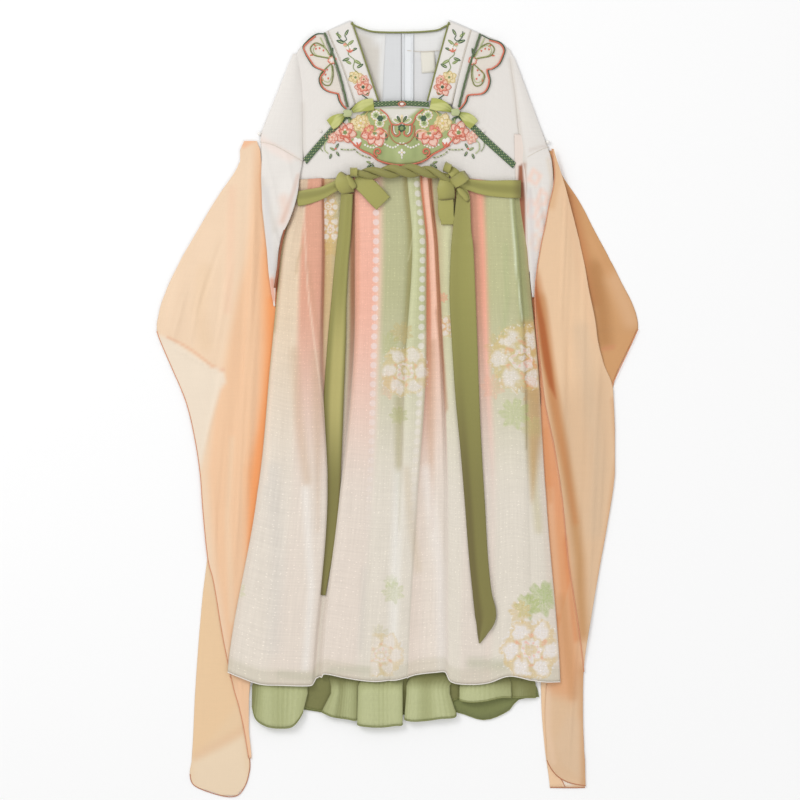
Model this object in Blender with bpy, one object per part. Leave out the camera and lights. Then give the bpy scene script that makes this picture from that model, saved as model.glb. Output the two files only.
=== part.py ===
"""A chest-high hanfu dress laid flat on its back, with its own belt and button-on wide sleeves.

Every piece that a maker would cut is one closed solid: a cloth wall worked out from short
tables in millimetres.  +X is to the right of the front view, +Y is up towards the neck, +Z is
up from the surface that the dress lies on.  The origin is under the middle of the whole dress.
"""

from collections import namedtuple
from math import cos, pi, radians, sin

import bmesh
import bpy
from mathutils import Vector

# ---------------------------------------------------------------- driving dimensions
MM = 0.001                 # the tables below are in millimetres
CLOTH = 1.2                # thickness of one cloth wall
SEAM = 0.3                 # gap between two pieces that are sewn together
WAIST = 418.0              # height of the chest seam above the origin, along +Y
HIP = 292.0                # levels below it at which the skirt folds are stated
KNEE = 80.0
CALF = -160.0
HEM = -490.0
UNDER_TIER = -429.0        # where the green tier leaves the flat underskirt
UNDER_SWELL = -484.0       # where its waves begin to rise
UNDER_EDGE = -528.0        # where it stands at its full wave
TOP_LIMIT = 717.0          # half the length of the whole dress
BODICE_RISE = 6.0          # how far the front bodice stands off the back bodice
BACK_CLIMB = 3.1           # height of the back skirt's side edges, over the wide sleeves
CLIMB_RUN = 7.0            # how far its slope up to them reaches inwards
CORD_SIDES = 6
TWIST_FLOOR = 12.4         # underside of the twisted belt, over the rim of the medallion

# ---------------------------------------------------------------- colours (linear RGB)
IVORY = (0.80, 0.76, 0.70)
COOL_WHITE = (0.72, 0.72, 0.72)
PEACH = (0.82, 0.52, 0.33)
BLUSH = (0.80, 0.48, 0.34)
SAGE = (0.42, 0.48, 0.24)
OLIVE = (0.30, 0.33, 0.09)
LIME = (0.50, 0.55, 0.18)
PINE = (0.08, 0.16, 0.07)
CORAL = (0.75, 0.27, 0.17)
PEARL = (0.85, 0.83, 0.80)

Row = namedtuple("Row", "y left right")
Fold = namedtuple("Fold", "name x z hem")            # x and z at waist, hip, knee, calf, hem
Gather = namedtuple("Gather", "name x z hem")        # one place along the waved green tier
Station = namedtuple("Station", "x y z half")        # centre and half width of a flat strap
Crease = namedtuple("Crease", "x_top y_top x_end y_end width height")

# ---------------------------------------------------------------- skirt front, left to right
SKIRT_LEVELS = (WAIST, HIP, KNEE, CALF, HEM)
SKIRT_FOLDS = (
    Fold("left_edge", (-188, -214, -235, -259, -314), (1.8, 4.7, 4.7, 4.7, 4.7), -488),
    Fold("left_roll", (-178, -203, -223, -245, -295), (7, 10, 11, 11, 10.5), -496),
    Fold("left_dip", (-169, -186, -197, -210, -254), (7.5, 9.5, 10, 9.5, 10.5), -510),
    Fold("left_swell", (-160, -169, -171, -177, -214), (9, 14, 15, 15, 13), -512),
    Fold("fold_a_crest", (-149, -150, -154, -147, -177), (10.5, 16.5, 18.5, 18, 14.5), -513),
    Fold("fold_a_edge", (-141, -140, -143, -132, -158), (10, 14.5, 16.5, 16, 12.5), -512),
    Fold("fold_a_tuck", (-147, -147, -150, -140, -164), (6.6, 6.8, 7, 7, 7.5), -507),
    Fold("strip_a", (-131, -131, -134, -127, -157), (6.2, 5.8, 5.8, 5.8, 7.2), -500),
    Fold("strip_b", (-96, -95, -97, -113, -149), (6.2, 5.8, 5.8, 5.8, 7.2), -498),
    Fold("fold_b_tuck", (-74, -72, -75, -100, -142), (6.6, 6.8, 7, 7, 7.5), -496),
    Fold("fold_b_edge", (-80, -79, -82, -107, -149), (9.8, 13, 14.5, 14, 12), -497),
    Fold("fold_b_crest", (-71, -68, -73, -95, -135), (11, 16, 17.5, 16.5, 14), -491),
    Fold("fold_b_shoulder", (-55, -53, -56, -64, -97), (11, 14, 14.5, 14, 12.5), -498),
    Fold("sage_dip", (-25, -25, -32, -42, -68), (8.4, 9.5, 10, 10, 9.5), -503),
    Fold("sage_swell", (-1, 5, -5, -16, -40), (10.2, 12.5, 13.5, 13, 12.5), -505),
    Fold("crease_tuck", (24, 34, 21, 12, -6), (6.8, 7, 7.2, 7.6, 9), -503),
    Fold("crease_edge", (17, 27, 14, 5, -15), (10.2, 12.6, 13.6, 13.4, 12.4), -503),
    Fold("crease_crest", (27, 38, 27, 18, -1), (11, 14.2, 15.2, 15, 13.6), -502),
    Fold("green_edge", (38, 50, 50, 34, 16), (10, 12.5, 13.5, 12.5, 11), -498),
    Fold("green_tuck", (32, 43, 40, 26, 10), (6.6, 6.6, 6.6, 7.2, 9.2), -498),
    Fold("coral_valley", (44, 56, 60, 49, 36), (6.6, 6.4, 6.4, 7.4, 9), -492),
    Fold("coral_crest", (52, 64, 71, 75, 71), (10.4, 12.6, 13.4, 13.4, 12.6), -488),
    Fold("coral_edge", (57, 69, 80, 88, 86), (9.8, 11.4, 12.2, 12, 11), -487),
    Fold("coral_tuck", (53, 63, 74, 87, 91), (6.6, 6.6, 7, 10.8, 9.4), -492),
    Fold("print_strip", (66, 76, 86, 93, 96), (6.6, 6.6, 8, 11.2, 10.6), -503),
    Fold("print_rise", (82, 92, 100, 106, 106), (8.6, 10.4, 11.4, 12.2, 13), -508),
    Fold("under_tail", (110, 118, 123, 132, 123), (10, 12.4, 12.8, 13.2, 13.4), -510),
    Fold("rose_crest", (138, 145, 154, 166, 151), (10.6, 13, 13.4, 13.6, 12.8), -510),
    Fold("rose_dip", (160, 164, 171, 181, 173), (8.4, 9.4, 9.6, 10, 10.4), -506),
    Fold("jade_swell", (184, 190, 203, 212, 206), (10.6, 13.8, 15.4, 15, 14), -495),
    Fold("jade_edge", (212, 222, 234, 240, 245), (9.4, 12, 13, 12, 12), -502),
    Fold("jade_tuck", (206, 215, 228, 240, 249), (6.4, 6.8, 7.4, 10.4, 10.8), -503),
    Fold("right_panel", (219, 228, 244, 258, 273), (6.4, 7.4, 9.4, 11, 10.6), -506),
    Fold("right_edge", (229, 240, 260, 275, 301), (1.8, 4.7, 4.7, 4.7, 4.7), -506),
)

# ---------------------------------------------------------------- waved tier of the underskirt
TIER_WAVES = (
    Gather("left_end", -269, 4, -551),
    Gather("lobe_1_rise", -262, 8, -575),
    Gather("lobe_1_crown", -243, 11, -588),
    Gather("lobe_1_middle", -219, 10, -592),
    Gather("lobe_1_fall", -193, 11, -588),
    Gather("lobe_1_edge", -175, 8.5, -562),
    Gather("lobe_1_tuck", -180, 3.9, -551),
    Gather("well_1", -160, 3.6, -557),
    Gather("lobe_2_tuck", -133, 3.9, -561),
    Gather("lobe_2_edge", -140, 8, -562),
    Gather("lobe_2_crown", -123, 10.5, -570),
    Gather("lobe_2_dip", -110, 7.5, -573),
    Gather("lobe_2_swell", -93, 10, -575),
    Gather("lobe_2_fall", -77, 7.5, -578),
    Gather("lobe_3_tuck", -67, 4.6, -572),
    Gather("lobe_3_edge", -74, 9.4, -585),
    Gather("lobe_3_crown", -56, 12, -589),
    Gather("lobe_3_middle", -29, 11, -590),
    Gather("lobe_3_swell", -5, 12, -587),
    Gather("lobe_3_fall", 9, 9, -585),
    Gather("lobe_3_tuck_right", 4, 3.9, -566),
    Gather("lobe_4_tuck", 20, 3.9, -564),
    Gather("lobe_4_edge", 13, 9, -575),
    Gather("lobe_4_crown", 27, 12, -579),
    Gather("lobe_4_dip", 53, 9, -578),
    Gather("lobe_4_swell", 79, 11.5, -574),
    Gather("lobe_4_fall", 108, 8.5, -570),
    Gather("lobe_4_tuck_right", 101, 3.9, -544),
    Gather("flap_tuck", 122, 3.9, -536),
    Gather("flap_edge", 115, 9.5, -540),
    Gather("flap_crown", 134, 12, -544),
    Gather("flap_middle", 162, 11, -542),
    Gather("flap_fall", 190, 9.5, -533),
    Gather("flap_tip", 210, 8, -520),
    Gather("flap_tuck_right", 204, 4, -522),
    Gather("point_crest", 222, 6.5, -534),
    Gather("point_fall", 234, 6, -518),
    Gather("right_end", 256, 3.6, -522),
)
SIDE_CLIMB = ((40, 40, 42, 44, 52), (40, 40, 42, 44, 46))   # left and right, at the skirt's levels
UNDER_ROWS = (Row(WAIST, -145, 186), Row(HIP, -169, 196), Row(KNEE, -188, 214), Row(CALF, -211, 227),
              Row(UNDER_TIER, -246, 244), Row(-500, -258, 250), Row(UNDER_EDGE, -266, 262))
BACK_HEM = (-488, -492, -495, -500, -502, -504, -506)      # the back skirt's hem, left to right
BACK_TIER_HEM = ((-266, -546), (-170, -558), (-90, -568), (40, -566), (105, -562), (160, -577),
                 (205, -560), (222, -540), (262, -534))

# ---------------------------------------------------------------- wide sleeves
LEFT_WIDE_FRONT = (
    Row(494, -284, -260), Row(477, -291, -254), Row(453, -293, -251), Row(388, -334, -243),
    Row(333, -367, -238), Row(278, -399, -232), Row(211, -430, -225), Row(166, -443, -221),
    Row(142, -445, -217), Row(122, -438, -217), Row(78, -419, -214), Row(11, -391, -212),
    Row(-56, -375, -217), Row(-122, -365, -227), Row(-189, -360, -234), Row(-278, -351, -243),
    Row(-322, -340, -251), Row(-413, -325, -262), Row(-479, -312, -269), Row(-522, -302, -274),
    Row(-553, -293, -275), Row(-594, -284, -275), Row(-648, -275, -270))
LEFT_WIDE_BACK = (
    Row(492, -282, -262), Row(477, -290, -256), Row(453, -291, -252), Row(388, -332, -245),
    Row(333, -365, -240), Row(278, -397, -234), Row(211, -428, -227), Row(166, -440, -223),
    Row(144, -441, -219), Row(130, -430, -217), Row(104, -380, -217), Row(78, -338, -216),
    Row(59, -326, -216), Row(11, -336, -214), Row(-56, -343, -219), Row(-122, -343, -228),
    Row(-189, -347, -236), Row(-278, -352, -245), Row(-344, -360, -254), Row(-411, -366, -262),
    Row(-477, -371, -269), Row(-540, -375, -275), Row(-610, -378, -278), Row(-655, -381, -273),
    Row(-677, -384, -275), Row(-699, -375, -282), Row(-TOP_LIMIT, -326, -297))
RIGHT_WIDE_BACK = (
    Row(476, 280, 288), Row(438, 277, 301), Row(381, 264, 337), Row(329, 252, 364),
    Row(274, 245, 393), Row(231, 240, 415), Row(189, 234, 436), Row(154, 228, 445),
    Row(139, 227, 441), Row(100, 225, 423), Row(59, 225, 404), Row(11, 227, 395),
    Row(-78, 236, 395), Row(-152, 241, 391), Row(-211, 245, 382), Row(-300, 249, 365),
    Row(-388, 258, 352), Row(-477, 264, 341), Row(-566, 267, 340), Row(-633, 273, 343),
    Row(-703, 282, 347))
RIGHT_WIDE_FRONT = (
    Row(479, 285, 289), Row(438, 290, 301), Row(409, 288, 310), Row(376, 280, 319),
    Row(337, 273, 329), Row(311, 267, 336), Row(265, 259, 346), Row(218, 254, 354),
    Row(165, 255, 365), Row(122, 258, 371), Row(80, 262, 382), Row(44, 264, 397),
    Row(11, 266, 400), Row(-41, 258, 402), Row(-122, 254, 402), Row(-211, 258, 389),
    Row(-300, 264, 373), Row(-388, 271, 358), Row(-477, 277, 345), Row(-566, 273, 343),
    Row(-633, 276, 345), Row(-655, 278, 346))
LEFT_WIDE_CREASES = (
    Crease(-262, 480, -285, -430, 9, 5.5),
    Crease(-290, 430, -330, -180, 14, 5.0),
    Crease(-338, 330, -352, 20, 18, 3.5),
    Crease(-290, 60, -305, -480, 8, 4.0),
    Crease(-402, 250, -420, 120, 12, 3.0))
RIGHT_WIDE_CREASES = (
    Crease(316, 350, 345, -60, 12, 4.0),
    Crease(345, 250, 375, -120, 14, 5.5),
    Crease(300, 200, 312, -300, 9, 4.5),
    Crease(370, -20, 345, -480, 10, 4.0),
    Crease(318, -260, 312, -640, 9, 4.0))

# ---------------------------------------------------------------- bodice outline
BACK_NECK = ((-86, 712), (-73, 706), (-49, 698), (-19, 696), (15, 696), (45, 697), (73, 700),
             (86, 706), (97, 712))
SHOULDER_LEFT = ((-187.4, 655), (-174, 673), (-134, 696), (-88, TOP_LIMIT))
SHOULDER_RIGHT = ((99, TOP_LIMIT), (153, 694), (190, 678), (203.4, 666))
ARMHOLE_LEFT = ((-187.1, 654.5), (-182.6, 633), (-177.6, 600), (-175.7, 560), (-175.3, 503), (-175.1, 457))
ARMHOLE_RIGHT = ((203.4, 666), (208.2, 645), (213.4, 610), (218.4, 577), (221.2, 545), (223.6, 518),
                 (226.4, 490), (219.6, 450))
SIDE_LEFT = ((-187.4, 655), (-178, 600), (-175.6, 503), (-176, 452), (-188, WAIST))
SIDE_RIGHT = ((203.4, 666), (213.8, 610), (224.2, 518), (227.6, 488), (229, WAIST))
ZIP_LINE = 19.0
BAND_INNER_LEFT = ((-86, 715), (-37, 568))
BAND_OUTER_LEFT = ((-129, 697.4), (-101, 630), (-77, 561))
BAND_INNER_RIGHT = ((97, 715), (57, 568))
BAND_OUTER_RIGHT = ((136, 699.4), (117, 630), (100, 561))
CHEST_TOP = ((-176, 454), (-136, 499), (-97, 541), (-76, 556), (-44, 563), (10, 565.5), (60, 563),
             (90, 554), (110, 546), (134, 526), (171, 490), (219, 447))
CHEST_BOTTOM = ((-190, WAIST), (-85, 420), (20, 421), (125, 420), (229, WAIST))
CORD_LEFT = ((-135, 694), (-117, 646), (-105, 609), (-92, 556))
CORD_RIGHT = ((153, 692), (131, 625), (113, 556))
WING_LEFT = ((-138, 692), (-153, 690), (-174, 671), (-172, 658), (-164, 643), (-155, 631),
             (-142, 625), (-137, 622), (-145, 610), (-142, 595), (-132, 586), (-119, 582),
             (-112, 580), (-109, 569), (-103, 559), (-97, 553))
WING_RIGHT = ((156, 690), (171, 682), (190, 676), (199, 664), (196, 650), (189, 636), (177, 627),
              (168, 624), (172, 606), (168, 590), (159, 581), (143, 579), (132, 577), (128, 566),
              (121, 556), (116, 552))
BOW_GAP = 3.2              # from a small bow's knot to each of its loops
SMALL_BOWS = (                             # side, knot, its seat, then each loop's seat and run
    ("left", (-92, 544), 5.3, (("left", 1.2, ((-98, 541), (-108, 534), (-122, 524))),
                               ("right", 0.5, ((-85, 548), (-68, 557), (-47, 561))))),
    ("right", (107, 546), 5.5, (("left", 0.5, ((101, 549), (86, 557), (64, 562))),
                                ("right", 1.2, ((114, 543), (126, 536), (139, 524))))))
MEDALLION_TOP = ((-108, 512), (-88, 530), (-45, 552), (8, 555), (61, 552), (103, 530), (123, 512))
MEDALLION_BOTTOM = ((-105, 505), (-98, 496), (-82, 482), (-52, 470), (-36, 463), (8, 447),
                    (54, 463), (68, 471), (97, 483), (114, 497), (120, 505))

# ---------------------------------------------------------------- white sleeves
LEFT_SLEEVE_UPPER = (
    Row(655, -193, -188), Row(633, -202, -183.5), Row(600, -215, -178.5), Row(560, -231, -176.5),
    Row(530, -243, -176.2), Row(503, -253, -176.1), Row(489, -253, -176.1))
LEFT_SLEEVE_LOWER = (
    Row(487, -252, -176.2), Row(460, -251, -176.4), Row(425, -252, -181), Row(400, -251, -184),
    Row(371, -250, -191), Row(344, -247, -201), Row(318, -244, -214), Row(290, -241, -220),
    Row(250, -238, -224), Row(210, -233, -226), Row(188, -229, -226.5))
RIGHT_SLEEVE_UPPER = (
    Row(664, 204.5, 207), Row(645, 209.5, 217), Row(610, 214.5, 230), Row(577, 219.5, 242),
    Row(545, 222.5, 254), Row(518, 225, 264), Row(490, 228, 274))
RIGHT_SLEEVE_LOWER = (
    Row(488, 228.5, 275), Row(462, 231.5, 284), Row(440, 236, 287), Row(410, 238.5, 289),
    Row(370, 239.5, 290), Row(320, 240, 286), Row(270, 243.5, 272), Row(235, 246, 263),
    Row(205, 249, 255))
LEFT_SLEEVE_BACK = (
    Row(655, -193, -188.6), Row(633, -202, -184.2), Row(560, -231, -177.2), Row(503, -252, -176.6),
    Row(470, -247, -177.6),
    Row(450, -244, -183), Row(WAIST + 2, -240, -191))
RIGHT_SLEEVE_BACK = (
    Row(664, 204.8, 207), Row(645, 210.2, 217), Row(577, 220.2, 242), Row(518, 225.8, 264),
    Row(490, 229, 273), Row(450, 230, 262), Row(WAIST + 2, 230.4, 254))
SLEEVE_RISE = 7.0

# ---------------------------------------------------------------- belt
BELT_LEFT = (Station(-184.5, 386, 11.0, 13.5), Station(-166, 390, 13.4, 14), Station(-140, 394, 14.2, 11),
             Station(-126, 401, 14.4, 9), Station(-118, 405, 14.4, 8))
BELT_RIGHT = (Station(137, 405, 14.4, 11), Station(152, 402, 14.2, 12.5), Station(172, 401, 13.8, 13.5),
              Station(200, 400, 13.4, 15), Station(227, 400, 10.6, 15.5))
TWIST_START = (-74, 435)
TWIST_CREST = (5, 441)
TWIST_END = (86, 435)
TWIST_TURNS = 1.75
STRAND_RADIUS = 4.6
TAIL_LEFT = (
    Station(-93.5, 396, 12.0, 11), Station(-94.5, 375, 11.0, 11.3), Station(-98, 320, 8.6, 12),
    Station(-103, 270, 7.8, 12.6), Station(-108, 200, 7.6, 14), Station(-112, 126, 7.6, 16.7),
    Station(-117.5, 20, 7.6, 18.5), Station(-119, -60, 7.6, 17), Station(-121, -160, 7.6, 14.2),
    Station(-126, -240, 7.6, 11.6), Station(-134, -310, 7.8, 7), Station(-137.5, -346, 8.2, 4))
TAIL_RIGHT = (
    Station(119, 388, 14.6, 12), Station(119, 365, 15.0, 14), Station(119, 330, 15.2, 17),
    Station(119.5, 290, 15.2, 21), Station(120, 210, 15.4, 24), Station(124, 120, 15.6, 23.5),
    Station(129, 20, 15.8, 22), Station(136, -80, 16.0, 19.5), Station(143, -180, 16.0, 18.5),
    Station(149, -270, 16.0, 17.5), Station(156, -340, 16.0, 17.5), Station(163, -385, 16.0, 13),
    Station(168, -410, 15.8, 8), Station(151.5, -434, 15.6, 1.5))
KNOT_LEFT = (-97, 413, 14.8, 20, 14, 6.8)      # centre x, y, z and half sizes
KNOT_RIGHT = (115, 410, 19.1, 20, 15, 7.2)
LOOP_LEFT = (Station(-71, 408, 15, 12), Station(-58, 396, 15, 14.5), Station(-42, 382, 14, 15),
             Station(-29, 371, 12, 14.5))
LOOP_RIGHT = (Station(91, 392, 13.9, 10), Station(89, 376, 13.4, 14), Station(88, 358, 12.9, 14.5),
              Station(89, 343, 12.4, 13))
CARRIER_LEFT = (-69, 435.6, 13)                # centre x, y and strap width
CARRIER_RIGHT = (81, 435.6, 13)
CARRIER_REACH = 10.6                           # inner radius of a carrier round the twist
CARRIER_FOOT = 9.4                             # underside of its legs, on the chest panel
LEFT_COVER = ((494, 418, 292, 188, KNEE, CALF, -485, -520, -650),
              (-262, -252, -240, -229, -235, -259, -313, -262, -250))
RIGHT_COVER = ((494, 418, 292, KNEE, CALF, -500, -530, -660), (270, 280, 256, 260, 275, 301, 268, 270))


# ---------------------------------------------------------------- curves and heights
def smooth_step(value):
    """0 below 0, 1 above 1 and a soft turn between them."""
    value = min(max(value, 0.0), 1.0)
    return value * value * (3.0 - 2.0 * value)


def bend(p0, p1, p2, p3, t):
    """Catmull-Rom value between p1 and p2; works on numbers and on vectors."""
    return 0.5 * ((2.0 * p1) + (p2 - p0) * t + (2.0 * p0 - 5.0 * p1 + 4.0 * p2 - p3) * t * t
                  + (3.0 * p1 - p0 - 3.0 * p2 + p3) * t * t * t)


def at_level(levels, values, y):
    """Smooth value at height y of a column of a table whose levels fall from top to bottom."""
    last = len(levels) - 1
    if y >= levels[0]:
        return float(values[0])
    if y <= levels[last]:
        return float(values[last])
    k = next(i for i in range(last) if levels[i] >= y >= levels[i + 1])
    t = (levels[k] - y) / (levels[k] - levels[k + 1])
    before = values[max(k - 1, 0)]
    after = values[min(k + 2, last)]
    value = bend(before, values[k], values[k + 1], after, t)
    low = min(values[k], values[k + 1])
    high = max(values[k], values[k + 1])
    return min(max(value, low), high) if before != after else value


def spline(points, steps):
    """Points on a smooth curve through the given ones, with a number of steps between each."""
    vectors = [Vector(p) for p in points]
    last = len(vectors) - 1
    path = []
    for k in range(last):
        before = vectors[max(k - 1, 0)]
        after = vectors[min(k + 2, last)]
        for i in range(steps):
            path.append(bend(before, vectors[k], vectors[k + 1], after, i / steps))
    path.append(vectors[last])
    return path


def along(points, count):
    """That many steps of equal length along the smooth curve through the points."""
    path = spline([(p[0], p[1], 0.0) for p in points], 8)
    lengths = [0.0]
    for a, b in zip(path, path[1:]):
        lengths.append(lengths[-1] + (b - a).length)
    places = []
    k = 0
    for i in range(count + 1):
        goal = lengths[-1] * i / count
        while k < len(path) - 2 and lengths[k + 1] < goal:
            k += 1
        span = max(lengths[k + 1] - lengths[k], 1e-9)
        places.append(path[k].lerp(path[k + 1], min(max((goal - lengths[k]) / span, 0.0), 1.0)))
    return places


def row_at(rows, y):
    """Left and right edge of a table of rows at height y."""
    levels = [row.y for row in rows]
    return (at_level(levels, [row.left for row in rows], y),
            at_level(levels, [row.right for row in rows], y))


def crease_height(creases, x, y):
    """Height that a list of soft ridges adds at a place."""
    total = 0.0
    for crease in creases:
        t = (crease.y_top - y) / (crease.y_top - crease.y_end)
        if 0.0 < t < 1.0:
            centre = crease.x_top + (crease.x_end - crease.x_top) * t
            reach = abs(x - centre) / (2.0 * crease.width)
            if reach < 1.0:
                total += crease.height * sin(pi * t) ** 0.5 * (0.5 + 0.5 * cos(pi * reach))
    return total


def bodice_height(x, y):
    """Underside of the front bodice: low at its sides and shoulders, high at its middle."""
    left = at_level((720, 655, 450, WAIST), (-195, -190, -176, -190), y)
    right = at_level((720, 655, 450, WAIST), (210, 206, 229, 229), y)
    middle = 0.5 * (left + right)
    u = min(abs(x - middle) / (0.5 * (right - left)), 1.0)
    shoulder = 717.0 - 0.56 * max(abs(x - 6.0) - 93.0, 0.0)
    off_shoulder = smooth_step((shoulder - y) / 70.0)
    return CLOTH + SEAM + 0.2 + BODICE_RISE * (1.0 - u ** 4) * off_shoulder


def on_bodice(x, y, layers):
    """Underside of a piece that lies on the front bodice with some layers under it."""
    return bodice_height(x, y) + layers * (CLOTH + SEAM) + 0.05 * layers


def over_bodice(x, y):
    """Underside of a trim sewn straight on the front bodice."""
    return on_bodice(x, y, 1) + 0.1


def on_surface(x, y):
    """Underside of a piece that lies on the surface under the dress."""
    return 0.0


def on_back(x, y):
    """Underside of a piece that lies inside the dress on its back."""
    return CLOTH + SEAM


# ---------------------------------------------------------------- building solids
def finish(mesh_data, name, colour, roughness):
    """Turn a bmesh in millimetres into a named object with its own material."""
    bmesh.ops.scale(mesh_data, vec=(MM, MM, MM), verts=mesh_data.verts)
    bmesh.ops.recalc_face_normals(mesh_data, faces=mesh_data.faces)
    mesh = bpy.data.meshes.new(name)
    mesh_data.to_mesh(mesh)
    mesh_data.free()
    piece = bpy.data.objects.new(name, mesh)
    bpy.context.collection.objects.link(piece)
    material = bpy.data.materials.new(name)
    material.use_nodes = True
    shader = material.node_tree.nodes["Principled BSDF"]
    shader.inputs["Base Color"].default_value = (*colour, 1.0)
    shader.inputs["Roughness"].default_value = roughness
    shader.inputs["Metallic"].default_value = 0.0
    mesh.materials.append(material)
    mesh.shade_smooth()
    mesh.set_sharp_from_angle(angle=radians(50.0))
    return piece


def wall(name, grid, colour, thickness=CLOTH, upright=False, roughness=0.8):
    """Close a grid of points, rows of its lower skin from top to bottom, into a cloth wall."""
    rows = len(grid) - 1
    columns = len(grid[0]) - 1
    sheet = bmesh.new()
    bmesh.ops.create_grid(sheet, x_segments=columns, y_segments=rows, size=1.0)
    place = sheet.verts.layers.int.new("place")
    for vert in sheet.verts:
        i = round((vert.co.x + 1.0) * 0.5 * columns)
        j = round((1.0 - vert.co.y) * 0.5 * rows)
        vert[place] = j * (columns + 1) + i
        vert.co = grid[j][i]
    sheet.normal_update()
    lift = {}
    for vert in sheet.verts:
        lift[vert[place]] = Vector((0.0, 0.0, thickness)) if upright else vert.normal * thickness
    raised = bmesh.ops.extrude_face_region(sheet, geom=sheet.faces[:])
    for element in raised["geom"]:
        if isinstance(element, bmesh.types.BMVert):
            element.co += lift[element[place]]
    bmesh.ops.triangulate(sheet, faces=sheet.faces[:], quad_method="SHORT_EDGE")
    return finish(sheet, name, colour, roughness)


def band_wall(name, rows, columns, splits, lower, colour, upright=False):
    """Wall between the left and right edges of a table, with its underside at lower(x, y)."""
    heights = []
    for a, b in zip(rows, rows[1:]):
        heights += [a.y + (b.y - a.y) * k / splits for k in range(splits)]
    heights.append(rows[-1].y)
    grid = []
    for y in heights:
        left, right = row_at(rows, y)
        line = []
        for i in range(columns + 1):
            x = left + (right - left) * i / columns
            line.append(Vector((x, y, lower(x, y))))
        grid.append(line)
    return wall(name, grid, colour, upright=upright)


def ruled_wall(name, upper, nether, columns, lines, lower, colour, thickness=CLOTH, upright=False,
               sides=None):
    """Wall between an upper and a lower curve, left to right, and curved sides where given."""
    first = along(upper, columns)
    second = along(nether, columns)
    left = along(sides[0], lines) if sides else None
    right = along(sides[1], lines) if sides else None
    grid = []
    for j in range(lines + 1):
        v = j / lines
        pull_left = left[j] - first[0].lerp(second[0], v) if sides and left else Vector()
        pull_right = right[j] - first[-1].lerp(second[-1], v) if sides and right else Vector()
        line = []
        for i, (a, b) in enumerate(zip(first, second)):
            spot = a.lerp(b, v) + pull_left.lerp(pull_right, i / columns)
            line.append(Vector((spot.x, spot.y, lower(spot.x, spot.y))))
        grid.append(line)
    return wall(name, grid, colour, thickness, upright)


def round_cord(name, path, radius, colour, sides=CORD_SIDES):
    """A capped round cord along a path of points."""
    curve = bpy.data.curves.new(name, "CURVE")
    curve.dimensions = "3D"
    curve.bevel_depth = radius * MM
    curve.bevel_resolution = (sides - 4) // 2
    curve.use_fill_caps = True
    run = curve.splines.new("POLY")
    run.points.add(len(path) - 1)
    for point, place in zip(run.points, path):
        point.co = (place.x * MM, place.y * MM, place.z * MM, 1.0)
    guide = bpy.data.objects.new(name + "_guide", curve)
    bpy.context.collection.objects.link(guide)
    bpy.context.view_layer.update()
    mesh = bpy.data.meshes.new_from_object(guide)
    bpy.data.objects.remove(guide)
    cord = bmesh.new()
    cord.from_mesh(mesh)
    bpy.data.meshes.remove(mesh)
    bmesh.ops.remove_doubles(cord, verts=cord.verts, dist=1e-7)
    bmesh.ops.triangulate(cord, faces=cord.faces[:])
    bmesh.ops.scale(cord, vec=(1 / MM, 1 / MM, 1 / MM), verts=cord.verts)
    return finish(cord, name, colour, 0.6)


def strap(name, stations, colour, steps=3, thickness=CLOTH, crown=0.0, across=2):
    """A flat strap along stations; crown lifts the middle of its width."""
    path = spline([(s.x, s.y, s.z) for s in stations], steps)
    halves = spline([(s.half, 0.0, 0.0) for s in stations], steps)
    grid = []
    for k, centre in enumerate(path):
        ahead = path[min(k + 1, len(path) - 1)] - path[max(k - 1, 0)]
        side = Vector((-ahead.y, ahead.x, 0.0)).normalized()
        line = []
        for i in range(across + 1):
            u = 2.0 * i / across - 1.0
            spot = centre + side * (halves[k].x * u)
            spot.z += crown * (1.0 - u * u)
            line.append(spot)
        grid.append(line)
    if (grid[1][0] - grid[0][0]).cross(grid[0][-1] - grid[0][0]).z < 0.0:
        grid = [line[::-1] for line in grid]
    return wall(name, grid, colour, thickness)


def pillow(name, centre_and_halves, turn, colour, rounds=5, sides=12):
    """A rounded flat knot of wrapped cloth."""
    x, y, z, half_x, half_y, half_z = centre_and_halves
    knot = bmesh.new()
    bmesh.ops.create_uvsphere(knot, u_segments=sides, v_segments=rounds, radius=1.0)
    for vert in knot.verts:
        flat = Vector((vert.co.x, vert.co.y)).length
        spread = flat ** 0.6 / max(flat, 1e-6)
        u = vert.co.x * spread * half_x
        v = vert.co.y * spread * half_y
        vert.co = Vector((x + u * cos(turn) - v * sin(turn), y + u * sin(turn) + v * cos(turn),
                          z + vert.co.z * half_z))
    bmesh.ops.triangulate(knot, faces=knot.faces[:])
    return finish(knot, name, colour, 0.75)


# ---------------------------------------------------------------- skirt
def skirt_section(y, steps):
    """Cross-section of the front skirt at height y: points (x, z) of its underside."""
    corners = [(at_level(SKIRT_LEVELS, f.x, y), at_level(SKIRT_LEVELS, f.z, y), 0.0)
               for f in SKIRT_FOLDS]
    return spline(corners, steps)


def hem_line(folds, steps):
    """Height along +Y of a waved hem at each column."""
    return [p.x for p in spline([(f.hem, 0.0, 0.0) for f in folds], steps)]


def skirt_front():
    """Front skirt: one gathered width whose deep folds overlap."""
    steps = 2
    hem = hem_line(SKIRT_FOLDS, steps)
    lines = 14
    grid = []
    for j in range(lines + 1):
        t = j / lines
        y_mid = WAIST - SEAM + (HEM - WAIST) * t
        section = skirt_section(y_mid, steps)
        line = []
        for point, edge in zip(section, hem):
            y = WAIST - SEAM + (edge - WAIST) * t
            line.append(Vector((point.x, y, point.y)))
        grid.append(line)
    return wall("skirt_front", grid, BLUSH)


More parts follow.
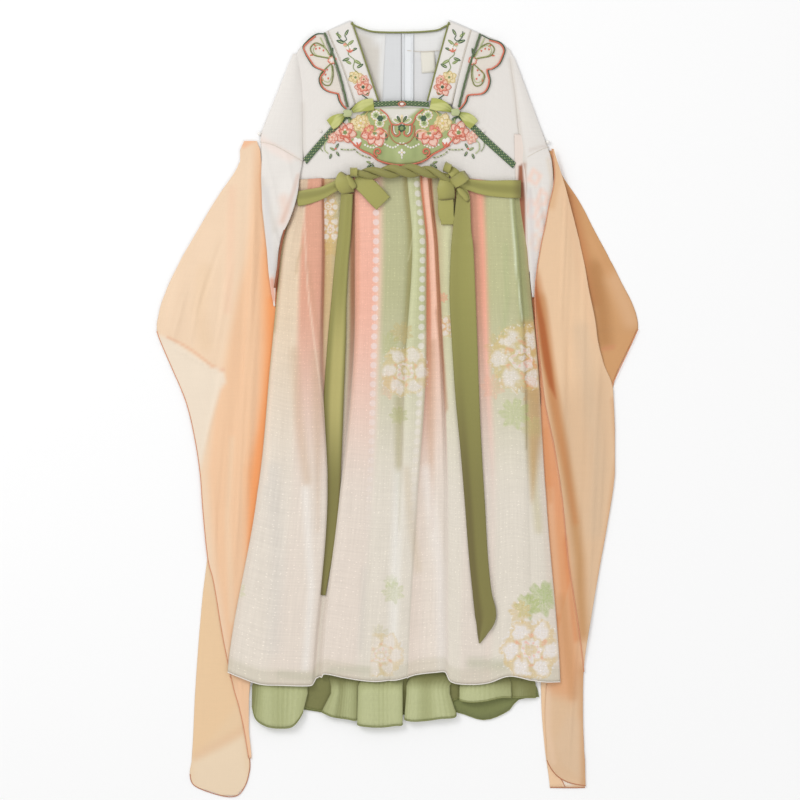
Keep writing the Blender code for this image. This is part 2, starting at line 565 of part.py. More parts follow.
def skirt_back():
    """Back skirt: flat on the surface, climbing over the wide sleeves at both sides."""
    lines = 12
    grid = []
    for j in range(lines + 1):
        t = j / lines
        y_mid = WAIST - SEAM + (HEM - WAIST) * t
        left = at_level(SKIRT_LEVELS, SKIRT_FOLDS[0].x, y_mid)
        right = at_level(SKIRT_LEVELS, SKIRT_FOLDS[-1].x, y_mid)
        rise = at_level((WAIST, HIP), (0.0, BACK_CLIMB), y_mid)
        left_foot = left + at_level(SKIRT_LEVELS, SIDE_CLIMB[0], y_mid)
        right_foot = right - at_level(SKIRT_LEVELS, SIDE_CLIMB[1], y_mid)
        line = []
        places = ((left, rise), (left_foot - CLIMB_RUN, rise), (left_foot, 0.0),
                  (0.5 * (left + right), 0.0), (right_foot, 0.0), (right_foot + CLIMB_RUN, rise),
                  (right, rise))
        for (x, z), hem in zip(places, BACK_HEM):
            line.append(Vector((x, WAIST - SEAM + (hem - WAIST) * t, z)))
        grid.append(line)
    return wall("skirt_back", grid, BLUSH, upright=True)


def underskirt_front():
    """Front of the green underskirt, flat to its last tier and waved along its hem."""
    base = CLOTH * 2 + SEAM * 2 + 0.05
    forward = []
    reach = TIER_WAVES[0].x
    for gather in TIER_WAVES:
        reach = max(reach + 1.5, gather.x)
        forward.append(reach)
    left_end, right_end = forward[0], forward[-1]
    grid = []
    for y in (WAIST - 4, KNEE, CALF, UNDER_TIER, UNDER_SWELL, -500, -514, UNDER_EDGE):
        left, right = row_at(UNDER_ROWS, y)
        wave = smooth_step((y - UNDER_SWELL) / (UNDER_EDGE - UNDER_SWELL))
        overhang = smooth_step((wave - 0.5) / 0.5)
        gathered = smooth_step((y - CALF) / (UNDER_TIER - CALF))
        line = []
        for i, gather in enumerate(TIER_WAVES):
            straight = left + (right - left) * i / (len(TIER_WAVES) - 1)
            even = left + (right - left) * (forward[i] - left_end) / (right_end - left_end)
            x = straight + (even - straight) * gathered
            x += (gather.x - x) * overhang
            line.append(Vector((x, y, base + (gather.z - base) * wave)))
        grid.append(line)
    for share in (0.5, 1.0):
        line = []
        for gather in TIER_WAVES:
            edge = min(gather.hem, UNDER_EDGE - 8)
            line.append(Vector((gather.x, UNDER_EDGE + (edge - UNDER_EDGE) * share, gather.z)))
        grid.append(line)
    return wall("underskirt_front", grid, SAGE)


def underskirt_back():
    """Back of the green underskirt, seen in the wells of the front tier."""
    columns = 14
    hem = along(BACK_TIER_HEM, columns)
    level = CLOTH + SEAM
    grid = []
    for y in (WAIST - 4, HIP, KNEE, CALF, UNDER_TIER, -500, -518):
        left, right = row_at(UNDER_ROWS, y)
        grid.append([Vector((left + (right - left) * i / columns, y, level)) for i in range(columns + 1)])
    start = grid[-1]
    grid.append([Vector((edge.x, edge.y, level)) for edge in hem])
    grid.insert(-1, [a.lerp(b, 0.5) for a, b in zip(start, grid[-1])])
    return wall("underskirt_back", grid, SAGE, upright=True)


# ---------------------------------------------------------------- bodice and sleeves
def back_bodice():
    """Two halves of the back bodice, parted by the zip."""
    zip_left = ZIP_LINE - 0.5 * SEAM
    zip_right = ZIP_LINE + 0.5 * SEAM
    left_top = SHOULDER_LEFT + tuple(p for p in BACK_NECK if p[0] < zip_left) + ((zip_left, 696),)
    right_top = ((zip_right, 696),) + tuple(p for p in BACK_NECK if p[0] > zip_right) + SHOULDER_RIGHT
    left_zip = ((zip_left, 696), (zip_left, WAIST))
    right_zip = ((zip_right, 696), (zip_right, WAIST))
    ruled_wall("bodice_back_left", left_top, ((-188, WAIST), (zip_left, WAIST)), 16, 5, on_surface,
               COOL_WHITE, upright=True, sides=(SIDE_LEFT, left_zip))
    ruled_wall("bodice_back_right", right_top, ((zip_right, WAIST), (229, WAIST)), 16, 5, on_surface,
               COOL_WHITE, upright=True, sides=(right_zip, SIDE_RIGHT))


def neck_inside():
    """What shows inside the neck on the back: zip, its guard and the bare label."""
    ruled_wall("zip_tape", ((8.5, 692), (30, 692)), ((8.5, 440), (30, 440)), 3, 4, on_back,
               IVORY, 1.2, True)
    ruled_wall("zip_guard", ((-22, 692), (7.6, 692)), ((-34, 440), (7.6, 440)), 3, 4, on_back,
               COOL_WHITE, 1.0, True)
    ruled_wall("neck_label", ((43, 659), (68, 661)), ((45, 619), (72, 621)), 2, 2, on_back,
               IVORY, 1.0, True)


def front_bodice():
    """Shirt fronts, collar bands and the chest panel, all on one domed height."""
    left_outer = ((-129.5, 697), (-101.5, 630), (-78, 560))
    right_outer = ((136.5, 699), (117.5, 630), (101, 556))
    ruled_wall("shirt_front_left", ((-187.1, 654.5), (-173.6, 672.4), (-129.5, 697)),
               ((-175.1, 457), (-136, 502), (-96.5, 544), (-78, 560)), 9, 8, bodice_height, IVORY,
               sides=(ARMHOLE_LEFT, left_outer))
    ruled_wall("shirt_front_right", ((136.5, 699), (152, 692.6), (189, 677), (203.4, 666)),
               ((101, 556), (111, 549), (135, 529), (172, 493), (219.6, 450)), 9, 8, bodice_height,
               IVORY, sides=(right_outer, ARMHOLE_RIGHT))
    ruled_wall("collar_left", ((-129, 697.4), (-86, 715)), ((-77, 561), (-37, 568)), 3, 10,
               bodice_height, IVORY, sides=(BAND_OUTER_LEFT, BAND_INNER_LEFT))
    ruled_wall("collar_right", ((97, 715), (136, 699.4)), ((57, 568), (100, 561)), 3, 10,
               bodice_height, IVORY, sides=(BAND_INNER_RIGHT, BAND_OUTER_RIGHT))
    ruled_wall("chest_panel", CHEST_TOP, CHEST_BOTTOM, 22, 5, bodice_height, IVORY)


def chest_trims():
    """Braid along the chest edge, the satin medallion and its cord."""
    runs = (("braid_left", ((-174, 461), (-136, 505), (-97, 548)), ((-168, 451), (-130, 495), (-90, 538))),
            ("braid_top", ((-44, 565.5), (8, 568), (58, 565.5)), ((-43, 556), (8, 558.5), (59, 556))),
            ("braid_right", ((110, 553), (134, 532), (171, 496), (219, 453)),
             ((103, 543), (128, 522), (165, 486), (213, 443))))
    for name, outer, inner in runs:
        ruled_wall(name, outer, inner, 9, 1, over_bodice, PINE, 1.8)
    ruled_wall("chest_medallion", MEDALLION_TOP, MEDALLION_BOTTOM, 16, 4, over_bodice, SAGE)
    rim = []
    for spot in along(MEDALLION_BOTTOM, 24):
        rim.append(Vector((spot.x, spot.y - 3.6, on_bodice(spot.x, spot.y - 3.6, 1) + 2.2)))
    round_cord("medallion_cord", rim, 1.8, CORAL)


def shoulder_trims():
    """Cloud-edged wings on the shoulders, with a rope cord beside each collar band."""
    for side, wing, cord, sign in (("left", WING_LEFT, CORD_LEFT, 1), ("right", WING_RIGHT, CORD_RIGHT, -1)):
        count = 26
        outer = along(wing, count)
        inner = [Vector((p.x - sign * 3.4, p.y, 0.0)) for p in along(cord, count)]
        left, right = (outer, inner) if side == "left" else (inner, outer)
        grid = []
        for a, b in zip(left, right):
            line = []
            for i in range(3):
                spot = a.lerp(b, i / 2)
                line.append(Vector((spot.x, spot.y, over_bodice(spot.x, spot.y))))
            grid.append(line)
        wall("wing_" + side, grid, IVORY)
        rope = [Vector((p.x, p.y, over_bodice(p.x, p.y) + 2.6)) for p in along(cord, 10)]
        round_cord("shoulder_cord_" + side, rope, 2.2, PINE)
    for side, band, lean in (("left", BAND_INNER_LEFT, 1), ("right", BAND_INNER_RIGHT, -1)):
        edge = []
        for p in along(band, 8):
            height = max(bodice_height(p.x, p.y) + 0.6, CLOTH + SEAM + 1.8)
            edge.append(Vector((p.x + lean * 2.4, p.y - 1.0, height)))
        round_cord("neck_piping_" + side, edge, 1.6, OLIVE)
    rim = [Vector((p.x, p.y - 1.2, CLOTH + SEAM + 1.8)) for p in along(BACK_NECK[1:-1], 14)]
    round_cord("neck_piping_back", rim, 1.6, OLIVE)


def bows():
    """Small organza bows at both ends of the top braid: a knot and two loops each."""
    for side, (x, y), knot_seat, loops in SMALL_BOWS:
        level = on_bodice(x, y, 1) + knot_seat
        pillow("bow_knot_" + side, (x, y, level, 6.0, 6.8, 3.2), 0.0, LIME, 5, 10)
        for part, seat, run in loops:
            stations = []
            for (px, py), half, rise in zip(run, (4.5, 9.5, 9.0), (2.2, 3.0, 1.2)):
                away = BOW_GAP if px > x else -BOW_GAP
                stations.append(Station(px + away, py, on_bodice(px, py, 1) + seat + rise, half))
            strap("bow_%s_loop_%s" % (side, part), stations, LIME, 3, 2.4, 1.2)


def white_sleeves():
    """Short inner sleeves: an upper and a lower front each, and one back each."""
    def front_height(rows, low, rise, skew):
        def height(x, y):
            left, right = row_at(rows, y)
            u = min(max((x - left) / max(right - left, 1e-6), 0.0), 1.0)
            return low(x, y) + rise * sin(pi * u ** skew) ** 0.8 * smooth_step((right - left) / 40.0)
        return height

    seam_level = CLOTH + SEAM + 0.2

    def upper_low(x, y):
        return seam_level

    def left_low(x, y):
        below = smooth_step((487 - y) / 40.0)
        over_skirt = smooth_step((440 - y) / 45.0) * smooth_step((x + 222) / 26.0)
        return seam_level + 3.2 * below + 11.0 * over_skirt

    def right_low(x, y):
        return seam_level + 2.6 * smooth_step((488 - y) / 40.0)

    def back_height(x, y):
        return 1.7 * smooth_step((487 - y) / 30.0)

    band_wall("sleeve_upper_left", LEFT_SLEEVE_UPPER, 6, 1,
              front_height(LEFT_SLEEVE_UPPER, upper_low, SLEEVE_RISE, 1.0), IVORY)
    band_wall("sleeve_upper_right", RIGHT_SLEEVE_UPPER, 6, 1,
              front_height(RIGHT_SLEEVE_UPPER, upper_low, SLEEVE_RISE, 1.0), IVORY)

    band_wall("sleeve_lower_left", LEFT_SLEEVE_LOWER, 6, 1,
              front_height(LEFT_SLEEVE_LOWER, left_low, 4.0, 1.0), IVORY)
    band_wall("sleeve_lower_right", RIGHT_SLEEVE_LOWER, 6, 1,
              front_height(RIGHT_SLEEVE_LOWER, right_low, 2.0, 0.7), IVORY)
    band_wall("sleeve_back_left", LEFT_SLEEVE_BACK, 3, 1, on_surface, IVORY, True)
    band_wall("sleeve_back_right", RIGHT_SLEEVE_BACK, 3, 1, back_height, IVORY, True)


def wide_sleeves():
    """Button-on wide sleeves: a back wall on the surface and a creased front wall each."""
    band_wall("wide_sleeve_left_back", LEFT_WIDE_BACK, 4, 1, on_surface, PEACH, True)

    def left_front(x, y):
        cover = at_level(*LEFT_COVER, y)
        if y > HEM - 8:
            cover = min(cover, at_level(SKIRT_LEVELS, SKIRT_FOLDS[0].x, y) - 9)
        free = smooth_step((cover - x) / 22.0)
        return CLOTH + SEAM + crease_height(LEFT_WIDE_CREASES, x, y) * free

    band_wall("wide_sleeve_left_front", LEFT_WIDE_FRONT, 11, 1, left_front, PEACH)
    band_wall("wide_sleeve_right_back", RIGHT_WIDE_BACK, 4, 1, on_surface, PEACH, True)

    def right_front(x, y):
        over = smooth_step((y - 110) / 110.0) * (1.0 - smooth_step((x - 300) / 40.0))
        cover = at_level(*RIGHT_COVER, y)
        if y > HEM - 20:
            cover = max(cover, at_level(SKIRT_LEVELS, SKIRT_FOLDS[-1].x, y) + 5)
        free = smooth_step((x - cover) / 20.0)
        return CLOTH + SEAM + 7.6 * over + crease_height(RIGHT_WIDE_CREASES, x, y) * free

    band_wall("wide_sleeve_right_front", RIGHT_WIDE_FRONT, 10, 1, right_front, PEACH)
    for side, x, y in (("left", -255.6, 507), ("right", 278.1, 492)):
        pillow("pearl_" + side, (x, y, 3.6, 3.5, 3.5, 3.5), 0.0, PEARL, 6, 8)


# ---------------------------------------------------------------- belt
def belt():
    """Olive belt: bands at both sides, a two-strand twist, knots, carriers, loops and tails."""
    strap("belt_left", BELT_LEFT, OLIVE, 2, 2.0, 1.4)
    strap("belt_right", BELT_RIGHT, OLIVE, 2, 2.0, 1.4)
    points = 26
    centre = along((TWIST_START, TWIST_CREST, TWIST_END), points)
    radius = STRAND_RADIUS + 0.35
    middle = TWIST_FLOOR + radius + STRAND_RADIUS
    for k, name in enumerate(("belt_strand_a", "belt_strand_b")):
        strand = []
        for i, spot in enumerate(centre):
            angle = 2.0 * pi * (TWIST_TURNS * i / points + 0.5 * k)
            strand.append(Vector((spot.x, spot.y + radius * cos(angle), middle + radius * sin(angle))))
        round_cord(name, strand, STRAND_RADIUS, OLIVE)
    pillow("knot_left", KNOT_LEFT, radians(-20), OLIVE, 6, 12)
    pillow("knot_right", KNOT_RIGHT, radians(-35), OLIVE, 6, 12)
    for side, (x, y, width) in (("left", CARRIER_LEFT), ("right", CARRIER_RIGHT)):
        grid = []
        loop = [(y + CARRIER_REACH, CARRIER_FOOT)]
        loop += [(y + CARRIER_REACH * cos(pi * k / 8), middle + CARRIER_REACH * sin(pi * k / 8))
                 for k in range(9)]
        loop.append((y - CARRIER_REACH, CARRIER_FOOT))
        for place_y, height in loop:
            grid.append([Vector((x + width * (i - 0.5), place_y, height)) for i in range(2)])
        wall("carrier_" + side, grid, OLIVE)
    strap("tail_left", TAIL_LEFT, OLIVE, 2, 1.6)
    strap("tail_right", TAIL_RIGHT, OLIVE, 2, 1.6)
    strap("bow_loop_left", LOOP_LEFT, OLIVE, 2, 4.5, 1.6)
    strap("bow_loop_right", LOOP_RIGHT, OLIVE, 2, 4.5, 1.6)


def main():
    """Clear the scene and make every piece of the dress."""
    for old in list(bpy.data.objects):
        bpy.data.objects.remove(old)
    back_bodice()
    neck_inside()
    front_bodice()
    chest_trims()
    shoulder_trims()
    bows()
    white_sleeves()
    wide_sleeves()
    skirt_back()
    underskirt_back()
    underskirt_front()
    skirt_front()
    belt()


main()
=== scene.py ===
"""Looks of a chest-high hanfu robe that lies flat on its back.

Each cloth piece is a thin shell on the form of its solid, made from the same named sizes in
millimetres.  Needlework, cords, hems and beads are meshes of their own on top of it.  +X is to the
right of the front view, +Y is up towards the neck and +Z is up from the surface under the robe.
"""

import logging
from dataclasses import dataclass
from enum import Enum
from functools import cache
from math import copysign, cos, hypot, pi, radians, sin, tau
from typing import Callable, NamedTuple, Sequence, TypeVar

import bmesh
import bpy
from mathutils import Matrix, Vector

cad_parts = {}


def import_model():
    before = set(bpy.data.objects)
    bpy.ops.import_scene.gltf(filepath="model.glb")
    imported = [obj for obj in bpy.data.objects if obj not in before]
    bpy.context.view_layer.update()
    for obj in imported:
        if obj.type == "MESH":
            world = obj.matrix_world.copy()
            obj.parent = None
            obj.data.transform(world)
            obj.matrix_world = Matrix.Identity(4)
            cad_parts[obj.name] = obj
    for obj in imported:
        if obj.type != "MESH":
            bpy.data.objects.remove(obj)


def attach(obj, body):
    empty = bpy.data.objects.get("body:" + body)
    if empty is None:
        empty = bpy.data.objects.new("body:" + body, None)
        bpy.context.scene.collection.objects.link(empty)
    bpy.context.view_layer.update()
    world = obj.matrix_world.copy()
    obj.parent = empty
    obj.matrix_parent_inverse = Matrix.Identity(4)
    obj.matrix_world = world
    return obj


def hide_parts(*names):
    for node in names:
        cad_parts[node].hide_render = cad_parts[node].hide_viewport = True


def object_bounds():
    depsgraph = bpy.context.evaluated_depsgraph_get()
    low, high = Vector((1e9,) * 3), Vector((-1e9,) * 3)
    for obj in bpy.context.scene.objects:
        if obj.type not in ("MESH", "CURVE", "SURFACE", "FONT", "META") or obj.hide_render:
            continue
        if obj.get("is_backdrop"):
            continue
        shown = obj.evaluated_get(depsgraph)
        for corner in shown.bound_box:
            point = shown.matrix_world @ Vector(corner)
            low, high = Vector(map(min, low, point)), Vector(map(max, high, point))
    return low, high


LOG = logging.getLogger("hanfu_robe")

# ---------------------------------------------------------------- driving dimensions
MM = 0.001                 # the tables are in millimetres
CLOTH = 1.2                # thickness of a cloth wall in the solids
SEAM = 0.3                 # gap between two pieces that are sewn together
SHELL_LIFT = 0.3           # from the underside of a solid wall to its thin cloth
CHIFFON = 0.45             # thickness of skirt, sleeve and ribbon cloth
LINED = 0.9                # thickness of lined bodice cloth
WAIST = 418.0              # height of the chest seam above the origin, along +Y
HIP = 292.0                # levels below it at which the skirt folds are stated
KNEE = 80.0
CALF = -160.0
HEM = -490.0
UNDER_TIER = -429.0        # where the green tier leaves the flat underskirt
UNDER_SWELL = -484.0       # where its waves begin to rise
UNDER_EDGE = -528.0        # where it stands at its full wave
TOP_LIMIT = 717.0          # half the length of the whole robe
BODICE_RISE = 6.0          # how far the front bodice stands off the back bodice
BACK_CLIMB = 3.1           # height of the back skirt's side edges, over the wide sleeves
CLIMB_RUN = 7.0            # how far its slope up to them reaches inwards
TWIST_FLOOR = 12.4         # underside of the twisted belt, over the rim of the medallion
LAYER = CLOTH + SEAM       # from one cloth wall to the next above it
FRONT_EASE = 0.2           # how far the front cloths stand off what is under them
TRIM_EASE = 0.15           # the same for what is sewn on the bodice
ZIP_TOP = 696.0            # upper end of the zip
LEAST_STEP = 0.6           # least step across the skirt's folds, so that no lap turns under
FAR_AWAY = 1e9             # a distance longer than any on the robe
TINY = 1e-9                # least length that is divided by

BODICE_LEVELS = (720, 655, 450, WAIST)     # levels at which the bodice's sides are stated
BODICE_LEFT = (-195, -190, -176, -190)     # its left side at each of them
BODICE_RIGHT = (210, 206, 229, 229)        # its right side
SHOULDER_SLOPE = 0.56      # fall of the shoulder line to each millimetre outwards
NECK_MIDDLE = 6.0          # middle of the neck, along +X
NECK_REACH = 93.0          # from there to where the shoulder line begins to fall
SHOULDER_RUN = 70.0        # how far below the shoulder line the front stands at its full height

Colour = tuple[float, float, float]
Point = tuple[float, float]
Grid = list[list[Vector]]
Height = Callable[[float, float], float]
Paint = Callable[[float, float, Vector], Colour]
Ripple = Callable[[float, float], float]
Socket = bpy.types.NodeSocket
Mesh = bmesh.types.BMesh
Knot = TypeVar("Knot", float, Vector)


class Row(NamedTuple):
    """Left and right edge of a piece at one height."""

    y: float
    left: float
    right: float


class Fold(NamedTuple):
    """One line of the skirt: x and z at waist, hip, knee, calf and hem, and its height at the hem."""

    name: str
    x: tuple[float, ...]
    z: tuple[float, ...]
    hem: float


class Gather(NamedTuple):
    """One place along the waved green tier, and how far the wave leans there at its top."""

    name: str
    x: float
    z: float
    hem: float
    lean: float = 0.0


class Station(NamedTuple):
    """Centre and half width of a flat strap."""

    x: float
    y: float
    z: float
    half: float


class Crease(NamedTuple):
    """A soft ridge from one place to another."""

    x_top: float
    y_top: float
    x_end: float
    y_end: float
    width: float
    height: float


class Stripe(NamedTuple):
    """A stripe of the skirt between two places along its row of folds; most are dyed, and those in the fold
    recesses are painted shade.
    """

    start: float
    end: float
    colour: Colour


class Wash(NamedTuple):
    """A soft stroke of dye or shade along a line."""

    line: tuple[Point, ...]
    width: float
    colour: Colour
    strength: float


class Field(NamedTuple):
    """A soft-edged area of dye or shade."""

    outline: tuple[Point, ...]
    soft: float
    colour: Colour
    strength: float


def dye(red: int, green: int, blue: int) -> Colour:
    """Turn a colour as it is seen, 0 to 255, into the linear values that shaders read."""
    return tuple((c / 255.0 / 12.92) if c <= 10 else ((c / 255.0 + 0.055) / 1.055) ** 2.4
                 for c in (red, green, blue))


# ---------------------------------------------------------------- colours
IVORY = dye(230, 225, 219)
NECK_WHITE = dye(230, 229, 227)
SHADOW_WHITE = dye(205, 198, 189)
PALE_PEACH = dye(246, 216, 184)
CREAM = dye(228, 219, 207)
# painted shade that darkens the skirt's fold valleys
UMBER = dye(160, 106, 72)
# painted highlight on the crowns of the tier's waves
GREEN_LIT = dye(194, 198, 150)
GREEN = dye(174, 178, 128)
# painted shade in the tier's wells and under the skirt's hem
GREEN_SHADED = dye(124, 124, 74)
OLIVE = dye(142, 138, 70)
# painted light on the olive satin
OLIVE_LIT = dye(164, 160, 86)
# painted shade on the olive satin
OLIVE_SHADED = dye(102, 90, 40)
# painted sheen on the left tail's middle
OLIVE_SHEEN = dye(192, 182, 112)
LIME = dye(180, 184, 92)
# painted highlight and painted shade of the lime ribbon's folds
LIME_LIT = dye(208, 210, 134)
LIME_SHADED = dye(134, 144, 60)
SATIN = dye(164, 176, 116)
TIER_BACK = dye(124, 130, 78)
HEM_BAND = dye(186, 180, 150)
WIDE_LEFT_BACK = dye(240, 208, 168)
WIDE_RIGHT = dye(240, 203, 164)
# a darker copy of the right sleeve's organza, as painted shade of its inside
WIDE_RIGHT_BACK_SHADED = dye(214, 160, 106)
SLEEVE_LINING = dye(232, 218, 208)
PAPER = dye(252, 252, 252)

# ---------------------------------------------------------------- weave and prints
SLUB_SCALES = ((420.0, 14.0), (16.0, 360.0))   # noise across and down, for both ways of the slubs
SPECK_SCALE = 150.0        # noise scale of the specks
SPECK_REACH = 0.15
FLOSS_SCALE = 900.0        # noise scale of the wandering floss
HAND_SCALE = 62.0          # noise scale of the wobble of hand-printed edges
WORN_SCALE = 320.0         # noise scale of the worn print
LEAST_FLAT = 0.0101        # least side of a cut, in metres
LEAST_SHARE = 0.301        # least share of its box that a cut is taken to fill
DOT_STEP = 17.6            # from one printed dot to the next, in millimetres
DOT_RADIUS = 6.7
DOT_EDGE = 0.6             # how quickly the print sets in at a dot's edge
DOT_STRENGTH = 0.54
DOT_DYE = dye(238, 230, 230)
ROUNDEL_INKS = (("Ground", dye(220, 190, 128), 0.60), ("Pale", dye(234, 229, 228), 0.80),
                ("Warm", dye(236, 158, 132), 0.55))

# ---------------------------------------------------------------- skirt front, left to right
SKIRT_LEVELS = (WAIST, HIP, KNEE, CALF, HEM)
SKIRT_FOLDS = (
    Fold("left_edge", (-188, -214, -235, -259, -314), (1.8, 4.7, 4.7, 4.7, 4.7), -488),
    Fold("left_roll", (-178, -203, -223, -245, -295), (7, 10, 11, 11, 10.5), -496),
    Fold("left_dip", (-169, -186, -197, -210, -254), (7.5, 9.5, 10, 9.5, 10.5), -510),
    Fold("left_swell", (-160, -169, -171, -177, -214), (9, 14, 15, 15, 13), -512),
    Fold("fold_a_crest", (-149, -150, -154, -147, -177), (10.5, 16.5, 18.5, 18, 14.5), -513),
    Fold("fold_a_edge", (-141, -140, -143, -132, -158), (10, 14.5, 16.5, 16, 12.5), -512),
    Fold("fold_a_tuck", (-147, -147, -150, -140, -164), (6.6, 6.8, 7, 7, 7.5), -507),
    Fold("strip_a", (-131, -131, -134, -127, -157), (6.2, 5.8, 5.8, 5.8, 7.2), -500),
    Fold("strip_b", (-96, -95, -97, -113, -149), (6.2, 5.8, 5.8, 5.8, 7.2), -498),
    Fold("fold_b_tuck", (-74, -72, -75, -100, -142), (6.6, 6.8, 7, 7, 7.5), -496),
    Fold("fold_b_edge", (-80, -79, -82, -107, -149), (9.8, 13, 14.5, 14, 12), -497),
    Fold("fold_b_crest", (-71, -68, -73, -95, -135), (11, 16, 17.5, 16.5, 14), -491),
    Fold("fold_b_shoulder", (-55, -53, -56, -64, -97), (11, 14, 14.5, 14, 12.5), -498),
    Fold("sage_dip", (-25, -25, -32, -42, -68), (8.4, 9.5, 10, 10, 9.5), -503),
    Fold("sage_swell", (-1, 5, -5, -16, -40), (10.2, 12.5, 13.5, 13, 12.5), -505),
    Fold("crease_tuck", (24, 34, 21, 12, -6), (6.8, 7, 7.2, 7.6, 9), -503),
    Fold("crease_edge", (17, 27, 14, 5, -15), (10.2, 12.6, 13.6, 13.4, 12.4), -503),
    Fold("crease_crest", (27, 38, 27, 18, -1), (11, 14.2, 15.2, 15, 13.6), -502),
    Fold("green_edge", (38, 50, 50, 34, 16), (10, 12.5, 13.5, 12.5, 11), -498),
    Fold("green_tuck", (32, 43, 40, 26, 10), (6.6, 6.6, 6.6, 7.2, 9.2), -498),
    Fold("coral_valley", (44, 56, 60, 49, 36), (6.6, 6.4, 6.4, 7.4, 9), -492),
    Fold("coral_crest", (52, 64, 71, 75, 71), (10.4, 12.6, 13.4, 13.4, 12.6), -488),
    Fold("coral_edge", (57, 69, 80, 88, 86), (9.8, 11.4, 12.2, 12, 11), -487),
    Fold("coral_tuck", (53, 63, 74, 87, 91), (6.6, 6.6, 7, 10.8, 9.4), -492),
    Fold("print_strip", (66, 76, 86, 93, 96), (6.6, 6.6, 8, 11.2, 10.6), -503),
    Fold("print_rise", (82, 92, 100, 106, 106), (8.6, 10.4, 11.4, 12.2, 13), -508),
    Fold("under_tail", (110, 118, 123, 132, 123), (10, 12.4, 12.8, 13.2, 13.4), -510),
    Fold("rose_crest", (138, 145, 154, 166, 151), (10.6, 13, 13.4, 13.6, 12.8), -510),
    Fold("rose_dip", (160, 164, 171, 181, 173), (8.4, 9.4, 9.6, 10, 10.4), -506),
    Fold("jade_swell", (184, 190, 203, 212, 206), (10.6, 13.8, 15.4, 15, 14), -495),
    Fold("jade_edge", (212, 222, 234, 240, 245), (9.4, 12, 13, 12, 12), -502),
    Fold("jade_tuck", (206, 215, 228, 240, 249), (6.4, 6.8, 7.4, 10.4, 10.8), -503),
    Fold("right_panel", (219, 228, 244, 258, 273), (6.4, 7.4, 9.4, 11, 10.6), -506),
    Fold("right_edge", (229, 240, 260, 275, 301), (1.8, 4.7, 4.7, 4.7, 4.7), -506),
)

# ---------------------------------------------------------------- waved tier of the underskirt
TIER_WAVES = (
    Gather("left_end", -269, 4, -551),
    Gather("lobe_1_rise", -262, 8, -575, 5),
    Gather("lobe_1_crown", -243, 11, -588),
    Gather("lobe_1_middle", -219, 10, -592),
    Gather("lobe_1_fall", -193, 11, -588, 5),
    Gather("lobe_1_edge", -175, 8.5, -562, 8),
    Gather("lobe_1_tuck", -180, 3.9, -551, 8),
    Gather("well_1", -160, 3.6, -557),
    Gather("lobe_2_tuck", -133, 3.9, -561, 16),
    Gather("lobe_2_edge", -140, 8, -562, 17),
    Gather("lobe_2_crown", -123, 10.5, -570, 11),
    Gather("lobe_2_dip", -110, 7.5, -573, 6),
    Gather("lobe_2_swell", -93, 10, -575, 3),
    Gather("lobe_2_fall", -77, 7.5, -578),
    Gather("lobe_3_tuck", -67, 4.6, -572),
    Gather("lobe_3_edge", -74, 9.4, -585, 1.5),
    Gather("lobe_3_crown", -56, 12, -589),
    Gather("lobe_3_middle", -29, 11, -590),
    Gather("lobe_3_swell", -5, 12, -587),
    Gather("lobe_3_fall", 9, 9, -585),
    Gather("lobe_3_tuck_right", 4, 3.9, -566),
    Gather("lobe_4_tuck", 20, 3.9, -564),
    Gather("lobe_4_edge", 13, 9, -575, 4),
    Gather("lobe_4_crown", 27, 12, -579, 3),
    Gather("lobe_4_dip", 53, 9, -578),
    Gather("lobe_4_swell", 79, 11.5, -574, -6),
    Gather("lobe_4_fall", 108, 8.5, -570, -12),
    Gather("lobe_4_tuck_right", 101, 3.9, -544, -12),
    Gather("flap_tuck", 122, 3.9, -536),
    Gather("flap_edge", 115, 9.5, -540),
    Gather("flap_crown", 134, 12, -544),
    Gather("flap_middle", 162, 11, -542),
    Gather("flap_fall", 190, 9.5, -533),
    Gather("flap_tip", 210, 8, -520),
    Gather("flap_tuck_right", 204, 4, -522),
    Gather("point_crest", 222, 6.5, -534),
    Gather("point_fall", 234, 6, -518),
    Gather("right_end", 256, 3.6, -522),
)
SIDE_CLIMB = ((40, 40, 42, 44, 52), (40, 40, 42, 44, 46))   # left and right, at the skirt's levels
UNDER_ROWS = (Row(WAIST, -145, 186), Row(HIP, -169, 196), Row(KNEE, -188, 214), Row(CALF, -211, 227),
              Row(UNDER_TIER, -246, 244), Row(-500, -258, 250), Row(UNDER_EDGE, -266, 262))
BACK_HEM = (-488, -492, -495, -500, -502, -504, -506)      # the back skirt's hem, left to right
BACK_TIER_HEM = ((-266, -546), (-170, -558), (-90, -568), (40, -566), (105, -562), (160, -577),
                 (205, -560), (222, -540), (262, -534))

# ---------------------------------------------------------------- wide sleeves
LEFT_WIDE_FRONT = (
    Row(494, -284, -260), Row(477, -291, -254), Row(453, -293, -251), Row(388, -334, -243),
    Row(333, -367, -238), Row(278, -399, -232), Row(211, -430, -225), Row(166, -443, -221),
    Row(142, -445, -217), Row(122, -438, -217), Row(78, -419, -214), Row(11, -391, -212),
    Row(-56, -375, -217), Row(-122, -365, -227), Row(-189, -360, -234), Row(-278, -351, -243),
    Row(-322, -340, -251), Row(-413, -325, -262), Row(-479, -312, -269), Row(-522, -302, -274),
    Row(-553, -293, -275), Row(-594, -284, -275), Row(-648, -275, -270))
LEFT_WIDE_BACK = (
    Row(492, -282, -262), Row(477, -290, -256), Row(453, -291, -252), Row(388, -332, -245),
    Row(333, -365, -240), Row(278, -397, -234), Row(211, -428, -227), Row(166, -440, -223),
    Row(144, -441, -219), Row(130, -430, -217), Row(104, -380, -217), Row(78, -338, -216),
    Row(59, -326, -216), Row(11, -336, -214), Row(-56, -343, -219), Row(-122, -343, -228),
    Row(-189, -347, -236), Row(-278, -352, -245), Row(-344, -360, -254), Row(-411, -366, -262),
    Row(-477, -371, -269), Row(-540, -375, -275), Row(-610, -378, -278), Row(-655, -381, -273),
    Row(-677, -384, -275), Row(-699, -375, -282), Row(-TOP_LIMIT, -326, -297))
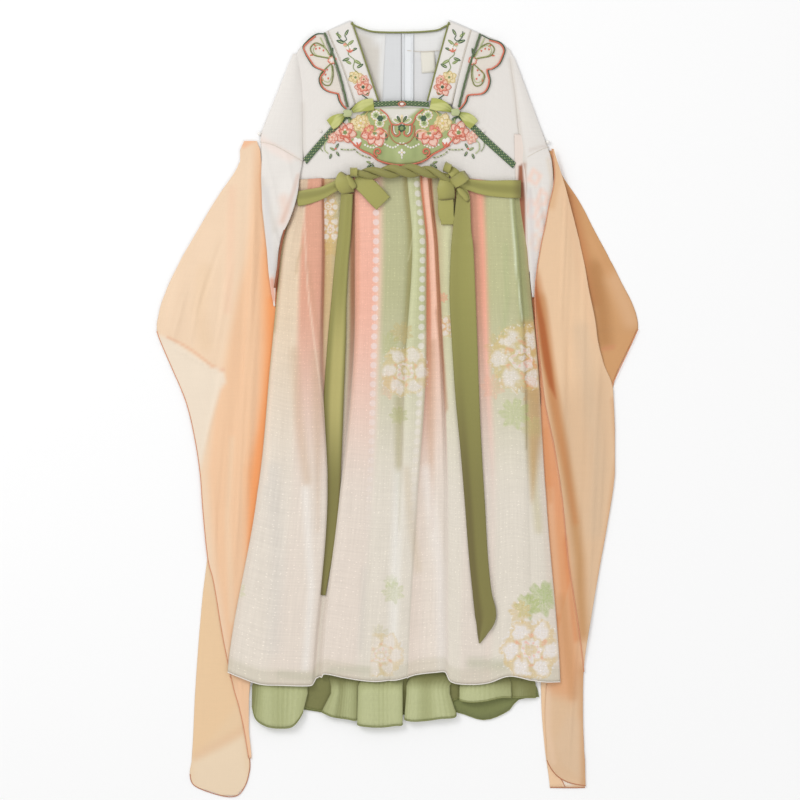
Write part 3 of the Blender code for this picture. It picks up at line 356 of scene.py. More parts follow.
RIGHT_WIDE_BACK = (
    Row(476, 280, 288), Row(438, 277, 301), Row(381, 264, 337), Row(329, 252, 364),
    Row(274, 245, 393), Row(231, 240, 415), Row(189, 234, 436), Row(154, 228, 445),
    Row(139, 227, 441), Row(100, 225, 423), Row(59, 225, 404), Row(11, 227, 395),
    Row(-78, 236, 395), Row(-152, 241, 391), Row(-211, 245, 382), Row(-300, 249, 365),
    Row(-388, 258, 352), Row(-477, 264, 341), Row(-566, 267, 340), Row(-633, 273, 343),
    Row(-703, 282, 347))
RIGHT_WIDE_FRONT = (
    Row(479, 285, 289), Row(438, 290, 301), Row(409, 288, 310), Row(376, 280, 319),
    Row(337, 273, 329), Row(311, 267, 336), Row(265, 259, 346), Row(218, 254, 354),
    Row(165, 255, 365), Row(122, 258, 371), Row(80, 262, 382), Row(44, 264, 397),
    Row(11, 266, 400), Row(-41, 258, 402), Row(-122, 254, 402), Row(-211, 258, 389),
    Row(-300, 264, 373), Row(-388, 271, 358), Row(-477, 277, 345), Row(-566, 273, 343),
    Row(-633, 276, 345), Row(-655, 278, 346))
LEFT_WIDE_CREASES = (
    Crease(-262, 480, -285, -430, 9, 5.5),
    Crease(-290, 430, -330, -180, 14, 5.0),
    Crease(-338, 330, -352, 20, 18, 3.5),
    Crease(-290, 60, -305, -480, 8, 4.0),
    Crease(-402, 250, -420, 120, 12, 3.0))
RIGHT_WIDE_CREASES = (
    Crease(316, 350, 345, -60, 12, 4.0),
    Crease(345, 250, 375, -120, 14, 5.5),
    Crease(300, 200, 312, -300, 9, 4.5),
    Crease(370, -20, 345, -480, 10, 4.0),
    Crease(318, -260, 312, -640, 9, 4.0))

# ---------------------------------------------------------------- bodice outline
BACK_NECK = ((-86, 712), (-73, 706), (-49, 698), (-19, 696), (15, 696), (45, 697), (73, 700),
             (86, 706), (97, 712))
SHOULDER_LEFT = ((-187.4, 655), (-174, 673), (-134, 696), (-88, TOP_LIMIT))
SHOULDER_RIGHT = ((99, TOP_LIMIT), (153, 694), (190, 678), (203.4, 666))
ARMHOLE_LEFT = ((-187.1, 654.5), (-182.6, 633), (-177.6, 600), (-175.7, 560), (-175.3, 503), (-175.1, 457))
ARMHOLE_RIGHT = ((203.4, 666), (208.2, 645), (213.4, 610), (218.4, 577), (221.2, 545), (223.6, 518),
                 (226.4, 490), (219.6, 450))
SIDE_LEFT = ((-187.4, 655), (-178, 600), (-175.6, 503), (-176, 452), (-188, WAIST))
SIDE_RIGHT = ((203.4, 666), (213.8, 610), (224.2, 518), (227.6, 488), (229, WAIST))
ZIP_LINE = 19.0
BAND_INNER_LEFT = ((-86, 715), (-37, 568))
BAND_OUTER_LEFT = ((-129, 697.4), (-101, 630), (-77, 561))
BAND_INNER_RIGHT = ((97, 715), (57, 568))
BAND_OUTER_RIGHT = ((136, 699.4), (117, 630), (100, 561))
CHEST_TOP = ((-176, 454), (-136, 499), (-97, 541), (-76, 556), (-44, 563), (10, 565.5), (60, 563),
             (90, 554), (110, 546), (134, 526), (171, 490), (219, 447))
CORD_LEFT = ((-135, 694), (-117, 646), (-105, 609), (-92, 556))
CORD_RIGHT = ((153, 692), (131, 625), (113, 556))
WING_LEFT = ((-138, 692), (-153, 690), (-174, 671), (-172, 658), (-164, 643), (-155, 631),
             (-142, 625), (-137, 622), (-145, 610), (-142, 595), (-132, 586), (-119, 582),
             (-112, 580), (-109, 569), (-103, 559), (-97, 553))
WING_RIGHT = ((156, 690), (171, 682), (190, 676), (199, 664), (196, 650), (189, 636), (177, 627),
              (168, 624), (172, 606), (168, 590), (159, 581), (143, 579), (132, 577), (128, 566),
              (121, 556), (116, 552))
BOW_GAP = 3.2              # from a small bow's knot to each of its loops
SMALL_BOWS = (                             # side, knot, its seat, then each loop's seat and run
    ("left", (-92, 544), 5.3, (("left", 1.2, ((-98, 541), (-108, 534), (-122, 524))),
                               ("right", 0.5, ((-85, 548), (-68, 557), (-47, 561))))),
    ("right", (107, 546), 5.5, (("left", 0.5, ((101, 549), (86, 557), (64, 562))),
                                ("right", 1.2, ((114, 543), (126, 536), (139, 524))))))
MEDALLION_TOP = ((-108, 512), (-88, 530), (-45, 552), (8, 555), (61, 552), (103, 530), (123, 512))

# ---------------------------------------------------------------- white sleeves
LEFT_SLEEVE_UPPER = (
    Row(655, -193, -188), Row(633, -202, -183.5), Row(600, -215, -178.5), Row(560, -231, -176.5),
    Row(530, -243, -176.2), Row(503, -253, -176.1), Row(489, -253, -176.1))
LEFT_SLEEVE_LOWER = (
    Row(487, -252, -176.2), Row(460, -251, -176.4), Row(425, -252, -181), Row(400, -251, -184),
    Row(371, -250, -191), Row(344, -247, -201), Row(318, -244, -214), Row(290, -241, -220),
    Row(250, -238, -224), Row(210, -233, -226), Row(188, -229, -226.5))
RIGHT_SLEEVE_UPPER = (
    Row(664, 204.5, 207), Row(645, 209.5, 217), Row(610, 214.5, 230), Row(577, 219.5, 242),
    Row(545, 222.5, 254), Row(518, 225, 264), Row(490, 228, 274))
RIGHT_SLEEVE_LOWER = (
    Row(488, 228.5, 275), Row(462, 231.5, 284), Row(440, 236, 287), Row(410, 238.5, 289),
    Row(370, 239.5, 290), Row(320, 240, 286), Row(270, 243.5, 272), Row(235, 246, 263),
    Row(205, 249, 255))
LEFT_SLEEVE_BACK = (
    Row(655, -193, -188.6), Row(633, -202, -184.2), Row(560, -231, -177.2), Row(503, -252, -176.6),
    Row(470, -247, -177.6),
    Row(450, -244, -183), Row(WAIST + 2, -240, -191))
RIGHT_SLEEVE_BACK = (
    Row(664, 204.8, 207), Row(645, 210.2, 217), Row(577, 220.2, 242), Row(518, 225.8, 264),
    Row(490, 229, 273), Row(450, 230, 262), Row(WAIST + 2, 230.4, 254))
SLEEVE_RISE = 7.0

# ---------------------------------------------------------------- belt
STRAND_RADIUS = 4.6
TAIL_LEFT = (
    Station(-93.5, 396, 12.0, 11), Station(-94.5, 375, 11.0, 11.3), Station(-98, 320, 8.6, 12),
    Station(-103, 270, 7.8, 12.6), Station(-108, 200, 7.6, 14), Station(-112, 126, 7.6, 16.7),
    Station(-117.5, 20, 7.6, 18.5), Station(-119, -60, 7.6, 17), Station(-121, -160, 7.6, 14.2),
    Station(-126, -240, 7.6, 11.6), Station(-134, -310, 7.8, 7), Station(-137.5, -346, 8.2, 4))
TAIL_RIGHT = (
    Station(119, 388, 14.6, 12), Station(119, 365, 15.0, 14), Station(119, 330, 15.2, 17),
    Station(119.5, 290, 15.2, 21), Station(120, 210, 15.4, 24), Station(124, 120, 15.6, 23.5),
    Station(129, 20, 15.8, 22), Station(136, -80, 16.0, 19.5), Station(143, -180, 16.0, 18.5),
    Station(149, -270, 16.0, 17.5), Station(156, -340, 16.0, 17.5), Station(163, -385, 16.0, 13),
    Station(168, -410, 15.8, 8), Station(151.5, -434, 15.6, 1.5))
LEFT_COVER = ((494, 418, 292, 188, KNEE, CALF, -485, -520, -650),
              (-262, -252, -240, -229, -235, -259, -313, -262, -250))
RIGHT_COVER = ((494, 418, 292, KNEE, CALF, -500, -530, -660), (270, 280, 256, 260, 275, 301, 268, 270))

# ---------------------------------------------------------------- dye and painted shade of the skirt
SKIRT_STRIPES = (
    Stripe(-1, 0.3, dye(186, 178, 126)),
    Stripe(0.3, 2.4, dye(230, 208, 180)),
    Stripe(2.4, 5.2, dye(222, 164, 138)),
    # painted shade in the tuck of fold a
    Stripe(5.2, 6.7, dye(190, 128, 98)),
    Stripe(6.7, 7.4, dye(226, 202, 150)),
    Stripe(7.4, 8.3, dye(204, 206, 166)),
    # painted shade in the recess beside the left tail
    Stripe(8.3, 9.5, dye(156, 112, 80)),
    Stripe(9.5, 10.9, dye(228, 166, 140)),
    Stripe(10.9, 12.6, dye(244, 184, 162)),
    Stripe(12.6, 12.85, dye(246, 206, 186)),
    Stripe(12.85, 14.6, dye(186, 185, 143)),
    Stripe(14.6, 15.5, dye(158, 160, 108)),
    Stripe(15.5, 17, dye(204, 206, 162)),
    Stripe(17, 19, dye(190, 192, 146)),
    Stripe(19, 20.2, dye(222, 140, 108)),
    Stripe(20.2, 21.6, dye(246, 196, 172)),
    # painted shade under the edge of the coral fold
    Stripe(21.6, 23.7, dye(196, 134, 98)),
    Stripe(23.7, 25.6, dye(212, 210, 168)),
    # rose dye darkened with the painted shadow of the right tail
    Stripe(25.6, 27.4, dye(200, 145, 119)),
    Stripe(27.4, 27.95, dye(244, 172, 146)),
    Stripe(27.95, 29.9, dye(190, 189, 145)),
    Stripe(29.9, 32.5, dye(160, 166, 112)),
    Stripe(32.5, 33, dye(196, 172, 128)))
SKIRT_SHADES = (
    Field(((55, 126), (71, 126), (69, -41), (64, -226), (55, -41)), 7.4, dye(196, 150, 116), 0.5),
    Wash(((72, 182), (85, 78), (91, -4)), 5.55, dye(186, 132, 98), 0.6),
    Field(((-6, 24), (8, 24), (8, -78), (3, -226), (-5, -78)), 6.475, dye(176, 168, 120), 0.5),
    Wash(((-187, 248), (-184, 274), (-176, 297)), 4.625, dye(196, 166, 130), 0.5),
    Wash(((-190, 104), (-184, -11), (-167, -133)), 16.65, dye(206, 176, 146), 0.45),
    Field(((-158, 107), (-142, 107), (-138, -41), (-147, -226), (-156, -41)), 9.25, dye(198, 168, 138),
          0.45),
    Wash(((-226, 136), (-236, 6), (-243, -133)), 7.4, dye(246, 226, 206), 0.4),
    Wash(((49, 136), (42, 6), (32, -133)), 7.4, dye(244, 232, 214), 0.35),
    Wash(((199, 300), (202, 202), (186, 38)), 9.25, dye(172, 182, 132), 0.4),
    Wash(((238, 6), (252, -133), (261, -224)), 14.8, dye(196, 184, 136), 0.45),
    Field(((210, 392), (214, 329), (219, 270), (225, 218), (230, 159), (254, 159), (249, 218), (241, 270),
           (236, 329), (228, 392)), 3.33, dye(162, 166, 118), 0.66),
    Wash(((210, 392), (214, 329), (218, 270), (224, 218), (230, 163)), 2.405, dye(224, 230, 200), 0.75),
    Wash(((-173, 374), (-169, 270), (-164, 204), (-153, 117), (-142, 33), (-134, -22)), 2.96,
         dye(242, 216, 192), 0.55),
    Wash(((-166, 270), (-156, 204), (-143, 117), (-132, 33)), 7.4, dye(206, 156, 128), 0.5),
    Wash(((34, 425), (32, 333), (20, 274)), 2.96, dye(226, 228, 190), 0.3),
    Field(((234, 159), (256, 159), (265, 15), (267, -41), (258, -115), (249, -170), (243, -96)), 9.25,
          dye(192, 154, 100), 0.8),
    Wash(((233, 159), (235, 89), (237, -4), (238, -78)), 2.405, dye(146, 128, 86), 0.6),
    Wash(((16, -115), (27, -224), (38, -297)), 14.8, dye(212, 196, 172), 0.5),
    Wash(((-61, -297), (-64, -370), (-68, -443)), 11.1, dye(206, 200, 190), 0.35),
    Wash(((-229, -115), (-221, -297), (-229, -443)), 25.9, dye(212, 206, 198), 0.4),
    Wash(((-170, -151), (-159, -334), (-170, -480)), 12.95, dye(240, 236, 230), 0.5),
    Field(((-5, -115), (8, -115), (5, -281), (-3, -448), (-16, -448), (-12, -281)), 9.25,
          dye(242, 240, 234), 0.6),
    Wash(((53, -115), (78, -297), (82, -480)), 18.5, dye(238, 232, 226), 0.45),
    Wash(((-218, -491), (-155, -498)), 12.95, dye(190, 188, 168), 0.55),
    Wash(((-123, -484), (-46, -484)), 11.1, dye(196, 196, 176), 0.45),
    Wash(((137, -471), (195, -474)), 18.5, dye(184, 184, 158), 0.6))
SKIRT_RIPPLES = (
    Crease(-84, 411, -92, 200, 3, 1.2),
    Crease(-47, 407, -51, 274, 3, 1),
    Crease(-21, 411, -14, 144, 4, 1.1),
    Crease(5, 413, 12, 200, 3, 1),
    Crease(27, 414, 23, 274, 3, 0.9),
    Crease(60, 411, 71, 274, 3, 1),
    Crease(88, 403, 95, 200, 3, 0.9),
    Crease(149, 411, 156, 200, 4, 1.2),
    Crease(175, 411, 179, 274, 3, 0.9),
    Crease(201, 411, 201, 144, 3, 1),
    Crease(-125, 411, -130, 274, 3, 1),
    Crease(-166, 403, -180, 200, 3, 1),
    Crease(-23, 144, -40, -281, 6, 1.6),
    Crease(-84, 52, -103, -355, 6, 1.5),
    Crease(134, 126, 130, -392, 6, 1.5),
    Crease(190, 144, 186, -355, 6, 1.4),
    Crease(227, 15, 234, -429, 5, 1.4),
    Crease(-208, 107, -240, -355, 6, 1.4),
    Crease(-147, 15, -171, -355, 5, 1.2),
    Crease(5, -22, -10, -392, 5, 1.2),
    Crease(79, -133, 79, -429, 5, 1.3))
# painted shade over the middle of the skirt's back, under the front
BACK_PAINTED_SHADE = (
    Field(((-180, 200), (190, 200), (301, -503), (-273, -503)), 55.5, SHADOW_WHITE, 0.5),)
# ---------------------------------------------------------------- dye and painted shade of the wide sleeves
LEFT_FRONT_DYES_AND_SHADE = (
    Field(((-262, 514), (-265, 440), (-273, 337), (-280, 274), (-295, 211), (-310, 137), (-321, 70),
           (-339, -4), (-351, -115), (-339, -281), (-306, -503), (-280, -651), (-180, -651), (-180, 514)),
           11.1, dye(247, 200, 158), 0.85),
    Wash(((-306, 403), (-308, 292), (-314, 181)), 14.8, dye(244, 196, 164), 0.35),
    Wash(((-356, 255), (-365, 181), (-356, 117)), 25.9, dye(234, 200, 160), 0.35),
    Field(((-251, 431), (-243, 348), (-251, 274), (-251, 181), (-251, 107), (-254, 33), (-262, -41),
           (-280, -115), (-280, -281), (-273, -429), (-180, -429), (-180, 431)), 11.1, dye(250, 176, 118),
           0.9),
    Wash(((-232, 200), (-232, 107), (-240, 15), (-251, -59), (-262, -133), (-269, -281)), 14.8,
         dye(250, 158, 88), 0.8),
    Wash(((-284, 487), (-269, 496)), 11.1, dye(250, 178, 130), 0.6),
    Wash(((-251, 477), (-251, 366)), 5.55, dye(250, 186, 140), 0.5),
    Field(((-445, 137), (-413, 124), (-376, 98), (-343, 76), (-321, 70), (-317, 48), (-328, 33),
           (-347, -33), (-365, -115), (-384, -115), (-458, 104)), 5.55, dye(244, 230, 210), 0.8),
    Wash(((-425, 131), (-402, 120), (-376, 104), (-343, 78), (-321, 70)), 4.81, dye(236, 176, 136), 0.55),
    Wash(((-273, -22), (-284, -170), (-284, -281)), 5.55, dye(250, 200, 156), 0.5),
    Wash(((-306, -59), (-314, -207), (-306, -392)), 11.1, dye(244, 214, 180), 0.5),
    # painted shadow: deep rust on the sleeve's inner fold, in the gap between the white sleeve and the
    # skirt
    Wash(((-221, 344), (-210, 326), (-216, 270), (-225, 222)), 12.95, dye(178, 84, 40), 0.95),
    Wash(((-297, -429), (-310, -522), (-319, -596)), 14.8, dye(224, 180, 134), 0.55))
LEFT_BACK_DYES = (
    Field(((-384, -281), (-338, -355), (-291, -540), (-384, -670)), 11.1, dye(242, 206, 162), 0.8),
    Field(((-384, -646), (-282, -596), (-269, -725), (-384, -725)), 14.8, dye(244, 222, 192), 0.8),
    Wash(((-373, -644), (-332, -623), (-288, -598)), 16.65, dye(230, 180, 134), 0.4))
RIGHT_FRONT_DYES_AND_SHADE = (
    Wash(((291, 474), (295, 422), (284, 374)), 14.8, dye(226, 178, 128), 0.6),
    Wash(((306, 403), (325, 311), (347, 215), (365, 126)), 12.95, dye(244, 202, 162), 0.5),
    Field(((280, 15), (397, 70), (408, -96), (386, -281), (356, -466), (352, -707), (264, -707),
           (264, -355), (273, -133)), 40.7, dye(226, 190, 152), 0.85),
    Wash(((338, 144), (356, 15), (371, -115), (364, -226)), 27.75, dye(218, 190, 158), 0.5),
    Wash(((399, 15), (406, -87), (391, -207), (371, -327)), 9.25, dye(214, 162, 116), 0.55),
    # painted shade: the front's shaded edge beside the skirt, tan-brown with dark rust wedges
    Wash(((262, 200), (269, 117), (284, 43), (295, -22), (306, -81), (317, -144), (327, -207), (336, -281),
          (339, -355), (343, -420)), 20.35, dye(198, 146, 90), 0.85),
    Field(((253, 270), (262, 246), (277, 181), (286, 117), (293, 52), (301, -4), (312, -68), (323, -142),
           (334, -216), (325, -216), (310, -133), (295, -59), (282, 6), (271, 70), (262, 144), (254, 218)),
           7.4, dye(204, 136, 80), 0.75),
    Field(((249, 263), (257, 231), (265, 191), (273, 154), (279, 117), (286, 70), (293, 18), (280, 41),
           (271, 78), (265, 117), (260, 154), (251, 209)), 4.07, dye(178, 92, 30), 0.9),
    Field(((253, 163), (258, 142), (265, 70), (273, 6), (290, -74), (305, -174), (315, -278), (319, -318),
           (293, -429), (264, -540), (256, -281), (245, -115)), 2.22, dye(230, 150, 96), 0.8),
    Field(((293, -207), (306, -207), (314, -278), (325, -355), (336, -429), (343, -488), (323, -540),
           (264, -522), (264, -392)), 16.65, dye(228, 162, 110), 0.7),
    # painted highlight
    Wash(((282, -155), (286, -226), (293, -309), (297, -374)), 12.95, dye(236, 190, 150), 0.55),
    Wash(((310, -244), (314, -290), (321, -355), (330, -429)), 9.25, dye(222, 138, 80), 0.55),
    Wash(((273, -41), (278, -115), (282, -170)), 9.25, dye(222, 146, 88), 0.5),
    Wash(((304, -355), (315, -448), (325, -531)), 16.65, dye(206, 148, 96), 0.55),
    Wash(((343, -485), (345, -577), (347, -697)), 16.65, dye(206, 152, 102), 0.7),
    # painted highlight on the left of the cuff
    Wash(((278, -522), (278, -596), (288, -655)), 11.1, dye(240, 206, 174), 0.55),
    Field(((315, -566), (338, -581), (338, -684), (304, -659), (291, -618)), 9.25, dye(228, 196, 162), 0.6))
RIGHT_BACK_DYES_AND_SHADE = (
    Wash(((247, 270), (254, 181), (260, 117), (267, 43), (275, -22)), 9.25, dye(240, 150, 96), 0.9),
    # painted shade: dark golden brown inside the back layer along its fold
    Wash(((314, 392), (332, 318), (351, 244), (362, 200)), 24.05, dye(198, 124, 70), 0.7),
    Wash(((365, 259), (378, 181), (384, 126)), 27.75, dye(186, 130, 74), 0.8),
    Wash(((402, 237), (421, 192), (432, 163)), 29.6, dye(228, 182, 138), 0.7),
    Wash(((380, 109), (399, 113)), 7.4, dye(214, 140, 100), 0.6),
    Wash(((358, 311), (391, 244)), 9.25, dye(220, 164, 112), 0.5),
    Field(((245, -392), (449, -392), (449, -725), (245, -725)), 18.5, dye(246, 208, 168), 0.95),
    Field(((304, -683), (323, -694), (347, -699), (308, -701)), 2.775, dye(246, 236, 222), 0.9))
LEFT_WIDE_RIPPLES = (
    Crease(-262, 403, -273, 163, 3, 2),
    Crease(-251, 348, -280, -22, 3, -1.6),
    Crease(-277, 200, -299, -281, 3, 2.2),
    Crease(-306, 274, -339, 89, 4, 1.8),
    Crease(-325, 311, -373, 163, 4, -1.4),
    Crease(-356, 255, -384, 117, 3, 1.6),
    Crease(-391, 218, -417, 117, 3, 1.4),
    Crease(-430, 117, -325, 63, 3, 2),
    Crease(-325, 63, -360, -87, 3, 1.8),
    Crease(-291, 15, -317, -355, 4, 2),
    Crease(-317, -22, -336, -281, 3, -1.4),
    Crease(-339, -115, -336, -337, 3, 1.4),
    Crease(-280, -281, -291, -540, 3, 1.8),
    Crease(-306, -355, -291, -540, 3, -1.2))
RIGHT_WIDE_RIPPLES = (
    Crease(312, 403, 301, 144, 3, 2),
    Crease(323, 329, 312, -59, 4, -1.4),
    Crease(345, 274, 341, -115, 4, 2),
    Crease(375, 107, 356, -207, 4, 2),
    Crease(301, -41, 286, -429, 3, 2),
    Crease(315, -133, 304, -540, 4, -1.2),
    Crease(338, -115, 327, -577, 4, 1.8),
    Crease(364, -133, 349, -429, 3, 1.6),
    Crease(382, -41, 371, -244, 3, 1.6),
    Crease(330, -429, 315, -670, 3, 1.6))
LEFT_HEM = tuple((row.left, row.y) for row in LEFT_WIDE_FRONT if row.y <= 142)
RIGHT_EDGE = tuple((row.left, row.y) for row in RIGHT_WIDE_FRONT if row.y >= -112)
RIGHT_HEM = ((445, 146), (426, 104), (397, 43))
# ---------------------------------------------------------------- painted shade and print of the white cloths
# painted shade on the white cloths, mostly along the sleeves' edges and in the gaps beside them, a few
# paler strokes, and the right sleeve's pink printed rings
WHITE_PRINT_AND_SHADE = (
    Wash(((-256, 494), (-227, 487), (-175, 455)), 5.55, dye(214, 190, 176), 0.35),
    Wash(((-251, 422), (-227, 329)), 11.1, dye(206, 198, 188), 0.45),
    Wash(((-175, 561), (-175, 459)), 9.25, dye(212, 204, 194), 0.4),
    Wash(((208, 644), (223, 533), (236, 450)), 7.4, dye(212, 203, 192), 0.5),
    Wash(((245, 477), (273, 485)), 5.55, dye(210, 196, 186), 0.5),
    Wash(((-143, 477), (-116, 533)), 14.8, dye(238, 233, 226), 0.5),
    Wash(((134, 514), (190, 477)), 14.8, dye(238, 232, 224), 0.5),
    # painted shade on the right sleeve's steep inner side, in the gap by the bodice
    Field(((223, 453), (238, 453), (238, 403), (227, 403)), 3.7, dye(196, 160, 138), 0.8),
    Wash(((230, 450), (232, 385), (238, 307)), 5.55, dye(214, 184, 168), 0.7),
    # painted shade along the left sleeve's inner edge, by the gap to the skirt
    Wash(((-210, 385), (-206, 363), (-212, 344)), 18.5, dye(234, 204, 188), 0.6),
    Wash(((-184, 429), (-193, 396), (-204, 366), (-212, 346)), 7.4, dye(216, 180, 162), 0.5),
    Wash(((-251, 496), (-227, 477), (-199, 462)), 14.8, dye(242, 222, 212), 0.6),
    Wash(((-243, 403), (-240, 329), (-232, 255)), 12.95, dye(214, 212, 212), 0.5),
    Wash(((-232, 237), (-230, 200)), 9.25, dye(232, 150, 110), 0.7),
    Wash(((251, 440), (264, 429), (256, 414), (243, 422), (251, 440)), 7.4, dye(244, 208, 190), 0.7),
    Wash(((265, 403), (278, 392), (273, 377), (258, 381), (265, 403)), 7.4, dye(244, 208, 190), 0.7),
    Wash(((245, 385), (260, 370), (253, 352), (240, 359), (245, 385)), 7.4, dye(242, 206, 190), 0.7),
    Wash(((271, 359), (278, 344), (267, 329), (256, 340), (271, 359)), 7.4, dye(238, 204, 188), 0.7),
    Wash(((251, 322), (264, 311), (258, 292), (247, 300), (251, 322)), 7.4, dye(240, 210, 190), 0.7),
    Wash(((278, 459), (286, 422), (282, 385)), 7.4, dye(226, 214, 196), 0.6),
    Wash(((245, 403), (249, 311), (254, 237)), 7.4, dye(216, 208, 206), 0.6))
MEDALLION_SHADES = (
    Wash(((-29, 462), (-25, 496)), 9.25, dye(146, 158, 100), 0.6),
    Wash(((32, 466), (31, 496)), 9.25, dye(146, 158, 100), 0.6),
    Wash(((1, 474), (3, 455)), 12.95, dye(186, 196, 140), 0.6),
    Field(((-36, 555), (1, 522), (42, 555)), 3.7, dye(228, 224, 216), 0.9))
CHEST_SEAM = ((-190, 421), (-150, 423), (-95, 425), (-50, 430), (10, 431), (60, 429.5), (105, 425),
              (150, 421), (190, 418), (229, 417))
MEDALLION_EDGE = ((-104, 505), (-93, 501), (-81, 489), (-66, 477), (-48, 468.6), (-36, 459), (-17, 452.5),
                  (9, 449.5), (36, 453), (53, 460), (66, 470), (86, 481), (100, 494), (109, 503),
                  (119, 505))
LEFT_TUCK = ((388, 365, 333, 278, 211, 200), (-243, -200, -196, -205, -213, -214))
RIGHT_CUFF = (Row(-651, 276, 346.6), Row(-665, 283, 346.9), Row(-679, 294, 347.2),
              Row(-688, 307, 347.5), Row(-694, 322, 347.7), Row(-698, 340, 347.9))
LEFT_BACK_HEM = tuple((r.left, r.y) for r in LEFT_WIDE_BACK if r.y < -660) \
    + tuple((r.right, r.y) for r in reversed(LEFT_WIDE_BACK) if r.y < -575)
LEFT_INNER_HEM = ((-310, -496), (-293, -529), (-278, -559), (-277, -579), (-282, -590))
RIGHT_BACK_HEM = ((283, -702), (308, -702.4), (330, -702.4), (346, -702))
RIGHT_INNER_HEM = ((288, -673), (302, -686), (310, -701))
RIGHT_LAP = ((254, 218), (256, 163), (265, 70), (273, 6), (290, -74), (305, -174), (315, -278), (327, -355),
             (338, -429), (345, -488))
RIGHT_CUFF_HEM = ((276, -651), (283, -665), (294, -679), (307, -688), (322, -694), (348, -699))
NECK_SHADES = (
    Wash(((-84, 703), (-69, 662), (-55, 622), (-36, 570)), 11.1, dye(186, 174, 154), 0.85),
    Field(((-95, 710), (-32, 673), (-38, 524), (-58, 524)), 5.55, dye(208, 201, 190), 0.8),
    Field(((29, 659), (79, 659), (60, 570), (29, 570)), 7.4, dye(214, 214, 216), 0.6))
WHITE_CREASES = (
    Crease(-251, 496, -217, 357, 3, 1.6),
    Crease(-208, 477, -188, 385, 3, 1.4),
    Crease(-236, 357, -199, 237, 3, 1.6),
    Crease(256, 625, 273, 496, 3, 1.4),
    Crease(241, 440, 278, 292, 4, 1.8),
    Crease(264, 440, 273, 329, 3, -1),
    Crease(-291, 551, -251, 496, 3, 1.2))
# ---------------------------------------------------------------- belt as it lies
TWIST_RUN = ((-79, 432), (-40, 434), (8, 437.5), (50, 436.5), (75, 431), (95, 422))
BELT_LEFT_RUN = (Station(-186, 386, 11, 13.5), Station(-166, 390, 13, 13.5), Station(-140, 397, 14, 11),
                 Station(-122, 406, 14.6, 9.5), Station(-106, 414, 15.5, 9))
BELT_RIGHT_RUN = (Station(112, 417, 19, 8.5), Station(128, 413, 17, 9.7), Station(140, 410.5, 15.4, 11),
                  Station(152, 408, 14.2, 12.5), Station(172, 405.5, 13.6, 14.2),
                  Station(200, 404.5, 13.2, 16),
                  Station(228, 404, 10.6, 16.5))
TAIL_RIGHT_RUN = (Station(116, 408, 17.5, 9), Station(119, 396, 16.6, 11.5), Station(121, 383, 15.6, 13)) \
    + TAIL_RIGHT[2:11] + (Station(162.5, -384, 15.8, 19.5), Station(156, -416, 15.6, 9),
                          Station(151, -434, 15.4, 0.8))
BELT_FOLDS = (                              # name, solid piece, crown and run
    ("knot_left_wrap", ["knot_left"], 2.4,
     (Station(-96.9, 432.1, 11, 7), Station(-99.1, 427.7, 19, 12), Station(-98.5, 419, 22.6, 17),
      Station(-95.1, 408.7, 21.4, 16.5), Station(-92.4, 400.5, 16, 12.5),
      Station(-91.5, 396.9, 10.4, 11.5))),
    ("knot_left_tuck", [], 1.2,
     (Station(-91, 430, 20, 3), Station(-90, 422.4, 23.4, 5), Station(-83.9, 413.3, 23.6, 5.5),
      Station(-78.1, 405.4, 20.5, 4.5))),
    ("carrier_left_strap", ["carrier_left"], 0.6,
     (Station(-80.9, 443.9, 12, 6.6), Station(-80.9, 443, 24, 6.8), Station(-80.6, 439.1, 31, 6.8),
      Station(-80.6, 433.8, 32.2, 6.8), Station(-80.6, 428.4, 29, 6.6), Station(-80.6, 426, 20, 6.4))),
    ("carrier_right_strap", ["carrier_right"], 0.6,
     (Station(95.2, 452.4, 12, 6.2), Station(94.6, 451.2, 24, 6.6), Station(93.1, 447, 31, 6.8),
      Station(91.3, 442.1, 31.8, 6.8), Station(89.5, 436.6, 28, 6.4), Station(88.6, 434.5, 20, 6))),
    ("knot_right_strip", [], 1.4,
     (Station(93.4, 443.6, 18, 5), Station(99.5, 437.5, 24, 8), Station(107.1, 430.7, 25, 9),
      Station(113.1, 423.1, 20, 8))),
    ("knot_right_fold", [], 3,
     (Station(91.1, 424.6, 18, 7), Station(88.6, 416.3, 23.5, 12), Station(88.9, 405.7, 25, 15.5),
      Station(90.1, 393.5, 22, 15.5), Station(91.1, 384.4, 15.5, 14.2))),
    ("knot_right_wrap", ["knot_right"], 2.2,
     (Station(97.2, 409.5, 14, 8), Station(102.8, 414.5, 24, 9.8), Station(112.2, 419.9, 28.6, 10.6),
      Station(121.5, 426.6, 26.5, 10.4), Station(128, 431.2, 14, 8.4))),
    ("tail_right_fold", [], 1,
     (Station(111.6, 407.2, 22, 3), Station(116.9, 399.6, 22.4, 5), Station(123.8, 392, 20.6, 5),
      Station(130.6, 381.4, 17.6, 2.6))))
BELT_LOOPS = (                              # name, solid piece, run, gap, puff and slide
    ("bow_loop_left_cloth", "bow_loop_left",
     (Station(-77.8, 423.6, 17, 12), Station(-66, 415.5, 16.6, 15.5),
      Station(-52.3, 404.9, 15.4, 17.5), Station(-38.7, 390.5, 13.6, 17.8),
      Station(-29.2, 380.6, 12.4, 17.2)), 4.4, 2.4, 0),
    ("bow_loop_right_cloth", "bow_loop_right",
     (Station(92.2, 392, 15, 13), Station(93.4, 379.9, 14.4, 14.5),
      Station(93.7, 364.7, 13.4, 14.6), Station(93.7, 352.5, 12.6, 14.2), Station(93.7, 342.8, 12.2, 13.4)),
      4.6, 2.2, 4.5))
# path of a dark cord of painted shadow in the gap beside the left white sleeve
LEFT_GAP_SHADE = ((-199, 366), (-208, 333), (-215, 298), (-221, 259), (-227, 222))
RIGHT_LINING = (((216, 507), (217, 450), (221, 385), (227, 311), (238, 252)),
                ((247, 503), (247, 450), (245, 385), (245, 311), (249, 252)))
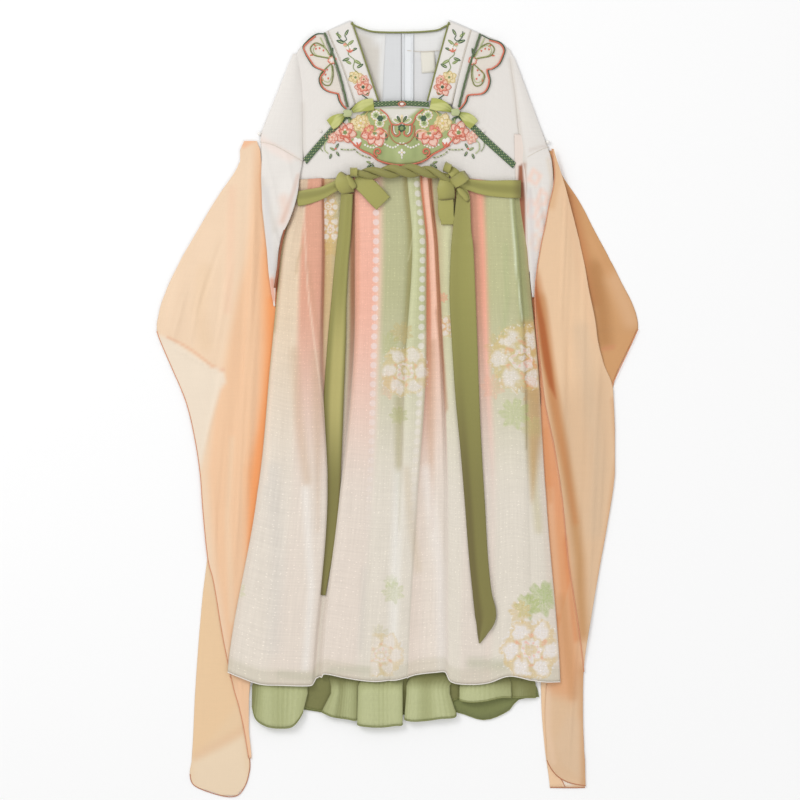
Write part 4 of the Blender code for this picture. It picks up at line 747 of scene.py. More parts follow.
# painted shade: dark rust on the lining strip, in the gap beside the right armhole
RIGHT_GAP_SHADE = (
    Field(((224, 448), (231, 451), (236, 385), (237, 307), (229, 307), (221, 385)), 2.22, dye(150, 84, 48),
          0.95),)
SHOULDER_SEAMS = {"left": ((-254, 492), (-227, 485), (-177, 457)),
                  "right": ((280, 483), (264, 477), (240, 464))}
# ---------------------------------------------------------------- prints of the skirt
DOT_COLUMNS = (12.45, 17.6)                # places along the row of folds
PRINT_PATCHES = (                          # from fold, to fold, top, end, strength
    (13.0, 20.0, 170, -40, 0.75), (24.0, 33.0, 170, -60, 0.8), (27.0, 33.0, -310, -520, 1.0),
    (13.5, 19.5, -300, -520, 0.65), (6.3, 7.8, 420, 120, 0.8), (23.5, 25.5, 420, 20, 0.8),
    (0.0, 1.2, -250, -480, 0.7))
ROUNDELS = ((14, 68, 46), (230, 92, 62), (247, -447, 56), (-30, -456, 42), (96, 150, 22), (-124, 330, 24),
            (-128, 372, 20))
SPRAYS = (                                 # x, y, radius, dye and strength
    (268, -352, 34, dye(172, 186, 122), 0.7), (240, -366, 26, dye(178, 188, 120), 0.6),
    (226, -376, 22, dye(214, 186, 120), 0.55), (284, -340, 26, dye(176, 190, 130), 0.6),
    (-8, -340, 22, dye(184, 192, 130), 0.6), (-12, -320, 14, dye(184, 196, 136), 0.5),
    (-36, -420, 22, dye(196, 190, 150), 0.6), (-28, -482, 15, dye(188, 178, 130), 0.6),
    (8, 140, 22, dye(196, 172, 112), 0.65), (-18, 118, 24, dye(172, 176, 112), 0.55),
    (-20, 44, 28, dye(232, 174, 142), 0.45), (2, -14, 18, dye(172, 176, 108), 0.6),
    (190, 112, 30, dye(206, 180, 120), 0.5), (176, 40, 24, dye(236, 176, 146), 0.45),
    (236, 150, 26, dye(204, 180, 116), 0.5), (250, 96, 28, dye(196, 166, 112), 0.7),
    (252, 36, 28, dye(200, 164, 112), 0.65), (244, 84, 12, dye(222, 124, 92), 0.9),
    (246, 48, 12, dye(222, 124, 92), 0.9), (216, -10, 30, dye(176, 190, 116), 0.6),
    (252, -40, 26, dye(190, 184, 124), 0.5), (84, 204, 10, dye(236, 150, 124), 0.7),
    (88, 152, 16, dye(236, 160, 134), 0.6), (-118, 300, 22, dye(212, 178, 104), 0.6),
    (-300, -338, 20, dye(196, 204, 140), 0.5))


# ---------------------------------------------------------------- curves and heights
def smooth_step(value: float) -> float:
    """Give 0 below 0, 1 above 1 and a soft turn between them."""
    value = min(max(value, 0.0), 1.0)
    return value * value * (3.0 - 2.0 * value)


def blend(first: Colour, second: Colour, share: float) -> Colour:
    """Mix two colours; share is how much of the second there is."""
    share = min(max(share, 0.0), 1.0)
    return tuple(a + (b - a) * share for a, b in zip(first, second))


def bend(before: Knot, start: Knot, end: Knot, after: Knot, t: float) -> Knot:
    """Give the Catmull-Rom value between start and end, for numbers and for vectors."""
    return 0.5 * ((2.0 * start) + (end - before) * t
                  + (2.0 * before - 5.0 * start + 4.0 * end - after) * t * t
                  + (3.0 * start - before - 3.0 * end + after) * t * t * t)


def at_level(levels: Sequence[float], values: Sequence[float], y: float) -> float:
    """Read a smooth value from a column of a table.

    Args:
        levels: Heights of the table's rows, falling from top to bottom.
        values: The column's value in each row.
        y: Height that is asked for.

    Returns:
        The value at that height, held at the ends of the table.
    """
    last = len(levels) - 1
    if y >= levels[0]:
        return float(values[0])
    if y <= levels[last]:
        return float(values[last])
    k = next(i for i in range(last) if levels[i] >= y >= levels[i + 1])
    t = (levels[k] - y) / (levels[k] - levels[k + 1])
    before = values[max(k - 1, 0)]
    after = values[min(k + 2, last)]
    value = bend(before, values[k], values[k + 1], after, t)
    low = min(values[k], values[k + 1])
    high = max(values[k], values[k + 1])
    return min(max(value, low), high) if before != after else value


def spline(points: Sequence[Sequence[float]], steps: int) -> list[Vector]:
    """Draw a smooth curve through points.

    Args:
        points: Places that the curve goes through.
        steps: Steps between each place and the next.

    Returns:
        Points on the curve.
    """
    vectors = [Vector(p) for p in points]
    last = len(vectors) - 1
    path = []
    for k in range(last):
        before = vectors[max(k - 1, 0)]
        after = vectors[min(k + 2, last)]
        path += [bend(before, vectors[k], vectors[k + 1], after, i / steps) for i in range(steps)]
    path.append(vectors[last])
    return path


def flat_spline(points: Sequence[Point], steps: int = 8) -> list[Vector]:
    """Draw a smooth curve through flat points."""
    return spline([(p[0], p[1], 0.0) for p in points], steps)


def runs_of(path: Sequence[Vector]) -> list[float]:
    """Give how far along a path each of its points is."""
    runs = [0.0]
    for a, b in zip(path, path[1:]):
        runs.append(runs[-1] + (b - a).length)
    return runs


def even(path: Sequence[Vector], count: int) -> list[Vector]:
    """Space points evenly along a path.

    Args:
        path: Points of the path.
        count: Number of equal steps.

    Returns:
        count + 1 points.
    """
    runs = runs_of(path)
    places = []
    k = 0
    for i in range(count + 1):
        goal = runs[-1] * i / count
        while k < len(path) - 2 and runs[k + 1] < goal:
            k += 1
        span = max(runs[k + 1] - runs[k], TINY)
        places.append(path[k].lerp(path[k + 1], min(max((goal - runs[k]) / span, 0.0), 1.0)))
    return places


def along(points: Sequence[Point], count: int) -> list[Vector]:
    """Give count equal steps along the smooth curve through flat points."""
    return even(flat_spline(points), count)


def row_at(rows: Sequence[Row], y: float) -> Point:
    """Give the left and right edge of a table of rows at height y."""
    levels = [row.y for row in rows]
    return (at_level(levels, [row.left for row in rows], y),
            at_level(levels, [row.right for row in rows], y))


def crease_height(creases: Sequence[Crease], x: float, y: float) -> float:
    """Give the height that a list of soft ridges adds at a place."""
    total = 0.0
    for crease in creases:
        t = (crease.y_top - y) / (crease.y_top - crease.y_end)
        if 0.0 < t < 1.0:
            centre = crease.x_top + (crease.x_end - crease.x_top) * t
            reach = abs(x - centre) / (2.0 * crease.width)
            if reach < 1.0:
                total += crease.height * sin(pi * t) ** 0.5 * (0.5 + 0.5 * cos(pi * reach))
    return total


def bodice_height(x: float, y: float) -> float:
    """Give the underside of the front bodice: low at its sides and shoulders, high at its middle."""
    left = at_level(BODICE_LEVELS, BODICE_LEFT, y)
    right = at_level(BODICE_LEVELS, BODICE_RIGHT, y)
    u = min(abs(x - 0.5 * (left + right)) / (0.5 * (right - left)), 1.0)
    shoulder = TOP_LIMIT - SHOULDER_SLOPE * max(abs(x - NECK_MIDDLE) - NECK_REACH, 0.0)
    off_shoulder = smooth_step((shoulder - y) / SHOULDER_RUN)
    return LAYER + FRONT_EASE + BODICE_RISE * (1.0 - u ** 4) * off_shoulder


def over_bodice(x: float, y: float) -> float:
    """Give the underside of a trim that is sewn on the front bodice."""
    return bodice_height(x, y) + CLOTH + SEAM + TRIM_EASE


def on_surface(x: float, y: float) -> float:
    """Give the underside of a piece that lies on the surface under the robe."""
    return 0.0


def on_back(x: float, y: float) -> float:
    """Give the underside of a piece that lies inside the robe on its back."""
    return LAYER


def laid(points: Sequence[Vector], height: Height, rise: float = 0.0) -> list[Vector]:
    """Lift flat points onto a height.

    Args:
        points: Places, of which only x and y are read.
        height: Height at a place.
        rise: How far they lie over it.

    Returns:
        The lifted points.
    """
    return [Vector((p.x, p.y, height(p.x, p.y) + rise)) for p in points]


# ---------------------------------------------------------------- grids of points
def band_grid(rows: Sequence[Row], columns: int, splits: int, lower: Height) -> Grid:
    """Lay a grid between the left and right edges of a table.

    Args:
        rows: The table, from top to bottom.
        columns: Steps across.
        splits: Steps between each row and the next.
        lower: Height of the cloth's underside.

    Returns:
        Rows of points from top to bottom.
    """
    heights = []
    for a, b in zip(rows, rows[1:]):
        heights += [a.y + (b.y - a.y) * k / splits for k in range(splits)]
    heights.append(rows[-1].y)
    grid = []
    for y in heights:
        left, right = row_at(rows, y)
        xs = [left + (right - left) * i / columns for i in range(columns + 1)]
        grid.append([Vector((x, y, lower(x, y))) for x in xs])
    return grid


def ruled_grid(upper: Sequence[Point], nether: Sequence[Point], columns: int, lines: int,
               lower: Height, sides: tuple[Sequence[Point], Sequence[Point]] | None = None) -> Grid:
    """Lay a grid between an upper and a lower curve, both from left to right.

    Args:
        upper: Places along the top edge.
        nether: Places along the bottom edge.
        columns: Steps across.
        lines: Steps down.
        lower: Height of the cloth's underside.
        sides: Left and right edge, from top to bottom, where they are curved.

    Returns:
        Rows of points from top to bottom.
    """
    first = along(upper, columns)
    second = along(nether, columns)
    edges = [along(side, lines) for side in sides or ()]
    grid = []
    for j in range(lines + 1):
        v = j / lines
        pulls = [edge[j] - first[end].lerp(second[end], v) for edge, end in zip(edges, (0, -1))]
        left, right = pulls or (Vector((0.0, 0.0, 0.0)), Vector((0.0, 0.0, 0.0)))
        spots = [a.lerp(b, v) + left.lerp(right, i / columns) for i,
                 (a, b) in enumerate(zip(first, second))]
        grid.append(laid(spots, lower))
    return grid


def strap_grid(stations: Sequence[Station], steps: int, across: int, crown: float = 0.0,
               ripple: Ripple | None = None) -> Grid:
    """Lay a grid along a flat strap.

    Args:
        stations: Centres and half widths along the strap.
        steps: Steps between each station and the next.
        across: Steps across its width.
        crown: How far the middle of its width is lifted.
        ripple: Its creases.

    Returns:
        Rows of points along the strap.
    """
    path = spline([(s.x, s.y, s.z) for s in stations], steps)
    halves = spline([(s.half, 0.0, 0.0) for s in stations], steps)
    last = len(path) - 1
    grid = []
    for k, centre in enumerate(path):
        ahead = path[min(k + 1, last)] - path[max(k - 1, 0)]
        side = Vector((-ahead.y, ahead.x, 0.0)).normalized()
        line = []
        for i in range(across + 1):
            u = 2.0 * i / across - 1.0
            spot = centre + side * (halves[k].x * u)
            spot.z += crown * (1.0 - u * u)
            if ripple:
                spot.z += ripple(k / last, u)
            line.append(spot)
        grid.append(line)
    if (grid[1][0] - grid[0][0]).cross(grid[0][-1] - grid[0][0]).z < 0.0:
        grid = [line[::-1] for line in grid]
    return grid


class Cut(NamedTuple):
    """Flat size of a cloth in millimetres and square metres."""

    width: float
    length: float
    area: float


def cut_of(grid: Grid) -> Cut:
    """Measure what a cloth was cut to: its widest row, its longest column and its area."""
    width = max(runs_of(line)[-1] for line in grid)
    length = max(runs_of(column)[-1] for column in zip(*grid))
    area = 0.0
    for upper, nether in zip(grid, grid[1:]):
        for a, b, c, d in zip(upper, upper[1:], nether, nether[1:]):
            area += 0.5 * ((b - a).cross(c - a).length + (d - b).cross(d - c).length)
    return Cut(width, length, area * MM * MM)


# ---------------------------------------------------------------- finishes
def set_inputs(node: bpy.types.Node, values: dict[str, float]) -> None:
    """Set a node's inputs by their names."""
    for key, value in values.items():
        node.inputs[key].default_value = value


class Nodes:
    """Short way of writing a node tree."""

    def __init__(self, tree: bpy.types.NodeTree) -> None:
        """Keep the tree that nodes are added to."""
        self.tree = tree

    def add(self, kind: str, **settings: object) -> bpy.types.Node:
        """Add a node of a kind with its settings."""
        node = self.tree.nodes.new(kind)
        for key, value in settings.items():
            setattr(node, key, value)
        return node

    def link(self, source: Socket, target: Socket) -> None:
        """Join two sockets."""
        self.tree.links.new(source, target)

    def math(self, operation: str, *values: Socket | float) -> Socket:
        """Add a Math node.

        Args:
            operation: Blender's name of the operation.
            values: Sockets or numbers that it works on.

        Returns:
            The node's value.
        """
        node = self.add("ShaderNodeMath", operation=operation)
        for slot, value in zip(node.inputs, values):
            if isinstance(value, Socket):
                self.link(value, slot)
            else:
                slot.default_value = value
        return node.outputs[0]

    def split(self, vector: Socket) -> bpy.types.NodeOutputs:
        """Part a vector into its X, Y and Z."""
        node = self.add("ShaderNodeSeparateXYZ")
        self.link(vector, node.inputs[0])
        return node.outputs

    def length(self, across: Socket, up: Socket) -> Socket:
        """Give the length of a flat vector from its two parts."""
        square = self.math("ADD", self.math("MULTIPLY", across, across), self.math("MULTIPLY", up, up))
        return self.math("SQRT", square)

    def noise(self, vector: Socket, scale: float, detail: float = 2.0) -> Socket:
        """Give flat noise between 0 and 1.

        Args:
            vector: Place on the cloth.
            scale: Number of its spots to a unit.
            detail: Number of finer layers.

        Returns:
            The noise.
        """
        node = self.add("ShaderNodeTexNoise", noise_dimensions="2D")
        set_inputs(node, {"Scale": scale, "Detail": detail})
        self.link(vector, node.inputs["Vector"])
        return node.outputs[0]

    def multiply(self, colour: Socket, factor: Socket) -> Socket:
        """Multiply a colour by a value that changes over the surface."""
        node = self.add("ShaderNodeVectorMath", operation="SCALE")
        self.link(colour, node.inputs[0])
        self.link(factor, node.inputs["Scale"])
        return node.outputs[0]

    def over(self, below: Socket, tone: Colour, share: Socket) -> Socket:
        """Mix a dye over a colour by a share that changes over the surface."""
        mix = self.add("ShaderNodeMix", data_type="RGBA")
        self.link(share, mix.inputs[0])
        self.link(below, mix.inputs[6])
        mix.inputs[7].default_value = (*tone, 1.0)
        return mix.outputs[2]

    def soft_under(self, value: Socket, limit: float, edge: float = 14.0) -> Socket:
        """Give 1 where a value is under a limit and 0 over it, with a soft edge."""
        share = self.math("MULTIPLY_ADD", self.math("SUBTRACT", limit, value), edge, 0.5)
        share.node.use_clamp = True
        return share

    def lobes(self, turn: Socket, reach: Socket, count: int, shift: float, middle: float) -> Socket:
        """Give the distance to the nearest of some places spaced evenly round a middle.

        Args:
            turn: Direction from the middle.
            reach: Distance from the middle.
            count: How many places there are.
            shift: Turn of the first one.
            middle: Their distance from the middle.

        Returns:
            The distance.
        """
        half = pi / count
        wrapped = self.math("WRAP", self.math("ADD", turn, shift), half, -half)
        across = self.math("SUBTRACT", self.math("MULTIPLY", reach, self.math("COSINE", wrapped)), middle)
        return self.length(across, self.math("MULTIPLY", reach, self.math("SINE", wrapped)))

    def polar(self, source: bpy.types.NodeOutputs) -> tuple[Socket, Socket]:
        """Give the direction and the distance of a place from a print's middle, in its radii."""
        place = self.split(source["Vector"])
        dx = self.math("SUBTRACT", place["X"], source["Centre X"])
        dy = self.math("SUBTRACT", place["Y"], source["Centre Y"])
        return self.math("ARCTAN2", dy, dx), self.math("DIVIDE", self.length(dx, dy), source["Radius"])


def start_group(name: str, inputs: dict[str, float | None], outputs: Sequence[str]
                ) -> tuple[Nodes, bpy.types.NodeOutputs, bpy.types.NodeInputs]:
    """Start a shader node group.

    Args:
        name: Name of the group.
        inputs: Name and default of each input; None makes it a vector.
        outputs: Names of the values that it puts out.

    Returns:
        Its nodes, the sockets that come in and those that go out.
    """
    tree = bpy.data.node_groups.new(name, "ShaderNodeTree")
    for key, value in inputs.items():
        kind = "NodeSocketVector" if value is None else "NodeSocketFloat"
        socket = tree.interface.new_socket(name=key, in_out="INPUT", socket_type=kind)
        if value is not None:
            socket.default_value = value
    for key in outputs:
        tree.interface.new_socket(name=key, in_out="OUTPUT", socket_type="NodeSocketFloat")
    nodes = Nodes(tree)
    return nodes, nodes.add("NodeGroupInput").outputs, nodes.add("NodeGroupOutput").inputs


@cache
def woven_group() -> bpy.types.NodeTree:
    """Build the weave: crossing threads, slubs that run both ways, and rare pale specks."""
    nodes, source, out = start_group(
        "woven_threads", {"Vector": None, "Pitch": 0.0016, "Contrast": 0.05, "Slub": 0.05, "Specks": 0.0},
        ("Shade", "Height"))
    place = nodes.split(source["Vector"])
    turns = nodes.math("DIVIDE", tau, source["Pitch"])
    warp = nodes.math("SINE", nodes.math("MULTIPLY", place["X"], turns))
    weft = nodes.math("SINE", nodes.math("MULTIPLY", place["Y"], turns))
    threads = nodes.math("MULTIPLY", nodes.math("ADD", warp, weft), 0.5)
    slubs = []
    for across, down in SLUB_SCALES:
        stretch = nodes.add("ShaderNodeVectorMath", operation="MULTIPLY")
        nodes.link(source["Vector"], stretch.inputs[0])
        stretch.inputs[1].default_value = (across, down, 1.0)
        slubs.append(nodes.math("SUBTRACT", nodes.noise(stretch.outputs[0], 1.0), 0.5))
    slub = nodes.math("ADD", *slubs)
    dots = nodes.add("ShaderNodeTexVoronoi", voronoi_dimensions="2D", feature="F1")
    dots.inputs["Scale"].default_value = SPECK_SCALE
    nodes.link(source["Vector"], dots.inputs["Vector"])
    reach = nodes.math("MULTIPLY", nodes.split(dots.outputs["Color"])["X"], SPECK_REACH)
    near = nodes.math("LESS_THAN", dots.outputs["Distance"], reach)
    speck = nodes.math("MULTIPLY", near, source["Specks"])
    shade = nodes.math("MULTIPLY_ADD", threads, source["Contrast"], 1.0)
    shade = nodes.math("MULTIPLY_ADD", slub, source["Slub"], shade)
    nodes.link(nodes.math("ADD", shade, speck), out["Shade"])
    nodes.link(nodes.math("ADD", threads, nodes.math("MULTIPLY", slub, 2.0)), out["Height"])
    return nodes.tree


@cache
def floss_group() -> bpy.types.NodeTree:
    """Build the lie of embroidery floss: fine parallel stitches with uneven light."""
    nodes, source, out = start_group("floss_stitches", {"Vector": None, "Pitch": 0.0007, "Contrast": 0.1},
                                     ("Shade", "Height"))
    turns = nodes.math("DIVIDE", tau, source["Pitch"])
    wander = nodes.math("MULTIPLY", nodes.noise(source["Vector"], FLOSS_SCALE), 3.0)
    run = nodes.math("MULTIPLY_ADD", nodes.split(source["Vector"])["X"], turns, wander)
    ridge = nodes.math("SINE", run)
    nodes.link(nodes.math("MULTIPLY_ADD", ridge, source["Contrast"], 1.0), out["Shade"])
    nodes.link(ridge, out["Height"])
    return nodes.tree


@cache
def roundel_group() -> bpy.types.NodeTree:
    """Build a printed roundel: a lobed disc with pale petals, dots round them and a small flower."""
    nodes, source, out = start_group(
        "printed_roundel", {"Vector": None, "Centre X": 0.0, "Centre Y": 0.0, "Radius": 0.06},
        ("Ground", "Pale", "Warm"))
    turn, reach = nodes.polar(source)
    wobble = nodes.math("SUBTRACT", nodes.noise(source["Vector"], HAND_SCALE), 0.5)
    turn = nodes.math("MULTIPLY_ADD", wobble, 0.6, turn)
    reach = nodes.math("MULTIPLY_ADD", wobble, 0.42, reach)
    scallop = nodes.math("COSINE", nodes.math("MULTIPLY", turn, 6.0))
    nodes.link(nodes.soft_under(nodes.math("MULTIPLY_ADD", scallop, -0.06, reach), 0.98), out["Ground"])
    petals = nodes.soft_under(nodes.lobes(turn, reach, 6, 0.0, 0.67), 0.25, 9.0)
    dots = nodes.soft_under(nodes.lobes(turn, reach, 30, 0.0, 0.97), 0.030, 22.0)
    star = nodes.math("COSINE", nodes.math("MULTIPLY", turn, 8.0))
    flower = nodes.soft_under(nodes.math("MULTIPLY_ADD", star, -0.03, reach), 0.34)
    ring = nodes.soft_under(nodes.math("ABSOLUTE", nodes.math("SUBTRACT", reach, 0.13)), 0.05)
    stamens = nodes.soft_under(nodes.lobes(turn, reach, 8, 0.3, 0.24), 0.04, 24.0)
    berries = nodes.soft_under(nodes.lobes(turn, reach, 6, 0.52, 0.50), 0.075)
    heart = nodes.math("SUBTRACT", flower, ring)
    nodes.link(nodes.math("MAXIMUM", nodes.math("MAXIMUM", petals, dots), heart), out["Pale"])
    nodes.link(nodes.math("ADD", stamens, berries), out["Warm"])
    return nodes.tree


@cache
def spray_group() -> bpy.types.NodeTree:
    """Build a printed leaf cluster: a disc with deep round lobes and fainter veins."""
    nodes, source, out = start_group(
        "printed_leaves", {"Vector": None, "Centre X": 0.0, "Centre Y": 0.0, "Radius": 0.05}, ("Mask",))
    turn, reach = nodes.polar(source)
    lobes = nodes.math("ABSOLUTE", nodes.math("SINE", nodes.math("MULTIPLY", turn, 3.5)))
    small = nodes.math("SINE", nodes.math("MULTIPLY", turn, 13.0))
    edge = nodes.math("MULTIPLY_ADD", lobes, -0.36, reach)
    edge = nodes.math("MULTIPLY_ADD", small, -0.06, edge)
    veins = nodes.math("MULTIPLY_ADD", small, 0.14, 0.86)
    nodes.link(nodes.math("MULTIPLY", nodes.soft_under(edge, 0.62, 7.0), veins), out["Mask"])
    return nodes.tree


@dataclass(frozen=True)
class Finish:
    """What a material is made of.

    Attributes:
        name: Name of the material.
        slot: The record's material slot of the pieces that wear it; not used.
        colour: Plain colour, or None where the piece carries its own dye and painted shade in its "tint".
        roughness: Roughness of the threads.
        sheen: Weight of the soft light on the fibres.
        pitch: Distance between threads or stitches, in metres.
        contrast: How much single threads change the colour.
        slub: How much uneven yarn changes it; 0 for floss.
        relief: Height of the threads, in metres.
        specks: Brightness of pale specks in the yarn.
        cover: How much of the light the cloth stops, from 0 to 1.
        floss: True for embroidery and cords, whose stitches run one way.
        gloss: Weight of the clear coat on beads and satin.
    """

    name: str
    slot: str
    colour: Colour | None = None
    roughness: float = 0.85
    sheen: float = 0.25
    pitch: float = 0.0012
    contrast: float = 0.04
    slub: float = 0.08
    relief: float = 0.00008
    specks: float = 0.0
    cover: float = 1.0
    floss: bool = False
    gloss: float = 0.0

    def dye(self, nodes: Nodes, base: Socket) -> Socket:
        """Give the colour under the threads, which a printed cloth changes."""
        return base

    def base(self, nodes: Nodes) -> Socket:
        """Give the plain colour, or the dye and painted shade that the piece carries."""
        if self.colour is None:
            return nodes.add("ShaderNodeAttribute", attribute_name="tint").outputs["Color"]
        plain = nodes.add("ShaderNodeRGB").outputs[0]
        plain.default_value = (*self.colour, 1.0)
        return plain

    def material(self) -> bpy.types.Material:
        """Give the material, built once."""
        if self.name in bpy.data.materials:
            return bpy.data.materials[self.name]
        material = bpy.data.materials.new(self.name)
        material.use_nodes = True
        nodes = Nodes(material.node_tree)
        shader = material.node_tree.nodes["Principled BSDF"]
        set_inputs(shader, {"Roughness": self.roughness, "Sheen Weight": self.sheen, "Sheen Roughness": 0.5,
                            "Coat Weight": self.gloss, "Coat Roughness": 0.25, "Alpha": self.cover})
        weave = nodes.add("ShaderNodeGroup", node_tree=floss_group() if self.floss else woven_group())
        nodes.link(nodes.add("ShaderNodeUVMap", uv_map="cloth").outputs[0], weave.inputs["Vector"])
        set_inputs(weave, {"Pitch": self.pitch, "Contrast": self.contrast})
        if not self.floss:
            set_inputs(weave, {"Slub": self.slub, "Specks": self.specks})
        colour = self.dye(nodes, self.base(nodes))
        nodes.link(nodes.multiply(colour, weave.outputs["Shade"]), shader.inputs["Base Color"])
        bump = nodes.add("ShaderNodeBump")
        set_inputs(bump, {"Strength": 0.6, "Distance": self.relief})
        nodes.link(weave.outputs["Height"], bump.inputs["Height"])
        nodes.link(bump.outputs[0], shader.inputs["Normal"])
        return material


@dataclass(frozen=True)
class PrintedFinish(Finish):
    """Chiffon with printed dot columns, rosettes and leaf sprays."""

    def dye(self, nodes: Nodes, base: Socket) -> Socket:
        """Print the motifs over the dyed stripes.

        Args:
            nodes: The material's nodes.
            base: The dye below.

        Returns:
            The printed colour.
        """
        marks = nodes.add("ShaderNodeAttribute", attribute_name="print")
        columns = nodes.split(marks.outputs["Vector"])
        place = nodes.add("ShaderNodeTexCoord").outputs["Object"]
        colour = self.dots(nodes, base, columns, nodes.split(place)["Y"])
        worn = nodes.math("MULTIPLY_ADD", nodes.noise(place, WORN_SCALE, 3.0), 1.3, 0.28)
        ink = nodes.math("MULTIPLY", worn, marks.outputs["Alpha"])
        motifs = [(spray_group(), spot, (("Mask", tone, strength),)) for *spot, tone, strength in SPRAYS]
        motifs += [(roundel_group(), spot, ROUNDEL_INKS) for spot in ROUNDELS]
        for group, (x, y, radius), inks in motifs:
            motif = nodes.add("ShaderNodeGroup", node_tree=group)
            nodes.link(place, motif.inputs["Vector"])
            set_inputs(motif, {"Centre X": x * MM, "Centre Y": y * MM, "Radius": radius * MM})
            for part, tone, strength in inks:
                share = nodes.math("MULTIPLY", motif.outputs[part], ink)
                colour = nodes.over(colour, tone, nodes.math("MULTIPLY", share, strength))
        return colour

    def dots(self, nodes: Nodes, colour: Socket, columns: bpy.types.NodeOutputs, up: Socket) -> Socket:
        """Print the two columns of dots.

        Args:
            nodes: The material's nodes.
            colour: The dye below.
            columns: Distance from each column in millimetres, and its strength.
            up: Height of the place, in metres.

        Returns:
            The printed colour.
        """
        step = nodes.math("FRACT", nodes.math("MULTIPLY", up, 1.0 / (DOT_STEP * MM)))
        down = nodes.math("MULTIPLY", nodes.math("SUBTRACT", step, 0.5), DOT_STEP)
        for axis in ("X", "Y"):
            depth = nodes.math("SUBTRACT", DOT_RADIUS, nodes.length(columns[axis], down))
            inside = nodes.math("MULTIPLY", depth, DOT_EDGE)
            inside.node.use_clamp = True
            share = nodes.math("MULTIPLY", nodes.math("MULTIPLY", inside, columns["Z"]), DOT_STRENGTH)
            colour = nodes.over(colour, DOT_DYE, share)
        return colour


COTTON = Finish("ivory_cotton", "ivory_cloth", slub=0.05, contrast=0.02)
PLAIN_WHITE = Finish("cool_white_cotton", "zip_and_label", dye(217, 218, 219), slub=0.04, contrast=0.02)
ZIP_WHITE = Finish("zip_tape_white", "zip_and_label", dye(232, 234, 236), roughness=0.6, slub=0.02)
LABEL = Finish("bare_label", "zip_and_label", dye(230, 226, 214), slub=0.03)
SHEER = Finish("wing_organza", "sheer_trim", dye(235, 226, 214), roughness=0.6, cover=0.9)
ORGANZA = Finish("organza_weave", "peach_organza", roughness=0.5, sheen=0.15, slub=0.035, contrast=0.01,
                 cover=0.94)
SLUB_CHIFFON = Finish("slub_chiffon", "skirt_chiffon", slub=0.12, contrast=0.02, specks=0.07, relief=0.0001)
PRINTED_CHIFFON = PrintedFinish("printed_chiffon", "skirt_chiffon", slub=0.13, contrast=0.02, specks=0.2,
                                relief=0.0001)
LINING = Finish("green_lining", "green_underskirt", slub=0.16, contrast=0.03)
BELT_SATIN = Finish("belt_satin", "olive_satin", roughness=0.55, sheen=0.3, slub=0.03, gloss=0.03)
STRAND_SATIN = Finish("olive_strand", "olive_satin", OLIVE, roughness=0.5, sheen=0.3, relief=0.0002,
                      floss=True, gloss=0.04)
SHADOW_SATIN = Finish("olive_shadow", "olive_satin", dye(98, 92, 40), roughness=0.7, sheen=0.0, slub=0.03)
RIBBON = Finish("ribbon_organza", "lime_organza", roughness=0.5, slub=0.06, cover=0.9)
KNOT_RIBBON = Finish("ribbon_knot", "lime_organza", dye(182, 190, 140), roughness=0.5, slub=0.06)
BRAID = Finish("dark_braid", "dark_green_braid", dye(84, 110, 78), roughness=0.7, pitch=0.002,
               contrast=0.2, slub=0.0, relief=0.0004)
MEDALLION_SATIN = Finish("medallion_satin", "sage_satin", roughness=0.5, slub=0.05, gloss=0.05)
PEARL = Finish("pearl_lustre", "pearl", dye(240, 236, 230), roughness=0.2, sheen=0.0, contrast=0.0,
               slub=0.0, gloss=0.6)


class Thread(Enum):
    """Embroidery threads, cords and printed tints, with the colour of each."""

    CORAL = dye(226, 122, 96)
    ROSE = dye(240, 160, 138)
    BLUSH = dye(248, 208, 190)
    WHITE = dye(246, 240, 232)
    CREAM = dye(244, 226, 180)
    YELLOW = dye(232, 206, 134)
    PALE_GREEN = dye(196, 206, 152)
    LEAF = dye(138, 156, 96)
    PINE = dye(66, 96, 68)
    MOSS = dye(136, 140, 74)
    FERN = dye(92, 112, 74)
    SAND = dye(226, 216, 200)
    SILVER = dye(244, 246, 248)
    APRICOT = dye(228, 156, 116)
    RUST = dye(196, 124, 84)
    UMBER = dye(156, 90, 56)

    def finish(self, slot: str) -> Finish:
        """Give the finish of this thread, for a piece of the record's slot."""
        return Finish("thread_" + self.name.lower(), slot, self.value, roughness=0.5, sheen=0.2,
                      pitch=0.0008, contrast=0.10, relief=0.0002, floss=True)


# ---------------------------------------------------------------- making pieces
def new_piece(name: str, mesh_data: Mesh, finishes: Sequence[Finish],
              nodes: Sequence[str] = ()) -> bpy.types.Object:
    """Turn a bmesh in millimetres into a smooth object in metres, and hide the solids that it stands for.

    Args:
        name: Name of the piece.
        mesh_data: The bmesh, which is freed.
        finishes: Finish of each material index, all of one slot.
        nodes: Solid pieces that it stands for.

    Returns:
        The new object, riding on the robe.
    """
    bmesh.ops.scale(mesh_data, vec=(MM, MM, MM), verts=mesh_data.verts)
    mesh = bpy.data.meshes.new(name)
    mesh_data.to_mesh(mesh)
    mesh_data.free()
    for finish in finishes:
        mesh.materials.append(finish.material())
    mesh.shade_smooth()
    piece = bpy.data.objects.new(name, mesh)
    bpy.context.collection.objects.link(piece)
    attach(piece, "root")
    if nodes:
        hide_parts(*nodes)
    return piece


